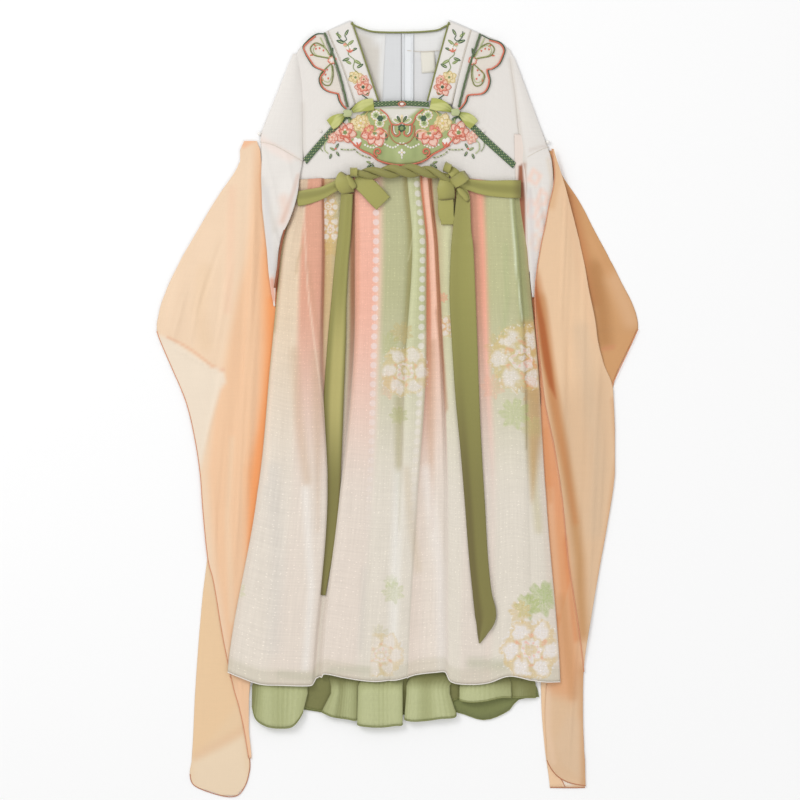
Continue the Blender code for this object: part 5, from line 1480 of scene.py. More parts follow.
def cloth(name: str, grid: Grid, finish: Finish, nodes: Sequence[str],
          thickness: float = CHIFFON, paint: Paint | None = None,
          lift: float = SHELL_LIFT) -> bpy.types.Object:
    """Args:
        name: Name of the piece.
        grid: Rows of points on the underside of its solid wall, from top to bottom.
        finish: Its finish.
        nodes: Solid pieces that it stands for.
        thickness: Thickness of the cloth.
        paint: Its dye with any painted shade, where the finish has no colour of its own.
        lift: From the underside of the wall to the cloth.

    Returns:
        The cloth.
    """
    rows, columns = len(grid) - 1, len(grid[0]) - 1
    cut = cut_of(grid)
    sheet = bmesh.new()
    bmesh.ops.create_grid(sheet, x_segments=columns, y_segments=rows, size=1.0)
    uv = sheet.loops.layers.uv.new("cloth")
    tint = sheet.verts.layers.float_color.new("tint")
    for vert in sheet.verts:
        u = (vert.co.x + 1.0) / 2.0
        v = (1.0 - vert.co.y) / 2.0
        point = grid[round(v * rows)][round(u * columns)]
        for loop in vert.link_loops:
            loop[uv].uv = (u * cut.width * MM, -v * cut.length * MM)
        vert[tint] = (*(paint(u, v, point) if paint else finish.colour), 1.0)
        vert.co = point + Vector((0.0, 0.0, lift))
    piece = new_piece(name, sheet, [finish], nodes)
    shell = piece.modifiers.new("thickness", "SOLIDIFY")
    shell.thickness = thickness * MM
    shell.offset = 1.0
    flat = (max(cut.width * MM, LEAST_FLAT), max(cut.length * MM, LEAST_FLAT))
    share = min(max(cut.area, LEAST_SHARE * flat[0] * flat[1]), flat[0] * flat[1])
    return piece


@dataclass(frozen=True)
class Twine:
    """Section and twist of a cord.

    Attributes:
        radius: Its radius, in millimetres.
        sides: Sides of its section.
        strands: Number of twisted strands that show on it, or 0.
        turns_per_mm: How fast they turn.
        depth: How deep the grooves between them are, as a share of the radius.
        flat: Height of the section as a share of its width.
        bulge: How much thicker its middle is, as a share of the radius.
    """

    radius: float
    sides: int = 6
    strands: int = 0
    turns_per_mm: float = 0.0
    depth: float = 0.0
    flat: float = 1.0
    bulge: float = 0.0


def tube(mesh_data: Mesh, path: Sequence[Vector], twine: Twine, index: int = 0) -> None:
    """Add a closed round cord to a mesh.

    Args:
        mesh_data: Mesh in millimetres that it is added to.
        path: Points of its middle.
        twine: Its section and twist.
        index: Material index.
    """
    uv = mesh_data.loops.layers.uv.get("cloth") or mesh_data.loops.layers.uv.new("cloth")
    rows = len(path) - 1
    made = bmesh.ops.create_grid(mesh_data, x_segments=twine.sides, y_segments=rows, size=1.0)["verts"]
    runs = runs_of(path)
    frames = []
    for k in range(rows + 1):
        ahead = (path[min(k + 1, rows)] - path[max(k - 1, 0)]).normalized()
        side = ahead.cross(Vector((0.0, 0.0, 1.0)))
        side = side.normalized() if side.length > 1e-6 else Vector((1.0, 0.0, 0.0))
        frames.append((side, side.cross(ahead).normalized()))
    for vert in made:
        k = round((vert.co.y + 1.0) / 2.0 * rows)
        share = (vert.co.x + 1.0) / 2.0
        angle = tau * share
        groove = 1.0
        if twine.strands:
            turn = twine.strands * (angle + tau * twine.turns_per_mm * runs[k])
            groove -= twine.depth * (0.5 - 0.5 * cos(turn))
        for loop in vert.link_loops:
            loop[uv].uv = (runs[k] * MM, share * tau * twine.radius * MM)
        side, up = frames[k]
        reach = twine.radius * groove * (1.0 + twine.bulge * sin(pi * k / rows))
        vert.co = path[k] + side * (cos(angle) * reach) + up * (sin(angle) * reach * twine.flat)
    for face in {face for vert in made for face in vert.link_faces}:
        face.material_index = index
    bmesh.ops.remove_doubles(mesh_data, verts=made, dist=1e-4)
    kept = [vert for vert in made if vert.is_valid]
    open_edges = {edge for vert in kept for edge in vert.link_edges if edge.is_boundary}
    if open_edges:
        caps = bmesh.ops.holes_fill(mesh_data, edges=list(open_edges), sides=twine.sides)["faces"]
        for face in caps:
            face.material_index = index
    faces = {face for vert in kept for face in vert.link_faces}
    bmesh.ops.recalc_face_normals(mesh_data, faces=list(faces))


def cord(name: str, path: Sequence[Vector], twine: Twine, finish: Finish,
         nodes: Sequence[str] = ()) -> bpy.types.Object:
    """Make one sewn-on cord as a piece of its own.

    Args:
        name: Name of the piece.
        path: Points of its middle, in millimetres.
        twine: Its section and twist.
        finish: Its finish.
        nodes: Solid pieces that it stands for.

    Returns:
        The cord.
    """
    mesh_data = bmesh.new()
    tube(mesh_data, path, twine)
    return new_piece(name, mesh_data, [finish], nodes)


def gap_to(line: Sequence[Point], x: float, y: float) -> float:
    """Give the distance from a place to a line of points."""
    best = FAR_AWAY
    for (ax, ay), (bx, by) in zip(line, line[1:]):
        dx, dy = bx - ax, by - ay
        t = ((x - ax) * dx + (y - ay) * dy) / max(dx * dx + dy * dy, TINY)
        t = min(max(t, 0.0), 1.0)
        best = min(best, hypot(x - ax - dx * t, y - ay - dy * t))
    return best


def within(outline: Sequence[Point], x: float, y: float) -> bool:
    """Say whether a place is inside an outline."""
    inside = False
    for (ax, ay), (bx, by) in zip(outline, outline[1:] + outline[:1]):
        if (ay > y) != (by > y) and x < (bx - ax) * (y - ay) / (by - ay) + ax:
            inside = not inside
    return inside


def dyed(base: Colour, layers: Sequence[Wash | Field], x: float, y: float) -> Colour:
    """Lay strokes and areas of dye and of painted shade over a colour.

    Args:
        base: The cloth's own colour.
        layers: Strokes and areas, from the first laid to the last.
        x: Place across, in millimetres.
        y: Place up, in millimetres.

    Returns:
        The colour at that place.
    """
    colour = base
    for layer in layers:
        if isinstance(layer, Wash):
            share = smooth_step(1.0 - gap_to(layer.line, x, y) / layer.width)
        else:
            edge = gap_to(layer.outline + layer.outline[:1], x, y)
            signed = edge if within(layer.outline, x, y) else -edge
            share = smooth_step(0.5 + 0.5 * signed / layer.soft)
        if share > 0.0:
            colour = blend(colour, layer.colour, share * layer.strength)
    return colour


def painter(base: Colour, layers: Sequence[Wash | Field] = ()) -> Paint:
    """Give a paint that lays strokes over one colour."""
    def paint(u: float, v: float, point: Vector) -> Colour:
        """Give the colour at a point."""
        return dyed(base, layers, point.x, point.y)
    return paint


# ---------------------------------------------------------------- sub-assemblies
@dataclass
class Studio:
    """Pale surface under the robe, soft light and the camera straight above.

    Attributes:
        reach: Half the width of the surface, in metres.
        camera_at: Place of the camera, in metres.
        lens: Its focal length in millimetres.
        sensor: Width of its sensor in millimetres.
        view_end: How far it sees, in metres.
        sky: Strength of the even light.
        lamps: Name, place, width and power in watts of each soft lamp.
    """

    reach: float = 12.0
    camera_at: tuple[float, float, float] = (0.0046, 0.0148, 7.4)
    lens: float = 180.0
    sensor: float = 36.0
    view_end: float = 50.0
    sky: float = 0.74
    lamps: tuple[tuple[str, tuple[float, float, float], float, float], ...] = (
        ("key", (-2.6, 2.4, 3.2), 2.0, 70.0), ("fill", (2.8, -1.6, 3.4), 2.6, 22.0))

    def build(self) -> None:
        """Make the surface, the lights and the camera."""
        scene = bpy.context.scene
        scene.view_settings.view_transform = "Standard"
        self.surface()
        world = bpy.data.worlds.new("soft_daylight")
        world.use_nodes = True
        set_inputs(world.node_tree.nodes["Background"],
                   {"Strength": self.sky, "Color": (1.0, 1.0, 1.0, 1.0)})
        scene.world = world
        for lamp in self.lamps:
            self.light(*lamp)
        data = bpy.data.cameras.new("camera")
        data.lens = self.lens
        data.sensor_width = self.sensor
        data.clip_end = self.view_end
        camera = bpy.data.objects.new("camera", data)
        camera.location = self.camera_at
        bpy.context.collection.objects.link(camera)
        scene.camera = camera

    def surface(self) -> None:
        """Make the pale surface that the robe lies on."""
        sheet = bmesh.new()
        bmesh.ops.create_grid(sheet, x_segments=2, y_segments=2, size=self.reach)
        bmesh.ops.translate(sheet, vec=(0.0, 0.0, -0.0005), verts=sheet.verts)
        mesh = bpy.data.meshes.new("surface")
        sheet.to_mesh(mesh)
        sheet.free()
        paper = bpy.data.materials.new("pale_surface")
        paper.use_nodes = True
        set_inputs(paper.node_tree.nodes["Principled BSDF"],
                   {"Base Color": (*PAPER, 1.0), "Roughness": 0.95})
        mesh.materials.append(paper)
        floor = bpy.data.objects.new("surface", mesh)
        bpy.context.collection.objects.link(floor)
        floor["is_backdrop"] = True

    def light(self, name: str, place: Sequence[float], size: float, power: float) -> None:
        """Hang one soft lamp that points at the middle of the robe.

        Args:
            name: Its name.
            place: Where it hangs, in metres.
            size: Width of its face.
            power: Its power in watts.
        """
        data = bpy.data.lights.new(name, "AREA")
        data.size = size
        data.energy = power
        lamp = bpy.data.objects.new(name, data)
        lamp.location = place
        lamp.rotation_euler = (-Vector(place)).to_track_quat("-Z", "Y").to_euler()
        bpy.context.collection.objects.link(lamp)


@dataclass
class Skirt:
    """Outer skirt of slub chiffon, gathered into deep uneven folds.

    Attributes:
        folds: Lines of the front, from left to right.
        stripes: Dyed stripes, and stripes of painted shade in the fold recesses, by their place in the row
            of folds.
        steps: Steps between one line and the next.
        lines: Steps from waist to hem.
        back_lines: The same on the back.
        rounding: How many steps to each side its folds are rounded over.
        fade: Heights between which the dye runs out into cream.
        ripples: Fine gathers under the chest seam and along the folds.
        hem_dye: Dye of the band above the hem.
    """

    folds: tuple[Fold, ...] = SKIRT_FOLDS
    stripes: tuple[Stripe, ...] = SKIRT_STRIPES
    steps: int = 6
    lines: int = 120
    back_lines: int = 24
    rounding: int = 2
    fade: Point = (240.0, -190.0)
    ripples: tuple[Crease, ...] = SKIRT_RIPPLES
    hem_dye: Colour = HEM_BAND

    def front_grid(self) -> Grid:
        """Lay the front's folds from waist to hem."""
        hems = [p.x for p in spline([(f.hem, 0.0, 0.0) for f in self.folds], self.steps)]
        grid = []
        last = len(hems) - 1
        for j in range(self.lines + 1):
            t = j / self.lines
            level = WAIST - SEAM + (HEM - WAIST) * t
            corners = [(at_level(SKIRT_LEVELS, f.x, level), at_level(SKIRT_LEVELS, f.z, level), 0.0)
                       for f in self.folds]
            line = []
            sharp = spline(self.unlapped(corners), self.steps)
            for k, edge in enumerate(hems):
                reach = min(self.rounding, k, last - k)
                near = sharp[k - reach:k + reach + 1]
                point = sum(near, Vector((0.0, 0.0, 0.0))) / len(near)
                top = self.seam_at(point.x)
                y = top + (edge - SEAM - top) * t
                rise = crease_height(self.ripples, point.x, y) if point.y > 8.0 else 0.0
                rise += self.gather_at(len(line) / self.steps, t) if point.y > 6.5 else 0.0
                across = max(point.x, line[-1].x + LEAST_STEP) if line else point.x
                line.append(Vector((across, y, point.y + rise)))
            grid.append(line)
        return grid

    def unlapped(self, corners: Sequence[Sequence[float]]) -> list[list[float]]:
        """Bring both lines of a lap together, so that its wall is steep but doesn't turn under.

        Args:
            corners: Places of the lines at one height: across and up.

        Returns:
            The same places, each to the right of the one before.
        """
        spots = [list(corner) for corner in corners]
        for before, after in zip(spots, spots[1:]):
            if after[0] < before[0] + LEAST_STEP:
                if before[1] > after[1]:
                    after[0] = before[0] + LEAST_STEP
                else:
                    before[0] = after[0] - LEAST_STEP
        return spots

    def seam_at(self, x: float) -> float:
        """Give the height of the skirt's top under the chest seam, which arches under the twist."""
        return at_level([-p[0] for p in CHEST_SEAM], [p[1] for p in CHEST_SEAM], -x) + 1.2

    def gather_at(self, s: float, t: float) -> float:
        """Give the height of the fine uneven gathers.

        Args:
            s: Place along the row of folds.
            t: Place down the skirt, 0 to 1.

        Returns:
            Their height.
        """
        lean = 0.35 * sin(2.1 * t + 1.7 * s)
        wave = 0.6 * sin(tau * (0.93 * s + lean)) + 0.4 * sin(tau * (1.61 * s + 0.3 - lean))
        return (0.75 - 0.35 * t) * wave * (0.55 + 0.45 * sin(0.9 * s + 2.4 * t))

    def back_grid(self) -> Grid:
        """Lay the back, flat but for its sides, which climb over the wide sleeves."""
        grid = []
        for j in range(self.back_lines + 1):
            t = j / self.back_lines
            level = WAIST - SEAM + (HEM - WAIST) * t
            left = at_level(SKIRT_LEVELS, self.folds[0].x, level)
            right = at_level(SKIRT_LEVELS, self.folds[-1].x, level)
            rise = at_level((WAIST, HIP), (0.0, BACK_CLIMB), level)
            left_foot = left + at_level(SKIRT_LEVELS, SIDE_CLIMB[0], level)
            right_foot = right - at_level(SKIRT_LEVELS, SIDE_CLIMB[1], level)
            places = ((left, rise), (left_foot - CLIMB_RUN, rise), (left_foot, 0.0),
                      (0.5 * (left + right), 0.0), (right_foot, 0.0), (right_foot + CLIMB_RUN, rise),
                      (right, rise))
            grid.append([Vector((x, WAIST - SEAM + (hem - WAIST) * t, z))
                         for (x, z), hem in zip(places, BACK_HEM)])
        return grid

    def dye_and_shade_at(self, u: float, v: float, point: Vector) -> Colour:
        """Give the skirt's colour at a place: its dyed stripes, with painted shade in the valleys of its
        folds.

        Args:
            u: Place along the row of folds, 0 to 1.
            v: Place down the skirt, 0 to 1; not used.
            point: The place in millimetres.

        Returns:
            Its colour.
        """
        s = u * (len(self.folds) - 1)
        colour = self.stripes[0].colour
        for stripe in self.stripes:
            colour = blend(colour, stripe.colour, smooth_step((s - stripe.start + 0.3) / 0.6))
        top, end = self.fade
        faded = smooth_step((top - point.y) / (top - end))
        colour = blend(colour, CREAM, 0.92 * faded)
        # painted shade: the low valleys between the folds are darkened towards umber
        valley = smooth_step((10.5 - point.z) / 4.5)
        deep = blend(colour, UMBER, 0.38 - 0.26 * faded)
        colour = blend(colour, deep, 0.75 * valley)
        # strokes of painted shade, painted highlights and dye along the folds
        colour = dyed(colour, SKIRT_SHADES, point.x, point.y)
        band = smooth_step((point.y - self.hem_at(u) - 34.0) / -12.0)
        return blend(colour, self.hem_dye, 0.30 * band)

    def mark_prints(self, piece: bpy.types.Object, grid: Grid) -> None:
        """Store where the printed columns and roundels are on the cloth.

        Args:
            piece: The front of the skirt.
            grid: Its rows of points.
        """
        columns = [round(place * self.steps) for place in DOT_COLUMNS]
        runs = {}
        for row, line in enumerate(grid):
            run = runs_of(line)
            for k, value in enumerate(run):
                faded = smooth_step((line[k].y + 300.0) / 500.0)
                shown = max(strength * smooth_step((k / self.steps - low) / 0.3)
                            * smooth_step((high - k / self.steps) / 0.3)
                            * smooth_step((top - line[k].y) / 20.0) * smooth_step((line[k].y - end) / 20.0)
                            for low, high, top, end, strength in PRINT_PATCHES)
                runs[(row, k)] = (abs(value - run[columns[0]]), abs(value - run[columns[1]]), faded, shown)
        marks = piece.data.attributes.new("print", "FLOAT_COLOR", "POINT")
        rows, across = len(grid) - 1, len(grid[0]) - 1
        uvs = piece.data.uv_layers["cloth"].data
        cut = cut_of(grid)
        for loop in piece.data.loops:
            u, v = uvs[loop.index].uv
            key = (round(-v / (cut.length * MM) * rows), round(u / (cut.width * MM) * across))
            marks.data[loop.vertex_index].color = runs[key]

    def hem_at(self, u: float) -> float:
        """Give the height of the hem at a place along the folds."""
        s = u * (len(self.folds) - 1)
        k = min(int(s), len(self.folds) - 2)
        return self.folds[k].hem + (self.folds[k + 1].hem - self.folds[k].hem) * (s - k)

    def build(self) -> None:
        """Make the front with its rolled hem, and the back."""
        front = self.front_grid()
        hem = [p + Vector((0.0, 0.2, 1.5)) for p in front[-1]]
        roll = cord("skirt_front_hem", hem, Twine(1.0, flat=0.8), Thread.WHITE.finish("skirt_chiffon"))
        piece = cloth("skirt_front_cloth", front, PRINTED_CHIFFON, ["skirt_front"],
                      paint=self.dye_and_shade_at)
        self.mark_prints(piece, front)
        cloth("skirt_back_cloth", self.back_grid(), SLUB_CHIFFON, ["skirt_back"],
              paint=painter(CREAM, BACK_PAINTED_SHADE))
        LOG.info("skirt built")


@dataclass
class Underskirt:
    """Green underskirt with a waved tier that shows under the hem.

    Attributes:
        waves: Lines of the front tier, from left to right.
        steps: Steps between one line and the next.
        columns: Steps across the back.
    """

    waves: tuple[Gather, ...] = TIER_WAVES
    steps: int = 10
    columns: int = 42

    def front_rows(self) -> Grid:
        """Lay the corner lines of the front, flat above and waved at its hem."""
        base = CLOTH * 2 + SEAM * 2 + 0.05
        forward = []
        reach = self.waves[0].x
        for gather in self.waves:
            reach = max(reach + 1.5, gather.x)
            forward.append(reach)
        grid = []
        levels = (WAIST - 4, KNEE, CALF, UNDER_TIER, UNDER_SWELL, -492, -500, -507, -514, -521, UNDER_EDGE)
        for y in levels:
            left, right = row_at(UNDER_ROWS, y)
            wave = smooth_step((y - UNDER_SWELL) / (UNDER_EDGE - UNDER_SWELL))
            overhang = smooth_step((wave - 0.25) / 0.45)
            gathered = smooth_step((y - CALF) / (UNDER_TIER - CALF))
            line = []
            for i, gather in enumerate(self.waves):
                straight = left + (right - left) * i / (len(self.waves) - 1)
                spread = left + (right - left) * (forward[i] - forward[0]) / (forward[-1] - forward[0])
                x = straight + (spread - straight) * gathered
                x += (gather.x + gather.lean - x) * overhang
                line.append(Vector((x, y, base + (gather.z - base) * wave)))
            grid.append(line)
        for share in (0.16, 0.33, 0.5, 0.67, 0.84, 1.0):
            line = []
            for gather in self.waves:
                edge = min(gather.hem, UNDER_EDGE - 8)
                x = gather.x + gather.lean * (1.0 - share)
                line.append(Vector((x, UNDER_EDGE + (edge - UNDER_EDGE) * share, gather.z)))
            grid.append(line)
        return grid

    def front_grid(self) -> Grid:
        """Round the corner lines into smooth waves, with fine gathers that fan out to the hem."""
        grid = []
        for line in self.front_rows():
            points = spline(line, self.steps)
            for k, point in enumerate(points):
                if point.z > 6.0 and point.y < -505.0:
                    point.z += 0.55 * sin(1.9 * k + 0.8 * sin(0.37 * k)) * (0.6 + 0.4 * sin(0.23 * k))
            grid.append(points)
        return grid

    def back_grid(self) -> Grid:
        """Lay the back, flat on the surface's skirt back."""
        hem = laid(along(BACK_TIER_HEM, self.columns), on_back)
        grid = []
        for y in (WAIST - 4, HIP, KNEE, CALF, UNDER_TIER, -500, -518):
            left, right = row_at(UNDER_ROWS, y)
            grid.append([Vector((left + (right - left) * i / self.columns, y, LAYER))
                         for i in range(self.columns + 1)])
        start = grid[-1]
        for share in (0.33, 0.67, 1.0):
            grid.append([a.lerp(edge, share) for a, edge in zip(start, hem)])
        return grid

    def tier_dye_and_shade(self, u: float, v: float, point: Vector) -> Colour:
        """Give the front's green with painted highlights on the wave crowns, and painted shade in the wells
        between them and under the skirt's hem.
        """
        high = smooth_step((point.z - 4.0) / 6.5)
        colour = blend(GREEN_SHADED, GREEN, high)
        crown = smooth_step((point.z - 9.5) / 2.5)
        colour = blend(colour, GREEN_LIT, 0.75 * crown)
        under = smooth_step((point.y + 520.0) / 26.0)
        return blend(colour, GREEN_SHADED, 0.5 * under) if point.y > -524 else colour

    def build(self) -> None:
        """Make both walls of the underskirt and their overlocked hems."""
        moss = Thread.MOSS.finish("green_underskirt")
        front = self.front_grid()
        stitch = [p + Vector((0.0, 2.6, 0.9)) for p in front[-1]]
        edge = [p + Vector((0.0, 0.4, 0.7)) for p in front[-1]]
        trims = [cord("underskirt_front_hem", edge, Twine(0.8), moss),
                 cord("underskirt_front_stitch", stitch, Twine(0.45, 4), moss)]
        cloth("underskirt_front_cloth", front, LINING, ["underskirt_front"],
              paint=self.tier_dye_and_shade)
        back = self.back_grid()
        edge = [p + Vector((0.0, 0.4, 0.6)) for p in back[-1]]
        rim = cord("underskirt_back_hem", edge, Twine(0.8), moss)
        cloth("underskirt_back_cloth", back, LINING, ["underskirt_back"],
              paint=painter(TIER_BACK))
        LOG.info("underskirt built")


@dataclass
class WideSleeves:
    """Wide organza sleeves, buttoned on under the short white ones.

    Attributes:
        columns: Steps across a front wall.
        splits: Steps between the rows of its table.
        pearls: Side and middle of each button.
        pearl_radius: Radius of a button.
    """

    columns: int = 76
    splits: int = 9
    pearls: tuple[tuple[str, float, float], ...] = (("left", -255.6, 507.0), ("right", 278.1, 492.0))
    pearl_radius: float = 3.5

    def left_front(self, x: float, y: float) -> float:
        """Give the height of the left front wall."""
        cover = at_level(*LEFT_COVER, y)
        if y > HEM - 8:
            cover = min(cover, at_level(SKIRT_LEVELS, SKIRT_FOLDS[0].x, y) - 9)
        free = smooth_step((cover - x) / 22.0)
        rise = crease_height(LEFT_WIDE_CREASES, x, y) + crease_height(LEFT_WIDE_RIPPLES, x, y)
        return LAYER + max(rise, -0.9) * free

    def right_front(self, x: float, y: float) -> float:
        """Give the height of the right front wall."""
        over = smooth_step((y - 110) / 110.0) * (1.0 - smooth_step((x - 300) / 40.0))
        cover = at_level(*RIGHT_COVER, y)
        if y > HEM - 20:
            cover = max(cover, at_level(SKIRT_LEVELS, SKIRT_FOLDS[-1].x, y) + 5)
        free = smooth_step((x - cover) / 20.0)
        rise = crease_height(RIGHT_WIDE_CREASES, x, y) + crease_height(RIGHT_WIDE_RIPPLES, x, y)
        return LAYER + 7.6 * over + max(rise, -0.9) * free

    def overlock(self, name: str, points: Sequence[Point], height: Height, finish: Finish,
                 rise: float = 0.9) -> bpy.types.Object:
        """Sew an overlocked hem cord along an edge.

        Args:
            name: Name of the piece.
            points: Places along the edge.
            height: Underside of the wall that it is sewn to.
            finish: Its thread.
            rise: How far it lies over that underside.

        Returns:
            The cord.
        """
        path = laid(along(points, 6 * len(points)), height, rise)
        return cord(name, path, Twine(0.8, flat=0.7), finish)

    def build(self) -> None:
        """Make both sleeves, their hems and their pearls."""
        coral, rust = Thread.APRICOT.finish("peach_organza"), Thread.RUST.finish("peach_organza")
        hems = [self.overlock("wide_left_hem", LEFT_HEM, self.left_front, coral)]
        left = [Row(r.y, r.left, at_level(*LEFT_TUCK, r.y) if 200 < r.y < 380 else r.right)
                for r in LEFT_WIDE_FRONT]
        right = RIGHT_WIDE_FRONT[:-1] + RIGHT_CUFF
        cloth("wide_sleeve_left_front_cloth",
              band_grid(left, self.columns, self.splits, self.left_front), ORGANZA,
              ["wide_sleeve_left_front"],
              paint=painter(PALE_PEACH, LEFT_FRONT_DYES_AND_SHADE))
        hems = [self.overlock("wide_left_back_hem", LEFT_BACK_HEM, on_surface, rust),
                self.overlock("wide_left_inner_hem", LEFT_INNER_HEM, on_surface, rust)]
        cloth("wide_sleeve_left_back_cloth", band_grid(LEFT_WIDE_BACK, 56, 8, on_surface), ORGANZA,
              ["wide_sleeve_left_back"],
              paint=painter(WIDE_LEFT_BACK, LEFT_BACK_DYES))
        hems = [self.overlock("wide_right_edge", RIGHT_EDGE, self.right_front, coral, 1.6),
                self.overlock("wide_right_hem", RIGHT_HEM, self.right_front, coral),
                self.overlock("wide_right_cuff", RIGHT_CUFF_HEM, self.right_front, rust),
                self.overlock("wide_right_lap", RIGHT_LAP, self.right_front, coral, 1.5)]
        cloth("wide_sleeve_right_front_cloth",
              band_grid(right, self.columns, self.splits, self.right_front), ORGANZA,
              ["wide_sleeve_right_front"],
              paint=painter(WIDE_RIGHT, RIGHT_FRONT_DYES_AND_SHADE))
        hems = [self.overlock("wide_right_back_hem", RIGHT_BACK_HEM, on_surface, rust),
                self.overlock("wide_right_inner_hem", RIGHT_INNER_HEM, on_surface, rust)]
        cloth("wide_sleeve_right_back_cloth", band_grid(RIGHT_WIDE_BACK, 56, 8, on_surface), ORGANZA,
              ["wide_sleeve_right_back"],
              paint=painter(WIDE_RIGHT_BACK_SHADED, RIGHT_BACK_DYES_AND_SHADE))
        for side, x, y in self.pearls:
            bead = bmesh.new()
            bmesh.ops.create_uvsphere(bead, u_segments=24, v_segments=16, radius=self.pearl_radius)
            bead.loops.layers.uv.new("cloth")
            bmesh.ops.translate(bead, vec=(x, y, self.pearl_radius + 0.1), verts=bead.verts)
            new_piece("pearl_%s_bead" % side, bead, [PEARL], ["pearl_" + side])
        LOG.info("wide sleeves built")


@dataclass
class WhiteSleeves:
    """Short white inner sleeves, folded below the elbow.

    Attributes:
        columns: Steps across each wall.
        splits: Steps between the rows of the tables.
        tuck: How far a sleeve's inner edge runs on under the seam of the shirt front.
        lining: Height of the lining that shows beside the right armhole.
    """

    columns: int = 30
    splits: int = 6
    tuck: float = 1.4
    lining: float = 4.6

    def rows(self, upper: Sequence[Row], lower: Sequence[Row], sign: float) -> list[Row]:
        """Join the tables of a sleeve's upper and lower front.

        Args:
            upper: Rows above the fold.
            lower: Rows below it.
            sign: 1 where the armhole is on the right of the sleeve, -1 on its left.

        Returns:
            One table from shoulder to hem.
        """
        joined = []
        for row in (*upper[:-1], *lower):
            reach = self.tuck * smooth_step((row.y - 430.0) / 30.0)
            if sign > 0:
                joined.append(Row(row.y, row.left, row.right + reach))
            else:
                joined.append(Row(row.y, row.left - reach, row.right))
        return joined

    def height(self, rows: Sequence[Row], side: str) -> Height:
        """Give the height of a whole sleeve front.

        Args:
            rows: Its table.
            side: "left" or "right".

        Returns:
            The height of its underside.
        """
        low, rise_low, skew_low = self.right_low, 2.0, 0.7
        if side == "left":
            low, rise_low, skew_low = self.left_low, 4.0, 1.0

        def value(x: float, y: float) -> float:
            """Give the height at a place."""
            left, right = row_at(rows, y)
            u = min(max((x - left) / max(right - left, 1e-6), 0.0), 1.0)
            below = smooth_step((505.0 - y) / 50.0)
            rise = SLEEVE_RISE + (rise_low - SLEEVE_RISE) * below
            skew = 1.0 + (skew_low - 1.0) * below
            swell = rise * sin(pi * u ** skew) ** 0.8 * smooth_step((right - left) / 40.0)
            return low(x, y) + swell + crease_height(WHITE_CREASES, x, y)
        return value

    def left_low(self, x: float, y: float) -> float:
        """Give the lowest height of the left front, which passes over belt and skirt."""
        below = smooth_step((487 - y) / 40.0)
        over_skirt = smooth_step((440 - y) / 45.0) * smooth_step((x + 222) / 26.0)
        return LAYER + FRONT_EASE + 3.2 * below + 11.0 * over_skirt

    def right_low(self, x: float, y: float) -> float:
        """Give the lowest height of the right front."""
        return LAYER + FRONT_EASE + 2.6 * smooth_step((488 - y) / 40.0)

    def right_back_low(self, x: float, y: float) -> float:
        """Give the height of the right back wall."""
        return 1.7 * smooth_step((487 - y) / 30.0)

    def build(self) -> None:
        """Make both fronts, both backs and the pink dropped shoulder seams."""
        left = self.rows(LEFT_SLEEVE_UPPER, LEFT_SLEEVE_LOWER, 1.0)
        right = self.rows(RIGHT_SLEEVE_UPPER, RIGHT_SLEEVE_LOWER, -1.0)
        for side, rows, under in (("left", left, "skirt_front_cloth"),
                                  ("right", right, "skirt_back_cloth")):
            height = self.height(rows, side)
            seam = laid(along(SHOULDER_SEAMS[side], 30), height, SHELL_LIFT + LINED + 0.05)
            trims = [cord("sleeve_%s_seam" % side, seam, Twine(0.5, 4), Thread.SAND.finish("ivory_cloth"))]
            cloth("sleeve_%s_cloth" % side, band_grid(rows, self.columns, self.splits, height), COTTON,
              ["sleeve_upper_" + side, "sleeve_lower_" + side], LINED,
                  painter(IVORY, WHITE_PRINT_AND_SHADE))
        # a dark umber cord in the gap beside the left sleeve, as painted shadow
        gap = laid(along(LEFT_GAP_SHADE, 30), on_surface, 11.0)
        cord("sleeve_left_gap_shade", gap, Twine(2.0, flat=0.5), Thread.UMBER.finish("ivory_cloth"))
        edges = [along(line, 60) for line in RIGHT_LINING]
        inside = [laid([a.lerp(b, i / 14) for i in range(15)], on_surface, self.lining)
                  for a, b in zip(*edges)]
        cloth("sleeve_right_lining_cloth", inside, COTTON, [], CHIFFON,
              painter(SLEEVE_LINING, RIGHT_GAP_SHADE))
        for side, rows, low in (("left", LEFT_SLEEVE_BACK, on_surface),
                                ("right", RIGHT_SLEEVE_BACK, self.right_back_low)):
            cloth("sleeve_back_%s_cloth" % side, band_grid(rows, 10, 3, low), COTTON,
                  ["sleeve_back_" + side], LINED, painter(SHADOW_WHITE))
        LOG.info("white sleeves built")


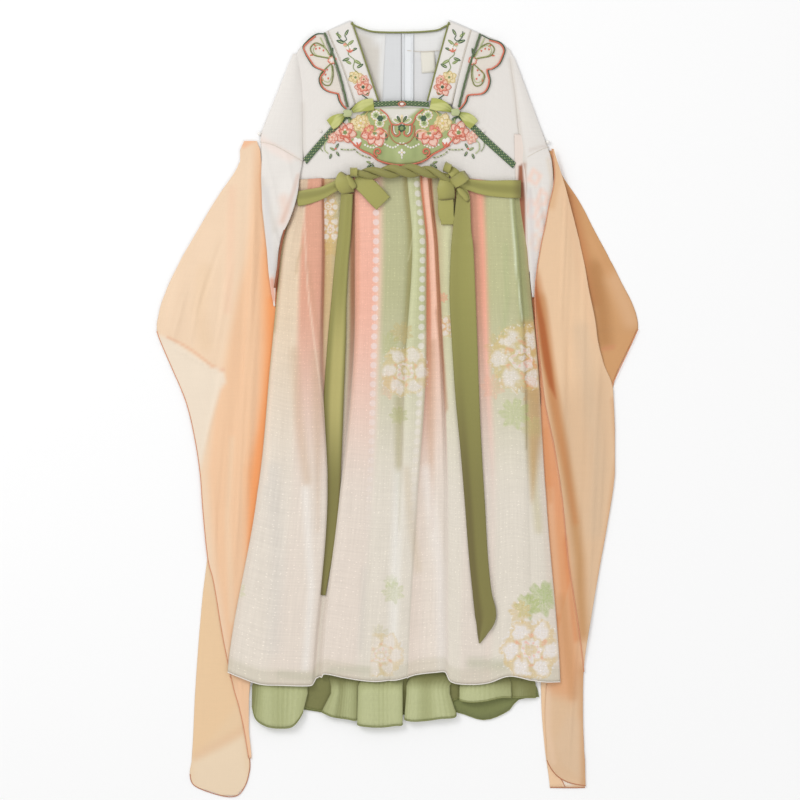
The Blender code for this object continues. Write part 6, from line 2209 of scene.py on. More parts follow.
@dataclass
class Bodice:
    """High bodice: back halves with a zip, shirt fronts, collar bands and the chest panel.

    Attributes:
        seam_steps: Steps along its seams.
    """

    seam_steps: int = 40

    def white(self, node: str, grid: Grid, base: Colour = IVORY,
              dyes_and_shade: Sequence[Wash | Field] = WHITE_PRINT_AND_SHADE) -> None:
        """Lay one lined white cloth.

        Args:
            node: Solid piece that it stands for, which also names it.
            grid: Rows of points on its underside.
            base: Its own colour.
            dyes_and_shade: Strokes of dye, print and painted shade over it.
        """
        cloth(node + "_cloth", grid, COTTON, [node], LINED, painter(base, dyes_and_shade))

    def shoulder_fronts(self) -> None:
        """Make the shirt fronts beside the collar bands."""
        left_outer = ((-129.5, 697), (-101.5, 630), (-78, 560))
        right_outer = ((136.5, 699), (117.5, 630), (101, 556))
        left = ruled_grid(((-187.1, 654.5), (-173.6, 672.4), (-129.5, 697)),
                          ((-175.1, 457), (-136, 502), (-96.5, 544), (-78, 560)), 30, 36, bodice_height,
                          (ARMHOLE_LEFT, left_outer))
        right = ruled_grid(((136.5, 699), (152, 692.6), (189, 677), (203.4, 666)),
                           ((101, 556), (111, 549), (135, 529), (172, 493), (219.6, 450)), 30, 36,
                           bodice_height, (right_outer, ARMHOLE_RIGHT))
        self.white("shirt_front_left", left)
        self.white("shirt_front_right", right)

    def collar(self) -> None:
        """Make the two collar bands."""
        left = ruled_grid(((-129, 697.4), (-86, 715)), ((-77, 561), (-37, 568)), 12, 36, bodice_height,
                          (BAND_OUTER_LEFT, BAND_INNER_LEFT))
        right = ruled_grid(((97, 715), (136, 699.4)), ((57, 568), (100, 561)), 12, 36, bodice_height,
                           (BAND_INNER_RIGHT, BAND_OUTER_RIGHT))
        self.white("collar_left", left)
        self.white("collar_right", right)

    def back(self) -> None:
        """Make both halves of the back, parted by the zip."""
        zip_left, zip_right = ZIP_LINE - 0.5 * SEAM, ZIP_LINE + 0.5 * SEAM
        left_top = SHOULDER_LEFT + tuple(p for p in BACK_NECK if p[0] < zip_left) + ((zip_left, ZIP_TOP),)
        right_top = (((zip_right, ZIP_TOP),) + tuple(p for p in BACK_NECK if p[0] > zip_right)
                     + SHOULDER_RIGHT)
        left = ruled_grid(left_top, ((-188, WAIST), (zip_left, WAIST)), 40, 16, on_surface,
                          (SIDE_LEFT, ((zip_left, ZIP_TOP), (zip_left, WAIST))))
        right = ruled_grid(right_top, ((zip_right, WAIST), (229, WAIST)), 40, 16, on_surface,
                           (((zip_right, ZIP_TOP), (zip_right, WAIST)), SIDE_RIGHT))
        self.white("bodice_back_left", left, NECK_WHITE, NECK_SHADES)
        self.white("bodice_back_right", right, NECK_WHITE, NECK_SHADES)

    def neck(self) -> None:
        """Make what shows inside the neck: zip tape, its guard and a bare label."""
        tape = ruled_grid(((8.5, 692), (30, 692)), ((8.5, 440), (30, 440)), 8, 24, on_back)
        guard = ruled_grid(((-22, 692), (7.6, 692)), ((-34, 440), (7.6, 440)), 8, 24, on_back)
        label = ruled_grid(((43, 659), (68, 661)), ((45, 619), (72, 621)), 6, 8, on_back)
        cloth("zip_tape_cloth", tape, ZIP_WHITE, ["zip_tape"],
              LINED)
        cloth("zip_guard_cloth", guard, PLAIN_WHITE, ["zip_guard"],
              LINED)
        cloth("neck_label_cloth", label, LABEL, ["neck_label"],
              0.6)

    def seams(self) -> None:
        """Sew the joins beside the collar bands, the facing inside the neck and the zip's edges."""
        runs = (("collar_left_seam", BAND_OUTER_LEFT, 0.8, bodice_height, 1.6),
                ("collar_right_seam", BAND_OUTER_RIGHT, 0.8, bodice_height, 1.6),
                ("facing_seam", ((18, 661), (50, 659), (84, 662)), 0.5, on_back, 1.8),
                ("zip_edge_left", ((10.5, 692), (10.5, 560)), 1.3, on_back, 3.2),
                ("zip_edge_right", ((27.5, 690), (27.5, 560)), 1.3, on_back, 3.2))
        for name, line, radius, height, rise in runs:
            thread = Thread.SILVER if name.startswith("zip") else Thread.SAND
            cord(name, laid(along(line, self.seam_steps), height, rise), Twine(radius, flat=0.6),
                 thread.finish("ivory_cloth"))

    def panel(self) -> None:
        """Make the chest panel."""
        grid = ruled_grid(CHEST_TOP, CHEST_SEAM, 88, 30, bodice_height)
        self.white("chest_panel", grid)

    def build(self) -> None:
        """Make the whole bodice."""
        self.back()
        self.neck()
        self.shoulder_fronts()
        self.collar()
        self.panel()
        self.seams()
        LOG.info("bodice built")


@dataclass
class Belt:
    """Olive satin belt: bands, twist, wrapped knots, carriers, loops and long tails.

    Attributes:
        across: Steps across its straps.
        strand: Section of one strand of the twist.
        turns: Turns of the twist.
        start: Turn of its first strand at its left end, in radians.
        steps: Steps along it.
        trimmed: Steps by which the dark groove cords of painted shadow are shorter at each end.
    """

    across: int = 14
    strand: Twine = Twine(5.6, 20, 2, 0.004, 0.05, 0.74, 0.40)
    turns: float = 2.4
    start: float = 0.6
    steps: int = 120
    trimmed: int = 6

    def strap(self, name: str, nodes: Sequence[str], stations: Sequence[Station],
              crown: float, paint: Paint, ripple: Ripple | None = None) -> None:
        """Lay one strap or fold of the belt.

        Args:
            name: Name of the piece.
            nodes: Solid pieces that it stands for.
            stations: Its centres and half widths.
            crown: How far its middle is lifted.
            paint: Its dye, with painted light and shade.
            ripple: Its creases.
        """
        grid = strap_grid(stations, 8, self.across, crown, ripple)
        cloth(name, grid, BELT_SATIN, nodes, LINED, paint)

    def tail_paint(self, u: float, v: float, point: Vector) -> Colour:
        """Give the tails' dye with painted light: lit on the right, painted shade on the left, and darker
        further down.
        """
        low = smooth_step((120.0 - point.y) / 330.0)
        side = smooth_step((0.50 - u) / 0.30)
        colour = blend(OLIVE, OLIVE_LIT, 0.6 * smooth_step((point.y - 20.0) / 300.0))
        colour = blend(colour, OLIVE_SHADED, 0.45 * low)
        return blend(colour, OLIVE_SHADED, (0.15 + 0.6 * low) * side)

    def left_tail_paint(self, u: float, v: float, point: Vector) -> Colour:
        """Give the left tail's dye: a painted sheen on its middle, darker towards its ends and painted
        shade along its sides.
        """
        sheen = smooth_step((250.0 - point.y) / 160.0) * smooth_step((point.y + 150.0) / 170.0)
        middle = smooth_step((u - 0.12) / 0.3) * smooth_step((1.0 - u) / 0.25)
        colour = blend(self.tail_paint(u, v, point), OLIVE_SHEEN, 0.8 * sheen * middle)
        return blend(colour, OLIVE_SHADED, 0.5 * smooth_step((u - 0.86) / 0.12))

    def left_ripple(self, t: float, u: float) -> float:
        """Give the creases of the left tail."""
        return 0.9 * cos(pi * (u * 1.3 + 1.1 * t)) * smooth_step(t / 0.08)

    def right_ripple(self, t: float, u: float) -> float:
        """Give the creases of the right tail, with a kink above its middle."""
        kink = 1.6 * smooth_step(1.0 - abs(t - 0.27) / 0.03)
        drape = smooth_step(t / 0.10) * smooth_step((0.42 - t) / 0.2)
        return 1.1 * cos(pi * (u * 1.1 + 1.7 * t)) * smooth_step(t / 0.08) + kink + 2.2 * drape * abs(u)

    def band_paint(self, u: float, v: float, point: Vector) -> Colour:
        """Give the bands' dye with a painted highlight on their upper fold and painted shade where the
        right one goes under.
        """
        colour = blend(OLIVE, OLIVE_LIT, smooth_step(0.5 + 0.5 * sin(2.2 * pi * u + 1.5 * v)))
        return blend(colour, OLIVE_SHADED, 0.7 * smooth_step((point.x - 208.0) / 20.0))

    def fold_paint(self, u: float, v: float, point: Vector) -> Colour:
        """Give the dye of a fold over a knot, with painted light on one side and painted shade where its
        ends go under.
        """
        lit = blend(OLIVE, OLIVE_LIT, smooth_step(1.2 - u))
        return blend(OLIVE_SHADED, lit, smooth_step(min(v, 1.0 - v) / 0.16))

    def loop_paint(self, u: float, v: float, point: Vector) -> Colour:
        """Give the dye of a bow loop, with painted shade on the layer beneath and painted light on the one
        above.
        """
        return blend(OLIVE_SHADED, OLIVE_LIT, smooth_step((v - 0.38) / 0.16))

    def twist(self) -> None:
        """Lay the two strands of the twisted belt, each with a dark cord of painted shadow in its groove.
        """
        centre = along(TWIST_RUN, self.steps)
        offset = STRAND_RADIUS + 0.35
        middle = TWIST_FLOOR + offset + STRAND_RADIUS - 0.4
        for k, name in enumerate(("belt_strand_a", "belt_strand_b")):
            path = []
            for i, spot in enumerate(centre):
                share = i / self.steps
                swell = 0.62 + 0.38 * sin(pi * min(max(share * 1.1, 0.0), 1.0))
                angle = tau * (self.turns * share + 0.5 * k) + self.start
                path.append(Vector((spot.x, spot.y + 1.15 * swell * offset * cos(angle),
                                    middle + 0.75 * offset * sin(angle))))
            cord(name + "_satin", path, self.strand, STRAND_SATIN, [name])
            groove = []
            for i, spot in enumerate(centre[self.trimmed:-self.trimmed]):
                share = (i + self.trimmed) / self.steps
                angle = tau * (self.turns * share + 0.5 * k + 0.25) + self.start
                groove.append(Vector((spot.x, spot.y + self.strand.radius * 1.02 * cos(angle),
                                      middle + self.strand.radius * 0.80 * sin(angle))))
            # a dark cord in the groove between the strands, as painted shadow
            cord(name + "_groove_shadow", groove, Twine(0.75), SHADOW_SATIN)

    def build(self) -> None:
        """Make the whole belt."""
        self.strap("belt_left_cloth", ["belt_left"], BELT_LEFT_RUN, 2.2,
                   self.band_paint)
        self.strap("belt_right_cloth", ["belt_right"], BELT_RIGHT_RUN, 2.0,
                   self.band_paint)
        self.strap("tail_left_cloth", ["tail_left"], TAIL_LEFT, 0.6,
                   self.left_tail_paint, self.left_ripple)
        self.strap("tail_right_cloth", ["tail_right"], TAIL_RIGHT_RUN, 0.6,
                   self.tail_paint, self.right_ripple)
        self.twist()
        for name, nodes, crown, stations in BELT_FOLDS:
            self.strap(name, nodes, stations, crown, self.fold_paint)
        for name, node, stations, gap, swell, slide in BELT_LOOPS:
            ribbon_loop(name, stations, gap, swell, BELT_SATIN, [node],
                        self.loop_paint, slide=slide)
        LOG.info("belt built")


class Needlework:
    """Embroidery of one place: petals, leaves, stems and beads over the cloth below them."""

    def __init__(self, name: str, level: Height) -> None:
        """Start an empty piece.

        Args:
            name: Name of the piece.
            level: Top of the cloth that it is sewn on.
        """
        self.name = name
        self.level = level
        self.threads: list[Thread] = []
        self.whole = bmesh.new()
        self.whole.loops.layers.uv.new("cloth")
        self.count = 0
        self.open_patch()

    def open_patch(self) -> None:
        """Start a small mesh for the next few stitches, which keeps the operators quick."""
        self.mesh = bmesh.new()
        self.uv = self.mesh.loops.layers.uv.new("cloth")

    def close_patch(self) -> None:
        """Add the small mesh to the whole embroidery."""
        patch = bpy.data.meshes.new("patch")
        self.mesh.to_mesh(patch)
        self.mesh.free()
        self.whole.from_mesh(patch)
        bpy.data.meshes.remove(patch)

    def turn_patch(self) -> None:
        """Count a stitch, and start a new small mesh after every fortieth."""
        self.count += 1
        if self.count % 40 == 0:
            self.close_patch()
            self.open_patch()

    def index(self, thread: Thread) -> int:
        """Give the material index of a thread."""
        if thread not in self.threads:
            self.threads.append(thread)
        return self.threads.index(thread)

    def petal(self, x: float, y: float, heading: float, length: float, width: float, thread: Thread,
              lift: float = 0.0, blunt: float = 0.3, fine: bool = True) -> None:
        """Sew one padded petal or leaf.

        Args:
            x: Place of its foot across.
            y: Place of its foot up.
            heading: Direction that it points in, in degrees from +X.
            length: Its length.
            width: Its widest width.
            thread: Its colour.
            lift: How far it lies over other stitches.
            blunt: How much wider it is towards its tip; below 0 it is wider at its foot.
            fine: False for a small stitch with few faces.
        """
        self.turn_patch()
        made = bmesh.ops.create_uvsphere(self.mesh, u_segments=10 if fine else 6,
                                         v_segments=7 if fine else 4, radius=0.5)["verts"]
        ahead = Vector((cos(radians(heading)), sin(radians(heading)), 0.0))
        side = Vector((-ahead.y, ahead.x, 0.0))
        index = self.index(thread)
        padding = min(0.9, 0.35 + 0.12 * width)
        for vert in made:
            t = 2.0 * vert.co.z
            across = vert.co.x * width * (1.0 + blunt * t)
            along_it = (vert.co.z + 0.5) * length
            for loop in vert.link_loops:
                loop[self.uv].uv = (across * MM, along_it * MM)
            up = lift + vert.co.y * 2.0 * padding
            spot = Vector((x, y, 0.0)) + ahead * along_it + side * across
            vert.co = (spot.x, spot.y, self.level(spot.x, spot.y) + up)
        for face in {face for vert in made for face in vert.link_faces}:
            face.material_index = index

    def ring(self, x: float, y: float, radius: float, count: int, thread: Thread, turn: float = 0.0,
             inner: float = 0.2, fat: float = 1.0, lift: float = 0.0, spread: float = 360.0) -> None:
        """Sew a ring of petals.

        Args:
            x: Place of its middle across.
            y: Place of its middle up.
            radius: Reach of the petals.
            count: Number of petals.
            thread: Their colour.
            turn: Direction of the first.
            inner: Where they begin, as a share of the radius.
            fat: Their width as a share of the space that each has.
            lift: How far they lie over other stitches.
            spread: Angle that the ring covers.
        """
        width = fat * tau * radius * 0.72 / count * (spread / 360.0)
        gaps = count if spread >= 360.0 else count - 1
        for k in range(count):
            heading = turn + spread * k / max(gaps, 1)
            foot = radius * inner
            self.petal(x + foot * cos(radians(heading)), y + foot * sin(radians(heading)), heading,
                       radius - foot, width, thread, lift)

    def bloom(self, x: float, y: float, radius: float, edge: Thread, fill: Thread, heart: Thread,
              turn: float = 0.0, spread: float = 360.0) -> None:
        """Sew a full flower of two uneven rings of outlined petals.

        Args:
            x: Place of its middle across.
            y: Place of its middle up.
            radius: Its radius.
            edge: Thread of its outlines and streaks.
            fill: Thread of its petals.
            heart: Thread of its stamens.
            turn: Direction of its first petal.
            spread: Angle that it covers; 180 is a flower seen from the side.
        """
        share = spread / 360.0
        core = Thread.ROSE if edge is Thread.CORAL else fill
        for reach, lift, start, count in ((1.0, 0.0, 0.0, max(round(6 * share), 4)),
                                          (0.62, 0.8, 28.0, max(round(5 * share), 3))):
            for k in range(count):
                heading = turn + start + spread * k / (count if spread >= 360.0 else count - 1)
                size = radius * reach * (1.0 + 0.09 * sin(4.0 * k + turn))
                self.petal(x, y, heading, size, size * 0.86, core if lift else fill, lift, 0.4)
                self.petal(x, y, heading, size * 0.72, size * 0.42, Thread.WHITE if k % 2 else Thread.BLUSH,
                           lift + 0.15, 0.3)
                rim = []
                for off in (-30.0, -24.0, -14.0, 0.0, 14.0, 24.0, 30.0):
                    away = size * (1.02 - 0.00052 * off * off + 0.035 * cos(radians(off * 14.0)))
                    spot = radians(heading + off)
                    rim.append((x + away * cos(spot), y + away * sin(spot)))
                self.stem(rim, max(0.034 * radius, 0.45), edge, lift + 0.45, 2)
                for off in (-9.0, 9.0):
                    spot = radians(heading + off)
                    self.petal(x + 0.3 * size * cos(spot), y + 0.3 * size * sin(spot), heading + off,
                               size * 0.36, 0.05 * size, edge, lift + 0.45, 0.0, False)
        self.ring(x, y, radius * 0.19, 5, heart, turn, 0.0, 1.2, 1.7, spread)
        self.ring(x, y, radius * 0.34, 9, Thread.CREAM, turn, 0.5, 0.4, 1.5, spread)

    def bud(self, x: float, y: float, radius: float, heading: float, tip: Thread, cup: Thread) -> None:
        """Sew a closed bud in its cup.

        Args:
            x: Place of its foot across.
            y: Place of its foot up.
            radius: Half its length.
            heading: Direction that it points in.
            tip: Thread of its petals.
            cup: Thread of its sepals.
        """
        for lean, size in ((-26.0, 0.85), (26.0, 0.85), (0.0, 1.0)):
            self.petal(x, y, heading + lean, 2.0 * radius * size, radius * 0.95, tip, 0.2)
        for lean in (-48.0, 0.0, 48.0):
            self.petal(x, y, heading + lean, 1.15 * radius, radius * 0.42, cup, 0.7, -0.2)

    def leaf(self, x: float, y: float, heading: float, length: float, thread: Thread,
             vein: Thread | None = None, width: float = 0.42) -> None:
        """Sew a leaf with its vein.

        Args:
            x: Place of its foot across.
            y: Place of its foot up.
            heading: Direction that it points in.
            length: Its length.
            thread: Its colour.
            vein: Colour of the vein, if it has one.
            width: Its width as a share of its length.
        """
        self.petal(x, y, heading, length, length * width, thread, 0.0, -0.15)
        if vein:
            self.petal(x, y, heading, length * 0.85, length * width * 0.28, vein, 0.55, -0.2)

    def stem(self, points: Sequence[Point], radius: float, thread: Thread, lift: float = 0.0,
             steps: int = 6) -> None:
        """Couch a cord along a smooth curve.

        Args:
            points: Places that it goes through.
            radius: Its radius.
            thread: Its colour.
            lift: How far it lies over other stitches.
            steps: Steps between each place and the next.
        """
        path = laid(flat_spline(points, steps), self.level, 0.5 * radius + lift)
        self.turn_patch()
        tube(self.mesh, path, Twine(radius, 6, 2, 0.12, 0.18), self.index(thread))

    def curl(self, x: float, y: float, radius: float, start: float, turns: float, cord_radius: float,
             thread: Thread, lift: float = 0.3) -> None:
        """Couch a cord in a spiral.

        Args:
            x: Place of its middle across.
            y: Place of its middle up.
            radius: Its reach.
            start: Direction of its outer end.
            turns: Number of turns; below 0 it turns clockwise.
            cord_radius: Radius of the cord.
            thread: Its colour.
            lift: How far it lies over other stitches.
        """
        places = []
        for k in range(15):
            t = k / 14.0
            angle = radians(start + 360.0 * turns * t)
            reach = radius * (1.0 - 0.82 * t)
            places.append((x + reach * cos(angle), y + reach * sin(angle)))
        self.stem(places, cord_radius, thread, lift, 2)

    def spaced(self, points: Sequence[Point], pitch: float, least: int) -> list[Vector]:
        """Place stitches at even distances along a smooth curve.

        Args:
            points: Places that it goes through.
            pitch: Distance from one stitch to the next.
            least: Least number of steps.

        Returns:
            The places.
        """
        path = flat_spline(points)
        return even(path, max(int(sum((b - a).length for a, b in zip(path, path[1:])) / pitch), least))

    def dashes(self, points: Sequence[Point], pitch: float, length: float, width: float,
               threads: Sequence[Thread], lift: float = 0.0) -> None:
        """Sew a row of separate stitches along a smooth curve.

        Args:
            points: Places that it goes through.
            pitch: Distance from one stitch to the next.
            length: Length of a stitch.
            width: Its width.
            threads: Colours, used in turn.
            lift: How far they lie over other stitches.
        """
        spots = self.spaced(points, pitch, 2)
        for k, (a, b) in enumerate(zip(spots, spots[1:])):
            if width > 2.4:
                end = a.lerp(b, length / pitch)
                self.stem(((a.x, a.y), (end.x, end.y)), 0.5 * width, threads[k % len(threads)], lift)
                continue
            heading = Vector((1.0, 0.0)).angle_signed((b - a).xy, 0.0) * -180.0 / pi
            self.petal(a.x, a.y, heading, length, width, threads[k % len(threads)], lift, 0.0, False)

    def beads(self, points: Sequence[Point], pitch: float, radius: float, thread: Thread,
              lift: float = 0.0) -> None:
        """Sew a string of small beads along a smooth curve.

        Args:
            points: Places that it goes through.
            pitch: Distance from one bead to the next.
            radius: Radius of a bead.
            thread: Its colour.
            lift: How far they lie over other stitches.
        """
        for spot in self.spaced(points, pitch, 1):
            self.petal(spot.x - radius, spot.y, 0.0, 2.0 * radius, 2.0 * radius, thread, lift, 0.0,
                       radius > 1.2)

    def finish(self, slot: str) -> bpy.types.Object:
        """Close the piece.

        Args:
            slot: The record's material slot.

        Returns:
            The embroidery.
        """
        self.close_patch()
        return new_piece(self.name, self.whole, [thread.finish(slot) for thread in self.threads])


def ribbon_loop(name: str, stations: Sequence[Station], gap: float, swell: float, finish: Finish,
                nodes: Sequence[str], paint: Paint | None, across: int = 12,
                slide: float = 0.0) -> None:
    """Fold a ribbon out from a knot and back over itself.

    Args:
        name: Name of the piece.
        stations: Centres and half widths, from the knot outwards.
        gap: Height between its two layers.
        swell: How far the upper layer puffs up.
        finish: Its finish.
        nodes: Solid pieces that it stands for.
        paint: Its dye, with painted light and shade.
        across: Steps across it.
        slide: How far the upper layer lies to the left of the lower one.
    """
    lower = strap_grid(stations, 8, across)
    start = Vector((stations[0].x, stations[0].y, stations[0].z))
    if (lower[0][across // 2] - start).length > (lower[-1][across // 2] - start).length:
        lower = lower[::-1]
    half = across // 2
    out = (lower[-1][half] - lower[-2][half]).normalized()
    turn = []
    for k in range(1, 8):
        angle = pi * k / 8.0
        step = out * (0.9 * gap * sin(angle)) + Vector((0.0, 0.0, 0.5 * gap * (1.0 - cos(angle))))
        turn.append([point + step for point in lower[-1]])
    upper = []
    for k, line in enumerate(lower[::-1]):
        share = k / (len(lower) - 1)
        rise = gap * (1.0 - 0.75 * share ** 3) + swell * sin(pi * min(share * 1.15, 1.0))
        upper.append([point + Vector((-slide * smooth_step(share * 2.5), 0.0,
                                      rise * (1.0 - 0.22 * ((i - half) / half) ** 2)))
                      for i, point in enumerate(line)])
    piece = cloth(name, lower + turn + upper, finish, nodes, CHIFFON, paint, lift=0.4)
    piece.modifiers["thickness"].offset = 0.0


@dataclass
class Trims:
    """Everything sewn on the bodice: wings, ropes, pipings, braids, medallion, flowers and bows.

    Attributes:
        axis: Middle of the mirrored needlework.
        piping: Section of the piping round the neck.
        flowers: Full flowers of the medallion: across from the axis, up, radius, kind.
    """

    axis: float = 8.0
    piping: Twine = Twine(1.6, 10)
    flowers: tuple[tuple[float, float, float, str], ...] = (
        (129.0, 500.0, 12.0, "pink"), (76.0, 526.0, 17.0, "yellow"), (105.0, 509.0, 20.0, "coral"))

    def top(self, x: float, y: float) -> float:
        """Give the top of the bodice cloth."""
        return bodice_height(x, y) + SHELL_LIFT + LINED

    def sheer_top(self, x: float, y: float) -> float:
        """Give the top of a thin cloth over the bodice: the medallion's satin or a wing."""
        return over_bodice(x, y) + SHELL_LIFT + CHIFFON

    def wings(self) -> None:
        """Make the shoulder wings with their scalloped cords and sewn loops."""
        plans = (("left", WING_LEFT, CORD_LEFT, 1), ("right", WING_RIGHT, CORD_RIGHT, -1))
        for side, wing, rope, sign in plans:
            outer = along(wing, 60)
            inner = [Vector((p.x - sign * 3.4, p.y, 0.0)) for p in along(rope, 60)]
            left, right = (outer, inner) if side == "left" else (inner, outer)
            grid = []
            for a, b in zip(left, right):
                grid.append(laid([a.lerp(b, i / 14) for i in range(15)], over_bodice))
            cloth("wing_%s_cloth" % side, grid, SHEER, ["wing_" + side],
                  CHIFFON)
            cord("shoulder_cord_%s_rope" % side, laid(along(rope, 60), over_bodice, 2.3),
                 Twine(2.3, 10, 3, 0.12, 0.22), Thread.FERN.finish("dark_green_braid"),
                 ["shoulder_cord_" + side])
            work = Needlework("wing_%s_needlework" % side, self.sheer_top)
            edge = [(p[0] + sign * 0.4, p[1]) for p in wing]
            lining = [(p[0] + sign * (2.6 if k > 2 else 1.5), p[1] - (2.2 if k < 4 else 0.0))
                      for k, p in enumerate(wing)]
            work.stem(edge, 1.3, Thread.PINE, 0.2)
            work.stem(lining[1:], 1.7, Thread.CORAL, 0.3)
            self.wing_flowers(work, side, sign)
            work.finish("coral_cord")

    def wing_flowers(self, work: Needlework, side: str, sign: int) -> None:
        """Sew the loops, dots and flower of one wing.

        Args:
            work: The needlework that they are added to.
            side: The side of the body.
            sign: 1 for the left wing, -1 for the right.
        """
        x0, y0 = (-121.0, 643.0) if side == "left" else (139.0, 642.0)
        loops = (((-2, 6), (-14, 24), (-30, 32), (-40, 22), (-34, 10), (-20, 6), (-4, 3)),
                 ((-1, -6), (-12, -16), (-22, -28), (-16, -44), (-4, -46), (2, -30), (1, -10)),
                 ((-6, 10), (-16, 30), (-22, 42)))
        for shape, thread in zip(loops, (Thread.MOSS, Thread.MOSS, Thread.PALE_GREEN)):
            points = [(x0 + sign * dx, y0 + dy) for dx, dy in shape]
            work.stem(points, 1.2, thread, 0.2)
            inside = [(x0 + sign * (dx * 0.82 - 2.0), y0 + dy * 0.82 + (2.0 if dy > 0 else -2.0))
                      for dx, dy in shape]
            if thread is Thread.MOSS:
                work.stem(inside, 0.8, Thread.PALE_GREEN, 0.2)
        for dx, dy in ((-16, 16), (-23, 20), (-30, 19), (-9, -20), (-12, -29), (-7, -36)):
            work.petal(x0 + sign * dx, y0 + dy, 90.0, 4.0, 3.4, Thread.CORAL, 0.3)
        for dx, dy, lean in ((-33, 30, 150), (-39, 12, 190), (-18, -20, 240), (-20, -38, 260)):
            heading = lean if sign > 0 else 180.0 - lean
            work.leaf(x0 + sign * dx * 0.86, y0 + dy * 0.86, heading, 8.0, Thread.CORAL)
        work.ring(x0, y0, 8.5, 6, Thread.CORAL, 15.0, 0.1, 1.1, 0.4)
        work.ring(x0, y0, 6.8, 6, Thread.BLUSH, 15.0, 0.1, 1.0, 0.9)
        work.ring(x0, y0, 4.2, 5, Thread.WHITE, 40.0, 0.0, 1.0, 1.4)
        work.beads(((x0 - 3.0, y0 - 1.0), (x0 + 3.0, y0 + 2.0)), 3.0, 1.4, Thread.WHITE, 2.0)
        work.leaf(x0 - sign * 2.0, y0 + 8.0, 90.0 - sign * 12.0, 16.0, Thread.PINE, Thread.MOSS, 0.3)
        work.leaf(x0 - sign * 1.0, y0 - 8.0, 270.0 + sign * 10.0, 13.0, Thread.LEAF, Thread.PINE, 0.3)

    def collars(self) -> None:
        """Sew a flower sprig down the middle of each collar band, and the piping round the neck."""
        moss = Thread.MOSS.finish("olive_satin")
        for side, bands in (("left", (BAND_OUTER_LEFT, BAND_INNER_LEFT)),
                            ("right", (BAND_INNER_RIGHT, BAND_OUTER_RIGHT))):
            outer, inner = (along(b, 40) for b in bands)
            middle = [a.lerp(b, 0.5) for a, b in zip(outer, inner)]
            sign = 1.0 if side == "left" else -1.0
            work = Needlework("collar_%s_needlework" % side, self.top)

            def spot(share: float, off: float) -> Point:
                """Give the place at a share of the band's length, off its middle."""
                p = middle[round(share * 40)]
                return (p.x + sign * off, p.y)

            work.stem([spot(0.08, -7), spot(0.14, -9), spot(0.19, -3), spot(0.17, 4), spot(0.13, 3)], 0.9,
                      Thread.PINE)
            work.stem([spot(0.19, -3), spot(0.28, 3), spot(0.37, -3), spot(0.46, 4), spot(0.55, -3),
                       spot(0.62, 3)], 0.8, Thread.LEAF)
            for share, off, heading, length, thread in (
                    (0.13, 8, 60, 13, Thread.PINE), (0.16, -10, 140, 13, Thread.LEAF),
                    (0.23, -8, 160, 15, Thread.PINE), (0.25, 6, 40, 14, Thread.LEAF),
                    (0.33, 8, 20, 13, Thread.PINE), (0.42, -8, 200, 14, Thread.PINE),
                    (0.46, 8, 330, 15, Thread.LEAF), (0.50, -9, 150, 13, Thread.LEAF),
                    (0.55, 8, 30, 14, Thread.PINE), (0.62, -10, 215, 12, Thread.PINE)):
                x, y = spot(share, off * 0.45)
                work.leaf(x, y, heading if side == "left" else 180 - heading, length, thread,
                          Thread.PALE_GREEN)
            work.bud(*spot(0.36, 1), 7.5, 90.0, Thread.WHITE, Thread.CORAL)
            work.bud(*spot(0.27, -3), 4.0, 100.0, Thread.ROSE, Thread.PALE_GREEN)
            work.bloom(*spot(0.67, -5), 12.5, Thread.YELLOW, Thread.CREAM, Thread.LEAF, 20.0)
            work.bloom(*spot(0.80, 3), 16.0, Thread.CORAL, Thread.BLUSH, Thread.PINE, 0.0)
            work.bloom(*spot(0.71, 9), 8.5, Thread.ROSE, Thread.BLUSH, Thread.MOSS, 50.0)
            work.stem([spot(0.90, -4), spot(0.94, 4), spot(0.97, 6), spot(0.985, 1), spot(0.96, -1)], 1.1,
                      Thread.PINE)
            work.leaf(*spot(0.90, 2), 30.0 if side == "left" else 150.0, 10.0, Thread.LEAF, Thread.PINE)
            edge = [a.lerp(b, 0.06 if side == "left" else 0.94) for a, b in zip(outer, inner)]
            work.dashes([(p.x, p.y) for p in edge[1:40]], 2.6, 1.9, 0.5, (Thread.SAND,))
            work.finish("ivory_cloth")
            path = []
            for p in along(BAND_INNER_LEFT if side == "left" else BAND_INNER_RIGHT, 40):
                height = max(bodice_height(p.x, p.y) + 0.6, LAYER + 1.8)
                path.append(Vector((p.x + sign * 2.0, p.y - 1.0, height)))
            cord("neck_piping_%s_cord" % side, path, self.piping, moss, ["neck_piping_" + side])
        rim = [Vector((p.x, p.y - 1.2, LAYER + 1.8)) for p in along(BACK_NECK, 60)]
        cord("neck_piping_back_cord", rim, self.piping, moss, ["neck_piping_back"])

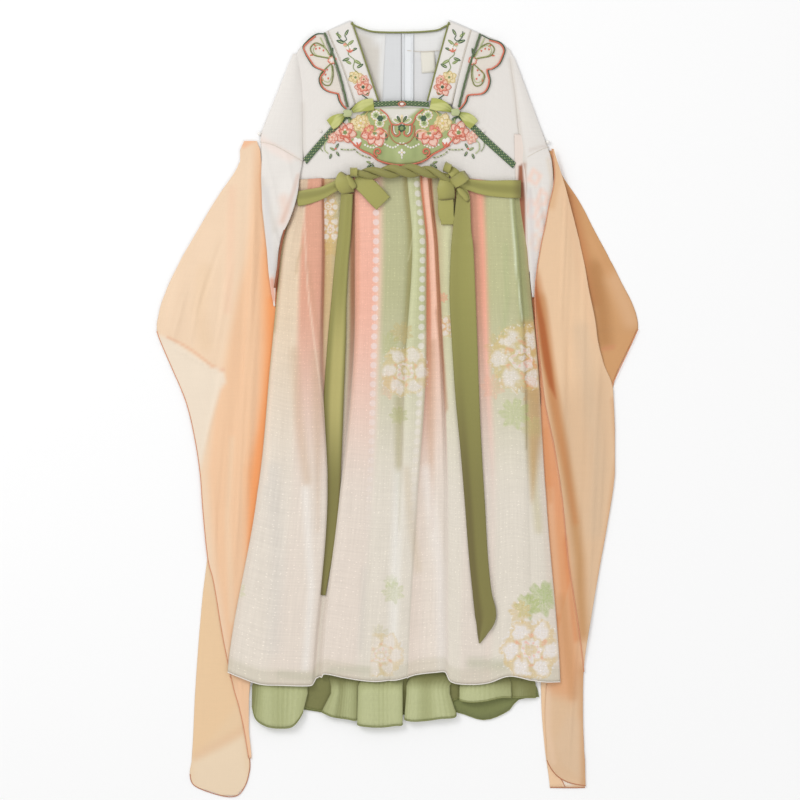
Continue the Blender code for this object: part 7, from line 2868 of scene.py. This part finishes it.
    def braids(self) -> None:
        """Make the dark braid along the top of the chest panel, with its woven diamonds."""
        runs = (("braid_left", ((-174, 461), (-136, 505), (-97, 548)),
                 ((-168, 451), (-130, 495), (-90, 538))),
                ("braid_top", ((-44, 565.5), (8, 568), (58, 565.5)), ((-43, 556), (8, 558.5), (59, 556))),
                ("braid_right", ((110, 553), (134, 532), (171, 496), (219, 453)),
                 ((103, 543), (128, 522), (165, 486), (213, 443))))
        for name, outer, inner in runs:
            grid = ruled_grid(outer, inner, 60, 6, over_bodice)
            cloth(name + "_band", grid, BRAID, [name], 1.4)
            work = Needlework(name + "_diamonds", lambda x, y: over_bodice(x, y) + SHELL_LIFT + 1.6)
            first, second = along(outer, 120), along(inner, 120)
            for share, threads in ((0.14, (Thread.PALE_GREEN, Thread.PINE)),
                                   (0.38, (Thread.PINE, Thread.LEAF)),
                                   (0.62, (Thread.PALE_GREEN, Thread.PINE)),
                                   (0.86, (Thread.PINE, Thread.LEAF))):
                row = [a.lerp(b, share) for a, b in zip(first, second)]
                work.dashes([(p.x, p.y) for p in row[::6]], 3.4, 3.0, 1.7, threads)
            work.finish("dark_green_braid")

    def medallion(self) -> None:
        """Make the satin ground of the medallion and the rope along its lower edge."""
        grid = ruled_grid(MEDALLION_TOP, MEDALLION_EDGE, 72, 24, over_bodice)
        cloth("chest_medallion_cloth", grid, MEDALLION_SATIN, ["chest_medallion"],
              CHIFFON, painter(SATIN, MEDALLION_SHADES))
        rim = []
        for spot in along(MEDALLION_EDGE, 140):
            rim.append(Vector((spot.x, spot.y - 1.2, bodice_height(spot.x, spot.y - 1.2) + LAYER + 2.3)))
        cord("medallion_cord_rope", rim, Twine(1.9, 10, 2, 0.14, 0.3), Thread.CORAL.finish("coral_cord"),
             ["medallion_cord"])

    def chest_flowers(self) -> None:
        """Sew the mirrored flowers, lobes, pearls and sprigs of the medallion."""
        work = Needlework("chest_needlework", self.sheer_top)
        a = self.axis
        self.lotus(work)
        for sign in (-1.0, 1.0):
            def at(dx: float, y: float) -> Point:
                """Give the place at a distance from the axis on this side."""
                return (a + sign * dx, y)

            def turned(heading: float) -> float:
                """Turn a heading that is stated for the right side to this side."""
                return heading if sign > 0 else 180.0 - heading

            for dx, y, radius, kind in self.flowers:
                outer, inner, heart = {"coral": (Thread.CORAL, Thread.BLUSH, Thread.LEAF),
                                       "yellow": (Thread.YELLOW, Thread.CREAM, Thread.YELLOW),
                                       "pink": (Thread.ROSE, Thread.BLUSH, Thread.ROSE)}[kind]
                work.bloom(*at(dx, y), radius, outer, inner, heart, 10.0 * sign)
            work.bloom(*at(50, 509), 25.0, Thread.CORAL, Thread.BLUSH, Thread.LEAF, 195.0, 150.0)
            work.bloom(*at(62, 513), 12.0, Thread.CORAL, Thread.ROSE, Thread.YELLOW, 20.0 * sign)
            work.bud(*at(80, 482), 9.5, turned(70.0), Thread.WHITE, Thread.CORAL)
            self.cloud(work, at, turned)
            work.curl(*at(44, 473), 8.5, turned(-80.0), 1.2 * sign, 1.7, Thread.CORAL, 0.8)
            work.beads([at(68, 486), at(54, 481), at(42, 486)], 4.7, 2.1, Thread.WHITE)
            work.beads([at(31, 487), at(16, 481), at(3, 489)], 4.7, 2.1, Thread.WHITE)
            for dx, y, heading, thread in ((122, 480, 120, Thread.PINE), (124, 476, 30, Thread.LEAF),
                                           (121, 474, 240, Thread.PINE), (130, 470, 290, Thread.PINE),
                                           (56, 452, 20, Thread.LEAF), (55, 451, 250, Thread.PINE),
                                           (57, 450, 320, Thread.PINE)):
                work.leaf(*at(dx, y), turned(heading), 10.5, thread, Thread.PALE_GREEN)
            work.beads([at(122, 479), at(123, 479)], 3.0, 1.6, Thread.CORAL, 1.0)
            work.beads([at(55, 454), at(56, 454)], 3.0, 1.6, Thread.WHITE, 1.4)
            work.beads([at(150, 512), at(151, 512)], 3.0, 2.4, Thread.WHITE, 1.6)
            work.stem([at(134, 497), at(142, 490), at(143, 478), at(136, 470)], 1.0, Thread.PALE_GREEN)
            work.stem([at(138, 503), at(150, 498), at(152, 484), at(146, 474)], 0.7, Thread.LEAF)
            for lane in (((113, 478), (98, 477), (84, 478)), ((84, 474), (76, 468), (66, 464), (56, 462))):
                work.dashes([at(*spot) for spot in lane], 5.4, 3.6, 2.5, (Thread.LEAF, Thread.PALE_GREEN),
                            0.3)
            work.leaf(*at(92, 533), turned(20.0), 12.0, Thread.PINE, Thread.LEAF)
            work.leaf(*at(96, 527), turned(75.0), 10.0, Thread.LEAF, Thread.PALE_GREEN)
        work.stem([(a - 7, 561.5), (a - 3, 565), (a + 3, 565), (a + 7, 561.5), (a + 3, 558), (a - 3, 558),
                   (a - 7, 561.5)], 0.9, Thread.CORAL, 2.4)
        work.petal(a - 4.0, 561.5, 0.0, 8.0, 5.5, Thread.WHITE, 2.2, 0.0)
        for heading in (0.0, 90.0, 180.0, 270.0):
            work.petal(a, 472.0, heading, 7.0, 5.0, Thread.WHITE, 0.2)
        work.petal(a, 466.0, 270.0, 6.0, 3.0, Thread.WHITE, 0.2)
        work.beads([(a, 472.0), (a + 0.5, 472.0)], 3.0, 1.3, Thread.YELLOW, 0.9)
        work.finish("coral_cord")

    def lotus(self, work: Needlework) -> None:
        """Sew the lotus in the middle of the medallion."""
        a = self.axis
        for k, heading in enumerate((150.0, 120.0, 90.0, 60.0, 30.0)):
            thread = (Thread.PALE_GREEN, Thread.PINE, Thread.CREAM, Thread.PINE, Thread.PALE_GREEN)[k]
            work.petal(a, 524.0, heading, 21.0 if k != 2 else 18.0, 8.5, Thread.WHITE, 0.0)
            work.petal(a + 2.0 * cos(radians(heading)), 526.0, heading, 16.0, 5.5, thread, 0.5)
            work.petal(a + 4.0 * cos(radians(heading)), 528.0, heading, 11.0, 1.6, Thread.MOSS, 1.0)
        for sign in (-1.0, 1.0):
            work.stem([(a + sign * 40, 552), (a + sign * 27, 541), (a + sign * 20, 526),
                       (a + sign * 9, 523),
                       (a, 527)], 1.3, Thread.CORAL, 0.6)
            work.stem([(a + sign * 19, 524), (a + sign * 18, 510), (a + sign * 11, 502),
                       (a + sign * 4, 506),
                       (a + sign * 5, 512)], 1.5, Thread.CORAL, 0.6)
            work.stem([(a + sign * 15, 521), (a + sign * 14, 510), (a + sign * 10, 506)], 1.3, Thread.WHITE,
                      0.5)
            work.stem([(a + sign * 23, 522), (a + sign * 23, 506), (a + sign * 14, 492), (a, 487)], 0.9,
                      Thread.RUST, 0.4)
            work.leaf(a + sign * 28, 494, 90.0 - sign * 8.0, 17.0, Thread.PINE, Thread.LEAF, 0.3)
        work.ring(a, 517.0, 7.5, 7, Thread.PINE, 0.0, 0.1, 1.0, 0.3)
        work.ring(a, 517.0, 4.0, 5, Thread.LEAF, 20.0, 0.0, 1.0, 0.9)

    def cloud(self, work: Needlework, at: Callable[[float, float], Point],
              turned: Callable[[float], float]) -> None:
        """Sew one cloud-headed lobe beside the lotus.

        Args:
            work: The needlework that it is added to.
            at: Place at a distance from the axis.
            turned: Heading on that side; not used.
        """
        for dx, y, radius in ((48, 541, 10.5), (41, 526, 10.0), (33, 537, 8.0)):
            x0, y0 = at(dx, y)
            work.ring(x0, y0, radius, 9, Thread.YELLOW, 0.0, 0.3, 1.1, 0.0)
            work.ring(x0, y0, radius * 0.88, 9, Thread.WHITE, 0.0, 0.3, 1.1, 0.4)
            work.ring(x0, y0, radius * 0.66, 8, Thread.PALE_GREEN, 10.0, 0.0, 1.2, 0.8)
            work.ring(x0, y0, radius * 0.36, 6, Thread.LEAF, 10.0, 0.0, 1.2, 1.2)
        x0, y0 = at(40, 535)
        work.ring(x0, y0, 6.0, 6, Thread.PINE, 0.0, 0.0, 1.0, 1.6)
        work.stem([at(62, 549), at(68, 538), at(64, 522), at(52, 511), at(38, 512), at(27, 507)], 0.9,
                  Thread.YELLOW, 0.5)

    def bow_paint(self, u: float, v: float, point: Vector) -> Colour:
        """Give the ribbon's dye with banded painted highlights, and painted shade where it is gathered at
        the knot and in its pleats.
        """
        colour = blend(LIME, LIME_LIT, smooth_step(0.5 + 1.6 * sin(pi * (2.2 * v + 1.4 * u))))
        pinch = smooth_step(1.0 - min(v, 1.0 - v) / 0.20)
        pleat = smooth_step(1.0 - abs(u - 0.36) / 0.12) + smooth_step(1.0 - abs(u - 0.70) / 0.10)
        return blend(colour, LIME_SHADED, min(0.6 * pinch + 0.45 * pleat * (0.35 + 0.65 * pinch), 0.85))

    def bows(self) -> None:
        """Tie the small organza bows at both ends of the top braid."""
        for side, (x, y), knot_seat, loops in SMALL_BOWS:
            level = bodice_height(x, y) + 1.5 + knot_seat
            knot = bmesh.new()
            uv = knot.loops.layers.uv.new("cloth")
            made = bmesh.ops.create_uvsphere(knot, u_segments=20, v_segments=12, radius=1.0)["verts"]
            for vert in made:
                for loop in vert.link_loops:
                    loop[uv].uv = (vert.co.x * 6.0 * MM, vert.co.y * 7.0 * MM)
                squared = [copysign(abs(value) ** 0.55, value) for value in vert.co]
                pinch = 1.0 + 0.10 * squared[0] * cos(5.0 * squared[1])
                vert.co = (x + squared[0] * 8.0 * pinch, y + squared[1] * 6.8,
                           level + squared[2] * 3.2 * pinch)
            new_piece("bow_knot_%s_ribbon" % side, knot, [KNOT_RIBBON], ["bow_knot_" + side])
            for part, seat, run in loops:
                stations = []
                away = BOW_GAP if run[0][0] > x else -BOW_GAP
                for p, half, rise in zip(along(run, 4), (3.6, 7.6, 10.2, 11.4, 10.6),
                                         (2.2, 2.8, 3.0, 2.2, 1.2)):
                    stations.append(Station(p.x + away * 0.4, p.y,
                                            bodice_height(p.x, p.y) + 1.5 + seat + rise,
                                            half))
                ribbon_loop("bow_%s_loop_%s_ribbon" % (side, part), stations, 1.8, 1.6, RIBBON,
              ["bow_%s_loop_%s" % (side, part)],
                            self.bow_paint)

    def build(self) -> None:
        """Make all trims of the bodice."""
        self.wings()
        self.collars()
        self.braids()
        self.medallion()
        self.chest_flowers()
        self.bows()
        LOG.info("trims built")


# ---------------------------------------------------------------- whole garment
def corners(box: Sequence[Vector]) -> list[list[float]]:
    """Turn a box's lowest and highest corners into plain numbers."""
    return [[float(value) for value in corner] for corner in box]


def main() -> None:
    """Dress the whole robe, measuring its bounds before and after."""
    logging.basicConfig(level=logging.INFO, format="%(message)s")
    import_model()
    solid_box = corners(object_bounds())
    for assembly in ASSEMBLIES:
        assembly.build()
    {"cad": solid_box, "visual": corners(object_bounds())}


ASSEMBLIES = (Studio(), Skirt(), Underskirt(), WideSleeves(), WhiteSleeves(), Bodice(), Trims(), Belt())

if __name__ == "__main__":
    main()
